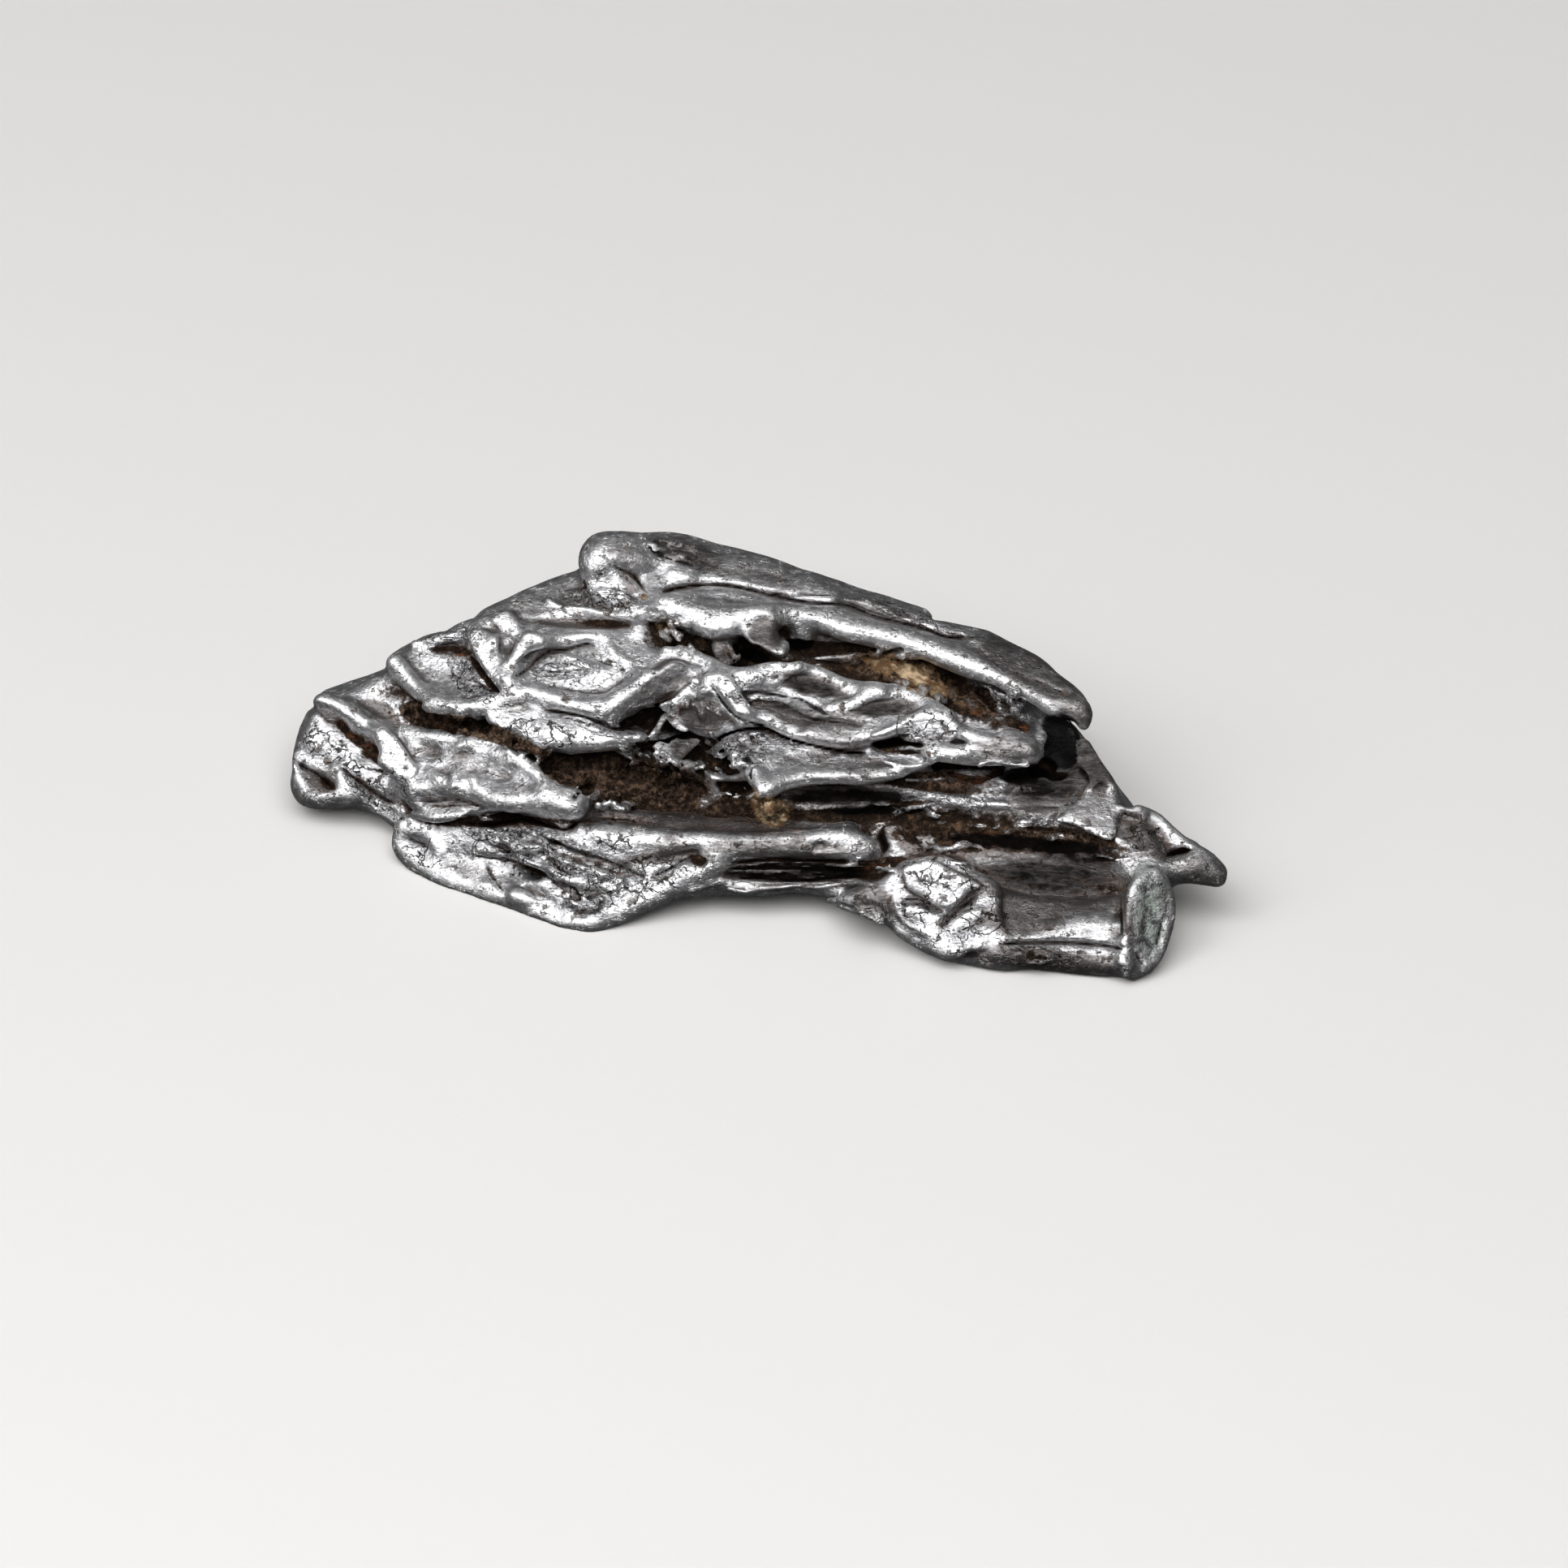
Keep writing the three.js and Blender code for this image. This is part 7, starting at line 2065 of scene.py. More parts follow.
    def trim(self, iron: IronField, box: tuple) -> None:
        """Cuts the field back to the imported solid's box.

        Args:
            iron: The field.
            box: The lowest and the highest corner, in metres.
        """
        a, b, c = (iron.axis(i) for i in range(3))
        for number in range(3):
            along = FACE.columns[number]
            reach = (
                (a * along[0])[:, None, None] + (b * along[1])[None, :, None]
                + (c * along[2])[None, None, :] + FACE.origin[number]
            ).astype(np.float32)
            low, high = box[0][number] / MM, box[1][number] / MM
            np.maximum(iron.values, low - reach, out=iron.values)
            np.maximum(iron.values, reach - high, out=iron.values)

    def skinned(self, iron: IronField) -> bpy.types.Object:
        """The field's surface as a mesh object, thinned out."""
        points, quads = largest_part(*iron.skin())
        mesh = bpy.data.meshes.new("iron")
        mesh.vertices.add(len(points))
        mesh.vertices.foreach_set("co", (FACE.row(points) * MM).astype(np.float32).ravel())
        mesh.loops.add(quads.size)
        mesh.loops.foreach_set("vertex_index", quads.astype(np.int32).ravel())
        mesh.polygons.add(len(quads))
        mesh.polygons.foreach_set("loop_start", np.arange(0, quads.size, 4, dtype=np.int32))
        mesh.update(calc_edges=True)
        piece = bpy.data.objects.new("iron", mesh)
        bpy.context.scene.collection.objects.link(piece)
        self.thin_out(piece, 2 * len(quads), self.buried(points, iron))
        LOG.info("skin of %d faces from %d", len(piece.data.polygons), len(quads))
        return piece

    def thin_out(self, piece: bpy.types.Object, triangles: int, depths: np.ndarray) -> None:
        """Thins the mesh to the most triangles that it may keep, and least on the torn face.

        Args:
            piece: The mesh object.
            triangles: How many triangles its faces come to.
            depths: How far each vertex lies under the torn face.
        """
        if triangles <= self.most_triangles:
            return
        thin = piece.modifiers.new("thin", "DECIMATE")
        thin.ratio = self.most_triangles / triangles
        levels = np.round(self.THIN_LEVELS * (1.0 - smoothstep(*self.RELIEF_FADE, depths)))
        group = piece.vertex_groups.new(name="thin")
        for level in range(self.THIN_LEVELS + 1):
            group.add(np.flatnonzero(levels == level).tolist(), 1.0 - self.THIN_STEP * level, "REPLACE")
        thin.vertex_group = group.name
        full = piece.data
        graph = bpy.context.evaluated_depsgraph_get()
        thinned = bpy.data.meshes.new_from_object(piece.evaluated_get(graph))
        piece.modifiers.clear()
        piece.data = thinned
        bpy.data.meshes.remove(full)
        piece.data.name = "iron"

    def settle(self, piece: bpy.types.Object, box: tuple) -> None:
        """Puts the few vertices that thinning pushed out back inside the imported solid's box.

        Args:
            piece: The mesh object.
            box: The lowest and the highest corner, in metres.
        """
        mesh = piece.data
        places = np.clip(vertex_places(mesh), np.float32(box[0]), np.float32(box[1]))
        mesh.vertices.foreach_set("co", places.ravel())
        mesh.update()

    def buried(self, places: np.ndarray, iron: IronField) -> np.ndarray:
        """How far each place lies under the torn face's outermost surface."""
        depth = FaceMap(iron)
        depth.values = iron.heights().astype(np.float32)
        return depth.read(places) - places[:, 2]

    def mark(self, piece: bpy.types.Object, iron: IronField, masks: dict[Stain, FaceMap]) -> None:
        """Gives the mesh its normals and its masks.

        Args:
            piece: The mesh object.
            iron: The field that it was skinned from.
            masks: The stains on the torn face.
        """
        mesh = piece.data
        places = FACE.local(vertex_places(mesh).astype(float) / MM)
        soft = iron.softened(iron.values, self.NORMAL_BLUR)
        normals = iron.gradient(soft, places) @ FACE.columns.T
        mesh.polygons.foreach_set("use_smooth", np.ones(len(mesh.polygons), bool))
        mesh.normals_split_custom_set_from_vertices(normals.astype(np.float32))
        for name, layer in self.layers(places, iron, masks).items():
            data = mesh.attributes.new(name, "FLOAT", "POINT").data
            data.foreach_set("value", np.clip(layer, 0.0, 1.0).astype(np.float32))

    def layers(
        self, places: np.ndarray, iron: IronField, masks: dict[Stain, FaceMap],
    ) -> dict[str, np.ndarray]:
        """The masks at places on the surface.

        Args:
            places: The places, in the face's axes.
            iron: The field.
            masks: The stains on the torn face.

        Returns:
            The masks by name, from 0 to 1 once they are clipped.
        """
        form = iron.sample(iron.softened(iron.values, self.FORM_BLUR), places)
        hollow = np.clip(-form / self.FULL_HOLLOW, 0.0, 1.0)
        exposed = np.clip(form / self.FULL_RIM, 0.0, 1.0)
        shelter = sheltered(iron, places)
        front = 1.0 - smoothstep(*self.STAIN_FADE, self.buried(places, iron))
        patches = 0.5 + 0.5 * lattice_noise(places / self.PATCH_WIDTH, self.PATCH_SEED)
        stains = {stain: mask.read(places) * front for stain, mask in masks.items()}
        rubbed_off = 0.9 * exposed * (1.0 - stains[Stain.GRIT])
        # Painted shade: the soil mask rises in hollows and sheltered crevices, from the shape alone.
        crevice_soil_and_shade = 0.6 * hollow * (0.15 + shelter) + 0.5 * shelter - 0.15
        # On the back and the underside: random soil patches, with painted shade added in hollows.
        behind = 0.45 * (1.0 - front) * (patches + 0.6 * hollow - 0.5 * exposed)
        soil_and_shade = np.maximum(stains[Stain.SOIL] * (1.0 - rubbed_off) + crevice_soil_and_shade, behind)
        layers = {"hollow": hollow, "exposed": exposed, "shelter": shelter, "soil_and_shade": soil_and_shade}
        for stain in (Stain.RUST, Stain.TAN, Stain.PATINA, Stain.GRIT, Stain.SOOT):
            layers[stain.value] = stains[stain] * (1.0 - self.RIM_WEAR * exposed)
        for stain in (Stain.TORN, Stain.FILM, Stain.CRACKS):
            layers[stain.value] = stains[stain]
        return layers


def noise_pair(
    places: np.ndarray, widths: Sequence[float | tuple[float, ...]], seeds: Sequence[int],
) -> tuple[np.ndarray, np.ndarray]:
    """Slow and fast noise at places, by the widths of their marks and their seeds."""
    slow, fast = (lattice_noise(places / width, seed) for width, seed in zip(widths, seeds))
    return slow, fast


def largest_part(points: np.ndarray, quads: np.ndarray) -> tuple[np.ndarray, np.ndarray]:
    """The largest connected part of a mesh.

    Args:
        points: The mesh's corners.
        quads: Its faces, four corner numbers each.

    Returns:
        The corners and faces of that part.
    """
    label = np.arange(len(points))
    while True:
        lowest = label[quads].min(axis=1)
        new = label.copy()
        for corner in range(4):
            np.minimum.at(new, quads[:, corner], lowest)
        new = new[new]
        if np.array_equal(new, label):
            break
        label = new
    names, sizes = np.unique(label[quads[:, 0]], return_counts=True)
    keep = label[quads[:, 0]] == names[np.argmax(sizes)]
    kept = quads[keep]
    used, numbers = np.unique(kept, return_inverse=True)
    return points[used], numbers.reshape(kept.shape)


def sheltered(iron: IronField, places: np.ndarray) -> np.ndarray:
    """How deep in a crevice each place lies, from 0 on open faces to 1.

    Args:
        iron: The distance field.
        places: Places on its surface.

    Returns:
        One share for each place.
    """
    skip, edge, blur = 3, 0.4, 1.0
    filled = np.clip(0.5 - iron.values[::skip, ::skip, ::skip] / edge, 0.0, 1.0)
    coarse = IronField(iron.voxel * skip, iron.first / skip, filled)
    return smoothstep(0.5, 0.8, coarse.sample(coarse.softened(filled, blur), places))


# ---- finishes -----------------------------------------------------------------------------


class Graph:
    """The nodes of a material or of the world, added and linked by name."""

    def __init__(self, tree: bpy.types.NodeTree) -> None:
        """Starts on a node tree."""
        self.tree = tree

    def add(self, kind: str, settings: dict[str, object] | None = None, **inputs: object) -> bpy.types.Node:
        """Adds a node.

        Args:
            kind: The node's type.
            settings: Its properties.
            **inputs: Values or sockets for its inputs, with underscores for spaces.

        Returns:
            The node.
        """
        node = self.tree.nodes.new(kind)
        for name, value in (settings or {}).items():
            setattr(node, name, value)
        for name, value in inputs.items():
            self.set(node.inputs[name.replace("_", " ")], value)
        return node

    def set(self, socket: Socket, value: object) -> None:
        """Links a socket to another, or gives it a value."""
        if isinstance(value, Socket):
            self.tree.links.new(value, socket)
        else:
            socket.default_value = value

    def math(self, operation: str, first: Number, second: Number = 0.0) -> Socket:
        """The result of a sum on one or two numbers."""
        node = self.add("ShaderNodeMath", {"operation": operation})
        self.set(node.inputs[0], first)
        self.set(node.inputs[1], second)
        return node.outputs[0]

    def vector_math(self, operation: str, first: object, second: object) -> Socket:
        """The result of a sum on two vectors."""
        node = self.add("ShaderNodeVectorMath", {"operation": operation})
        self.set(node.inputs[0], first)
        self.set(node.inputs[1], second)
        return node.outputs["Vector"]

    def plus(self, *values: Number) -> Socket:
        """The sum of numbers."""
        return functools.reduce(functools.partial(self.math, "ADD"), values)

    def minus(self, first: Number, second: Number) -> Socket:
        """One number less another."""
        return self.math("SUBTRACT", first, second)

    def times(self, *values: Number) -> Socket:
        """The product of numbers."""
        return functools.reduce(functools.partial(self.math, "MULTIPLY"), values)

    def most(self, *values: Number) -> Socket:
        """The largest of some numbers."""
        return functools.reduce(functools.partial(self.math, "MAXIMUM"), values)

    def swing(self, noise: Socket, amount: float, middle: float = 0.5) -> Socket:
        """Noise that sways round zero, times an amount."""
        return self.times(self.minus(noise, middle), amount)

    def rise(self, value: Number, low: float, high: float) -> Socket:
        """A smooth rise from 0 at low to 1 at high."""
        node = self.add("ShaderNodeMapRange", {"interpolation_type": "SMOOTHSTEP"},
                        Value=value, From_Min=low, From_Max=high)
        return node.outputs["Result"]

    def mix(self, share: Number, first: Paint, second: Paint) -> Socket:
        """One colour turning into another."""
        node = self.add("ShaderNodeMix", {"data_type": "RGBA"})
        self.set(node.inputs["Factor"], share)
        self.set(node.inputs["A"], opaque(first))
        self.set(node.inputs["B"], opaque(second))
        return node.outputs["Result"]

    def coats(self, base: Paint, coats: Sequence[tuple[Socket, float, Paint]]) -> Socket:
        """Colours laid over each other.

        Args:
            base: The lowest colour.
            coats: Each coat's mask, its strength and its colour, from the lowest up.

        Returns:
            The colour that shows.
        """
        for mask, strength, colour in coats:
            base = self.mix(self.times(mask, strength), base, colour)
        return base

    def attribute(self, name: str) -> Socket:
        """A mask of the mesh."""
        node = self.add("ShaderNodeAttribute", {"attribute_name": name, "attribute_type": "GEOMETRY"})
        return node.outputs["Fac"]

    def noise(self, vector: Socket, scale: float, detail: float = 3.0, rough: float = 0.55) -> Socket:
        """Cloudy noise about one half."""
        node = self.add("ShaderNodeTexNoise", Vector=vector, Scale=scale, Detail=detail, Roughness=rough)
        return node.outputs["Fac"]


def opaque(colour: Paint) -> Socket | tuple[float, float, float, float]:
    """A colour with full alpha; a socket stays as it is."""
    return (*colour, 1.0) if isinstance(colour, tuple) else colour


@dataclass(frozen=True)
class Patterns:
    """Coordinates and noises that several effects share; the noises are about one half.

    Attributes:
        even: Coordinates in millimetres.
        lengthwise: Coordinates drawn out along the lamellae.
        slanting: Coordinates drawn out along the tearing.
        cloud: Slow noise, some millimetres wide.
        mottle: Blotches, half a millimetre wide.
        speck: Specks, a quarter of a millimetre wide.
        pores: The finest noise.
        streak: Fine streaks along the lamellae.
    """

    even: Socket
    lengthwise: Socket
    slanting: Socket
    cloud: Socket
    mottle: Socket
    speck: Socket
    pores: Socket
    streak: Socket


@dataclass(frozen=True)
class Damage:
    """Where the bare metal is broken.

    Attributes:
        torn: Mask of torn metal.
        crack: Mask of cracks.
        pits: Mask of pits.
        layer: Stepped height of the lamellae's broken layers.
        slab: Stepped height of the slanting ones.
    """

    torn: Socket
    crack: Socket
    pits: Socket
    layer: Socket
    slab: Socket


@dataclass(frozen=True)
class Cover:
    """Masks of what lies on the metal, and of the painted shade.

    Attributes:
        shade_filmed: Painted shade, a dark layer over hollows and over highlights that are toned down.
        edged: The brown stain round the soil and round the painted crevice shade.
        soiled: Soil, with painted shade in hollows and sheltered crevices.
        rusty: Rust.
        tanned: The pale deposit.
        green: The patina.
        crevice_shadowed: Painted shadow in the blackest crevices.
        whole: Everything that hides the metal, painted shade and shadow included.
    """

    shade_filmed: Socket
    edged: Socket
    soiled: Socket
    rusty: Socket
    tanned: Socket
    green: Socket
    crevice_shadowed: Socket
    whole: Socket


@dataclass(frozen=True)
class MeteoriticIron:
    """Polished nickel iron with torn flakes, soil, rust, tan deposits, a green patina and painted shade.

    Attributes:
        polish: Colour of the rubbed metal.
        dull: Colour of the metal where it is less rubbed.
        shade_film: Colour of the painted shade laid over hollows and over toned-down highlights; it darkens
            the pores too.
        stain: Colour of the brown edge of the soil and of the painted crevice shade, and of pits.
        dark_soil_and_shade: Colour of damp soil, of cracks, and of the painted shade on soil in sheltered
            hollows.
        soil_pale: Colour of dry soil.
        crevice_shadow: Colour of the painted shadow in the blackest crevices.
        soil_gloss: How strongly soil and the painted crevice shadow shine, where 0.5 is ordinary.
        rust: Colour of rust.
        ochre: Colour of the deposit's darker streaks.
        tan: Colour of the deposit.
        patina: Colour of the patina.
    """

    polish: Colour = (0.86, 0.86, 0.87)
    dull: Colour = (0.42, 0.42, 0.44)
    # Painted shade colour, also used to darken the pores.
    shade_film: Colour = (0.10, 0.085, 0.078)
    stain: Colour = (0.10, 0.06, 0.042)
    # Also laid as painted shade over soil in sheltered hollows.
    dark_soil_and_shade: Colour = (0.010, 0.006, 0.004)
    soil_pale: Colour = (0.170, 0.112, 0.078)
    # Painted shadow colour.
    crevice_shadow: Colour = (0.0012, 0.0009, 0.0008)
    soil_gloss: float = 0.05
    rust: Colour = (0.15, 0.055, 0.026)
    ochre: Colour = (0.13, 0.075, 0.038)
    tan: Colour = (0.58, 0.44, 0.28)
    patina: Colour = (0.40, 0.47, 0.43)

    # Stretch and angle of the drawn-out coordinates.
    LENGTHWISE = (3.2, -4.0)
    SLANTING = (2.6, -28.0)
    # Scale to a millimetre, detail and roughness of each noise.
    CLOUD = (0.45, 4.0)
    MOTTLE = (1.9, 4.0, 0.6)
    SPECK = (4.5, 4.0, 0.65)
    PORES = (7.0, 2.0, 0.7)
    DOTS = (9.0, 2.0, 0.5)
    STREAK = (4.2, 4.0, 0.62)
    SEAMS = (3.0, 4.0, 0.65)
    LAYERS = (1.1, 3.0, 0.55)
    SLABS = (0.9, 4.0, 0.55)
    # How many steps the broken layers have, and where a step rises and its foot starts and ends.
    LAYER_LEVELS = 8.0
    SLAB_LEVELS = 6.0
    STEP_RISE = (0.78, 1.0)
    FOOT_START = (0.52, 0.78)
    FOOT_END = (0.95, 0.8)
    # Plates to a millimetre and share of a crack's width for each network of veins.
    BROAD_VEINS = (0.85, 0.04)
    FINE_VEINS = (2.3, 0.045)
    HAIRS = (1.3, 0.035)
    # How far noise moves each mask's edge.
    TORN_SWING = 2.4
    SPLIT_SWING = 1.6
    SOIL_SWING = 0.9
    SHADE_FILM_SWING = 1.4
    RUST_SWING = (2.0, 0.72)
    CREVICE_SHADOW_SWING = 0.7
    SEAM_SWING = 2.6
    # Where each mask starts and is full, once its noise is added.
    TORN_EDGE = (0.25, 0.8)
    FEW_EDGE = (0.84, 0.96)
    BROAD_EDGE = (0.2, 0.5)
    FINE_EDGE = (0.6, 1.0)
    PIT_EDGE = (0.64, 0.7)
    SHADE_FILM_EDGE = (0.1, 1.0)
    STAIN_EDGE = (0.16, 0.46)
    SOIL_EDGE = (0.40, 0.64)
    RUST_EDGE = (0.2, 0.7)
    TAN_EDGE = (0.1, 0.5)
    SEAM_EDGE = (0.3, 1.2)
    GREEN_EDGE = (0.35, 0.62)
    CREVICE_SHADOW_EDGE = (0.15, 0.7)
    # Roughness of bare metal, and what specks, the painted shade and cover add to it.
    LEAST_ROUGH = 0.38
    SPECK_ROUGH = 0.12
    SHADE_FILM_ROUGH = 0.10
    COVER_ROUGH = 0.38

    def flow(self, graph: Graph, stretch: float, turn: float) -> Socket:
        """Coordinates in millimetres that run along the torn face.

        Args:
            graph: The material's nodes.
            stretch: How much longer than wide the marks come out.
            turn: The angle of the marks in the face's plane, in degrees.

        Returns:
            The coordinates.
        """
        place = graph.add("ShaderNodeTexCoord").outputs["Object"]
        laid = graph.add("ShaderNodeMapping", {"vector_type": "TEXTURE"}, Vector=place,
                         Rotation=(0.5 * math.pi - FACE_LEAN, 0.0, FACE_YAW), Scale=(MM, MM, MM))
        drawn = graph.add("ShaderNodeMapping", {"vector_type": "TEXTURE"}, Vector=laid.outputs["Vector"],
                          Rotation=(0.0, 0.0, math.radians(turn)), Scale=(stretch, 1.0, 1.0))
        return drawn.outputs["Vector"]

    def terraces(self, graph: Graph, source: Socket, levels: float) -> tuple[Socket, Socket]:
        """Broken layers: a stepped height, and a thin mask along the foot of every step.

        Args:
            graph: The material's nodes.
            source: The noise that is cut into levels.
            levels: How many levels it is cut into.

        Returns:
            The stepped height in levels, and the mask.
        """
        level = graph.times(source, levels)
        part = graph.math("FRACT", level)
        stepped = graph.plus(graph.minus(level, part), graph.rise(part, *self.STEP_RISE))
        foot = graph.times(graph.rise(part, *self.FOOT_START), graph.rise(part, *self.FOOT_END))
        return stepped, foot

    def veins(self, graph: Graph, place: Socket, scale: float, width: float) -> Socket:
        """A network of thin wandering cracks.

        Args:
            graph: The material's nodes.
            place: The coordinates in millimetres.
            scale: How many plates there are to a millimetre.
            width: The width of a crack as a share of a plate.

        Returns:
            The mask, 1 along the cracks.
        """
        finer, drift, core = 1.4, 1.1, 0.4
        noise = graph.add("ShaderNodeTexNoise", Vector=place, Scale=finer * scale, Detail=3.0, Roughness=0.6)
        moved = graph.vector_math("MULTIPLY", noise.outputs["Color"], (drift / scale,) * 3)
        cells = graph.add("ShaderNodeTexVoronoi", {"feature": "DISTANCE_TO_EDGE"},
                          Vector=graph.vector_math("ADD", place, moved), Scale=scale)
        return graph.rise(cells.outputs["Distance"], width, core * width)

    def patterns(self, graph: Graph) -> Patterns:
        """The coordinates and noises that several effects share."""
        even = self.flow(graph, 1.0, 0.0)
        lengthwise = self.flow(graph, *self.LENGTHWISE)
        return Patterns(
            even=even,
            lengthwise=lengthwise,
            slanting=self.flow(graph, *self.SLANTING),
            cloud=graph.noise(even, *self.CLOUD),
            mottle=graph.noise(even, *self.MOTTLE),
            speck=graph.noise(even, *self.SPECK),
            pores=graph.noise(even, *self.PORES),
            streak=graph.noise(lengthwise, *self.STREAK),
        )

    def damage(self, graph: Graph, noise: Patterns) -> Damage:
        """Cracks, pits and broken layers.

        Args:
            graph: The material's nodes.
            noise: The shared noises.

        Returns:
            The masks and the stepped heights.
        """
        layer, foot = self.terraces(graph, graph.noise(noise.lengthwise, *self.LAYERS), self.LAYER_LEVELS)
        slab, edge = self.terraces(graph, graph.noise(noise.slanting, *self.SLABS), self.SLAB_LEVELS)
        tears = graph.plus(graph.attribute("torn"), graph.swing(noise.mottle, self.TORN_SWING))
        torn = graph.rise(tears, *self.TORN_EDGE)
        few = graph.rise(graph.plus(noise.cloud, graph.times(noise.mottle, 0.5)), *self.FEW_EDGE)
        feet = graph.times(foot, graph.most(torn, graph.times(few, 0.8)))
        edges = graph.times(edge, torn, 0.75)
        steps = graph.times(graph.most(feet, edges), graph.rise(noise.speck, 0.36, 0.56))
        split = graph.plus(graph.attribute("cracks"), graph.swing(noise.mottle, self.SPLIT_SWING))
        broad = self.veins(graph, noise.even, *self.BROAD_VEINS)
        broad = graph.times(broad, graph.rise(split, *self.BROAD_EDGE))
        fine = self.veins(graph, noise.even, *self.FINE_VEINS)
        fine = graph.times(fine, graph.rise(split, *self.FINE_EDGE), 0.7)
        hairs = self.veins(graph, noise.lengthwise, *self.HAIRS)
        hairs = graph.times(hairs, graph.rise(noise.mottle, 0.47, 0.6), 0.8)
        dots = graph.rise(graph.noise(noise.even, *self.DOTS), *self.PIT_EDGE)
        pits = graph.times(dots, graph.rise(noise.cloud, 0.42, 0.58))
        return Damage(torn, graph.most(steps, broad, fine, hairs), pits, layer, slab)

    def cover(self, graph: Graph, noise: Patterns) -> Cover:
        """The masks of what lies on the metal, and of the painted shade.

        Args:
            graph: The material's nodes.
            noise: The shared noises.

        Returns:
            The masks.
        """
        # Soil, with painted shade where hollows and sheltered crevices raise the mask.
        soil_and_shade = graph.plus(graph.attribute("soil_and_shade"), graph.swing(noise.speck, self.SOIL_SWING))
        # Painted shade: hollows and the shade patches darken the metal.
        shade_film = graph.plus(
            graph.attribute("hollow"), graph.attribute("shade_film"), graph.swing(noise.streak, self.SHADE_FILM_SWING))
        rust = graph.plus(graph.attribute("rust"), graph.swing(noise.streak, *self.RUST_SWING))
        crumble = graph.plus(graph.times(noise.mottle, 1.5), graph.times(noise.speck, 0.5))
        tan = graph.plus(graph.attribute("tan"), graph.minus(crumble, 1.0))
        # Painted shadow for the darkest crevices and crack bottoms.
        crevice_shadow = graph.plus(graph.attribute("crevice_shadow"), graph.swing(noise.streak, self.CREVICE_SHADOW_SWING))
        soiled = graph.rise(soil_and_shade, *self.SOIL_EDGE)
        rusty = graph.rise(rust, *self.RUST_EDGE)
        tanned = graph.rise(tan, *self.TAN_EDGE)
        green = graph.times(graph.attribute("patina"), graph.rise(noise.mottle, *self.GREEN_EDGE))
        crevice_shadowed = graph.rise(crevice_shadow, *self.CREVICE_SHADOW_EDGE)
        whole = graph.most(soiled, graph.times(rusty, 0.7), tanned, crevice_shadowed, graph.times(green, 0.6))
        return Cover(
            shade_filmed=graph.rise(shade_film, *self.SHADE_FILM_EDGE),
            edged=graph.rise(soil_and_shade, *self.STAIN_EDGE),
            soiled=soiled,
            rusty=rusty,
            tanned=tanned,
            green=green,
            crevice_shadowed=crevice_shadowed,
            whole=whole,
        )

    def colour(self, graph: Graph, noise: Patterns, damage: Damage, cover: Cover) -> Socket:
        """The colour of the metal and of what lies on it, with painted shade and shadow.

        Args:
            graph: The material's nodes.
            noise: The shared noises.
            damage: Cracks, pits and broken layers.
            cover: The masks of what lies on the metal.

        Returns:
            The colour.
        """
        rubbed = graph.plus(graph.rise(noise.mottle, 0.3, 0.7), graph.times(graph.attribute("exposed"), 0.5))
        metal = graph.coats(graph.mix(rubbed, self.dull, self.polish), (
            (graph.rise(noise.pores, 0.62, 0.42), 0.22, self.shade_film),
            # Painted shade over hollows and over toned-down highlights.
            (cover.shade_filmed, 0.85, self.shade_film),
            (cover.edged, 0.55, self.stain),
            (damage.pits, 0.7, self.stain),
            (damage.crack, 0.92, self.dark_soil_and_shade),
            (cover.green, 0.75, self.patina),
        ))
        lumps = graph.plus(
            graph.rise(noise.speck, 0.44, 0.72), graph.times(graph.rise(noise.mottle, 0.45, 0.7), 0.45))
        dry = graph.times(lumps, graph.plus(0.3, graph.attribute("grit")))
        earth = graph.coats(graph.mix(dry, self.dark_soil_and_shade, self.soil_pale), (
            (cover.rusty, 0.7, self.rust),
            # Painted shade: soil is darker in sheltered crevices and hollows.
            (graph.most(graph.attribute("shelter"), graph.attribute("hollow")), 0.62, self.dark_soil_and_shade),
        ))
        seams = graph.swing(graph.noise(noise.slanting, *self.SEAMS), self.SEAM_SWING)
        bright = graph.rise(graph.plus(graph.attribute("tan"), seams), *self.SEAM_EDGE)
        deposit = graph.mix(bright, self.ochre, self.tan)
        return graph.coats(metal, (
            (cover.soiled, 1.0, earth),
            (cover.rusty, 0.5, self.rust),
            (cover.tanned, 1.0, deposit),
            # Painted shadow, near-black, in the darkest crevices.
            (cover.crevice_shadowed, 0.97, self.crevice_shadow),
        ))

    def roughness(self, graph: Graph, noise: Patterns, cover: Cover) -> Socket:
        """How rough the metal and its cover are."""
        return graph.plus(
            self.LEAST_ROUGH,
            graph.times(graph.rise(noise.speck, 0.35, 0.7), self.SPECK_ROUGH),
            graph.times(cover.shade_filmed, self.SHADE_FILM_ROUGH),
            graph.times(cover.whole, self.COVER_ROUGH),
        )

    def height(self, graph: Graph, noise: Patterns, damage: Damage, cover: Cover) -> Socket:
        """The height of the fine relief, in millimetres."""
        bare = graph.minus(1.0, graph.times(graph.attribute("exposed"), 0.6))
        return graph.plus(
            graph.times(noise.mottle, bare, 0.09),
            graph.times(noise.streak, bare, 0.035),
            graph.times(noise.pores, 0.02),
            graph.times(damage.layer, damage.torn, 0.012),
            graph.times(damage.slab, damage.torn, 0.012),
            graph.times(damage.crack, -0.03),
            graph.times(damage.pits, -0.02),
            graph.times(noise.speck, cover.whole, 0.22),
        )

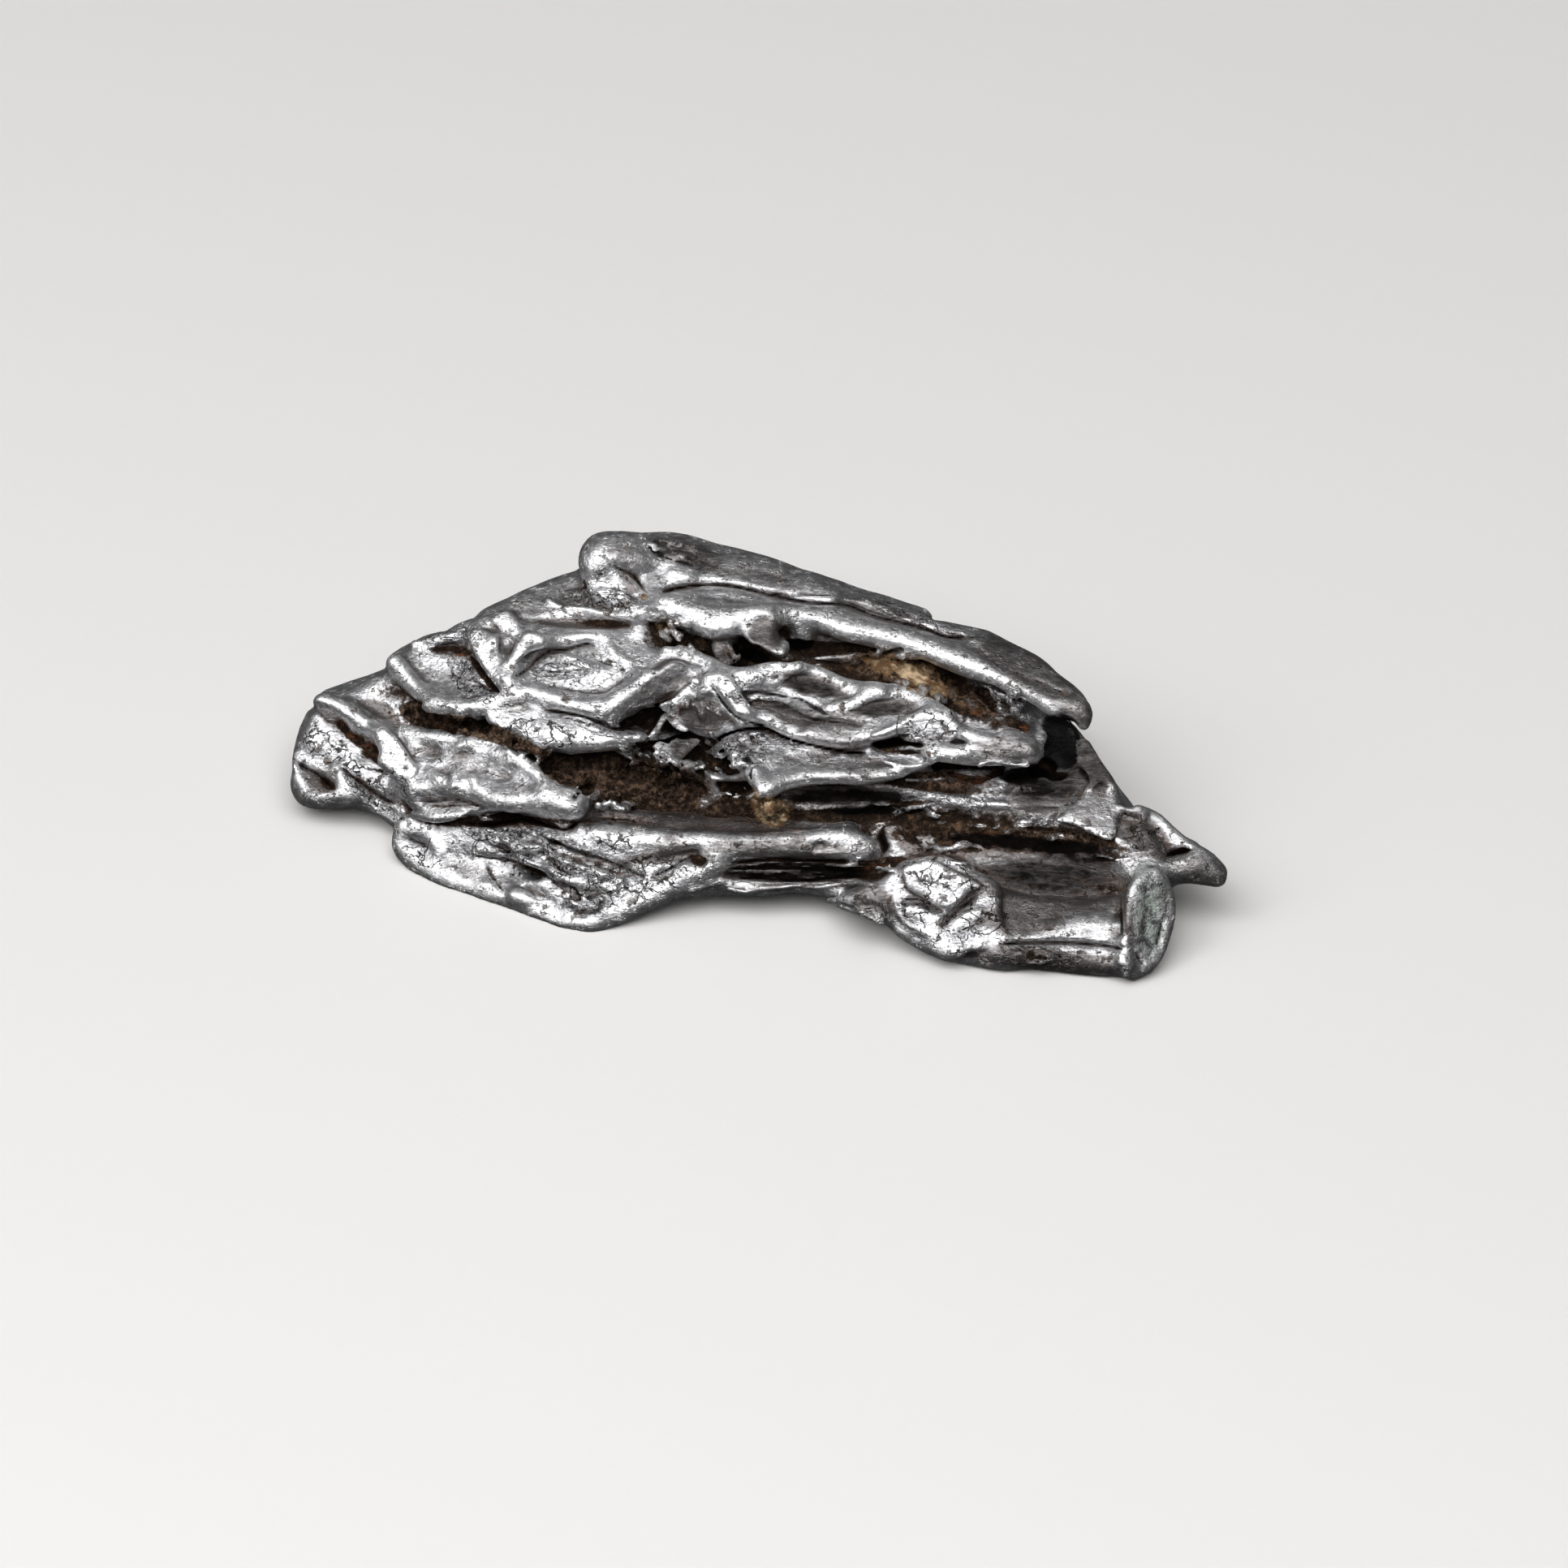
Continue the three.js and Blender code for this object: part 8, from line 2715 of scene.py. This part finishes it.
    def material(self) -> bpy.types.Material:
        """The finished material."""
        made = bpy.data.materials.new("meteoritic iron")
        made.use_nodes = True
        made.node_tree.nodes.clear()
        graph = Graph(made.node_tree)
        noise = self.patterns(graph)
        damage = self.damage(graph, noise)
        cover = self.cover(graph, noise)
        bump = graph.add("ShaderNodeBump", Height=self.height(graph, noise, damage, cover),
                         Strength=1.0, Distance=MM)
        shader = graph.add(
            "ShaderNodeBsdfPrincipled",
            Base_Color=self.colour(graph, noise, damage, cover),
            Metallic=graph.minus(1.0, cover.whole),
            Roughness=self.roughness(graph, noise, cover),
            Specular_IOR_Level=self.soil_gloss,
            Normal=bump.outputs["Normal"],
        )
        graph.add("ShaderNodeOutputMaterial", Surface=shader.outputs["BSDF"])
        return made


# ---- the studio ---------------------------------------------------------------------------


@dataclass(frozen=True)
class SoftBox:
    """A rectangular soft light that faces the meteorite.

    Attributes:
        name: Its name.
        azimuth: Its direction round the meteorite from the face's side, in degrees, right positive.
        elevation: Its height over the floor, in degrees.
        distance: How far away it is, in metres.
        size: Its width and height, in metres.
        power: Its power, in watts.
        mirrored: Whether polished metal shows it.
    """

    name: str
    azimuth: float
    elevation: float
    distance: float
    size: Point2
    power: float
    mirrored: bool = True

    def build(self, target: np.ndarray) -> None:
        """Hangs the light and turns it towards a target, in metres."""
        data = bpy.data.lights.new(self.name, "AREA")
        data.shape = "RECTANGLE"
        data.size, data.size_y = self.size
        data.energy = self.power
        lamp = bpy.data.objects.new(self.name, data)
        lamp.visible_glossy = self.mirrored
        bpy.context.scene.collection.objects.link(lamp)
        turn = math.radians(self.azimuth)
        rise = math.radians(self.elevation)
        out = yawed((math.cos(rise) * math.sin(turn), -math.cos(rise) * math.cos(turn), math.sin(rise)))
        point_at(lamp, target + self.distance * out, out)


def point_at(thing: bpy.types.Object, place: np.ndarray, back: np.ndarray) -> None:
    """Puts a light or camera at a place, looking away from the back direction."""
    up = np.array([0.0, 0.0, 1.0])
    right = np.cross(up, back)
    right /= np.linalg.norm(right)
    over = np.cross(back, right)
    matrix = np.eye(4)
    matrix[:3, 0], matrix[:3, 1], matrix[:3, 2], matrix[:3, 3] = right, over, back, place
    thing.matrix_world = Matrix(matrix)


@dataclass(frozen=True)
class Studio:
    """A plain pale floor, soft lights and the camera.

    Attributes:
        floor_size: The floor's side, in metres.
        floor_colour: The floor's colour.
        floor_roughness: How rough the floor is.
        lights: The soft lights.
        sky: Brightness of the room overhead and at the horizon.
        sky_top: How high over the horizon the room is brightest, where 1 is straight up.
        frame_width: Width of the view at the meteorite, in metres.
        frame_middle: What the camera looks at, in the face's plane.
        lens: The camera's focal length in millimetres.
        sight: The nearest and the farthest distance that the camera sees, in metres.
    """

    floor_size: float = 6.0
    floor_colour: Colour = (0.62, 0.61, 0.60)
    floor_roughness: float = 0.6
    lights: tuple[SoftBox, ...] = (
        SoftBox("key", -20.0, 57.0, 0.45, (0.56, 0.36), 2.45),
        SoftBox("top", 172.0, 60.0, 0.6, (0.6, 0.35), 0.12),
        SoftBox("side", -66.0, 40.0, 0.5, (0.26, 0.4), 0.7),
        SoftBox("fill", 20.0, 70.0, 0.9, (0.8, 0.8), 3.4, False),
    )
    sky: Point2 = (0.125, 0.05)
    sky_top: float = 0.9
    frame_width: float = 0.0773
    frame_middle: Point2 = (1.2, -1.24)
    lens: float = 400.0
    sight: Point2 = (0.01, 20.0)

    def build(self) -> None:
        """Builds the whole studio."""
        target = FACE.row(np.array([*self.frame_middle, 0.0])) * MM
        self.camera(target)
        self.floor()
        self.room()
        for light in self.lights:
            light.build(target)

    def camera(self, target: np.ndarray) -> None:
        """The camera, looking straight at the torn face."""
        data = bpy.data.cameras.new("camera")
        data.lens = self.lens
        data.clip_start, data.clip_end = self.sight
        camera = bpy.data.objects.new("camera", data)
        bpy.context.scene.collection.objects.link(camera)
        distance = self.frame_width * self.lens / data.sensor_width
        back = FACE.columns[:, 2]
        point_at(camera, target + distance * back, back)
        bpy.context.scene.camera = camera

    def floor(self) -> None:
        """The pale floor."""
        half = 0.5 * self.floor_size
        mesh = bpy.data.meshes.new("floor")
        corners = [(-half, -half, 0.0), (half, -half, 0.0), (half, half, 0.0), (-half, half, 0.0)]
        mesh.from_pydata(corners, [], [(0, 1, 2, 3)])
        floor = bpy.data.objects.new("floor", mesh)
        bpy.context.scene.collection.objects.link(floor)
        finish = bpy.data.materials.new("pale floor")
        finish.use_nodes = True
        shader = finish.node_tree.nodes["Principled BSDF"]
        shader.inputs["Base Color"].default_value = opaque(self.floor_colour)
        shader.inputs["Roughness"].default_value = self.floor_roughness
        mesh.materials.append(finish)
        floor.visible_glossy = False
        floor.visible_diffuse = False

    def room(self) -> None:
        """The dim room, brighter overhead than at the horizon."""
        world = bpy.data.worlds.new("room")
        bpy.context.scene.world = world
        world.use_nodes = True
        graph = Graph(world.node_tree)
        direction = graph.add("ShaderNodeTexCoord").outputs["Generated"]
        height = graph.add("ShaderNodeSeparateXYZ", Vector=direction).outputs["Z"]
        high, low = self.sky
        colour = graph.mix(graph.rise(height, 0.0, self.sky_top), (low, low, low), (high, high, high))
        graph.set(world.node_tree.nodes["Background"].inputs["Color"], colour)


# ---- putting it together ------------------------------------------------------------------


def main() -> None:
    """Builds the meteorite and its studio, and reports each piece."""
    logging.basicConfig(level=logging.INFO, format="%(name)s: %(message)s")
    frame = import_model()

    Studio().build()
    LOG.info("studio: floor, soft lights and camera")

    node = frame["nodes"][NODE]
    iron = Meteorite().build(node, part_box(NODE))
    iron.name = "iron_mass"
    iron.data.materials.append(MeteoriticIron().material())
    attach(iron, BODY)
    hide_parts(NODE)
    LOG.info("iron_mass: %d faces", len(iron.data.polygons))

    bpy.context.scene.view_settings.view_transform = "Standard"


if __name__ == "__main__":
    main()
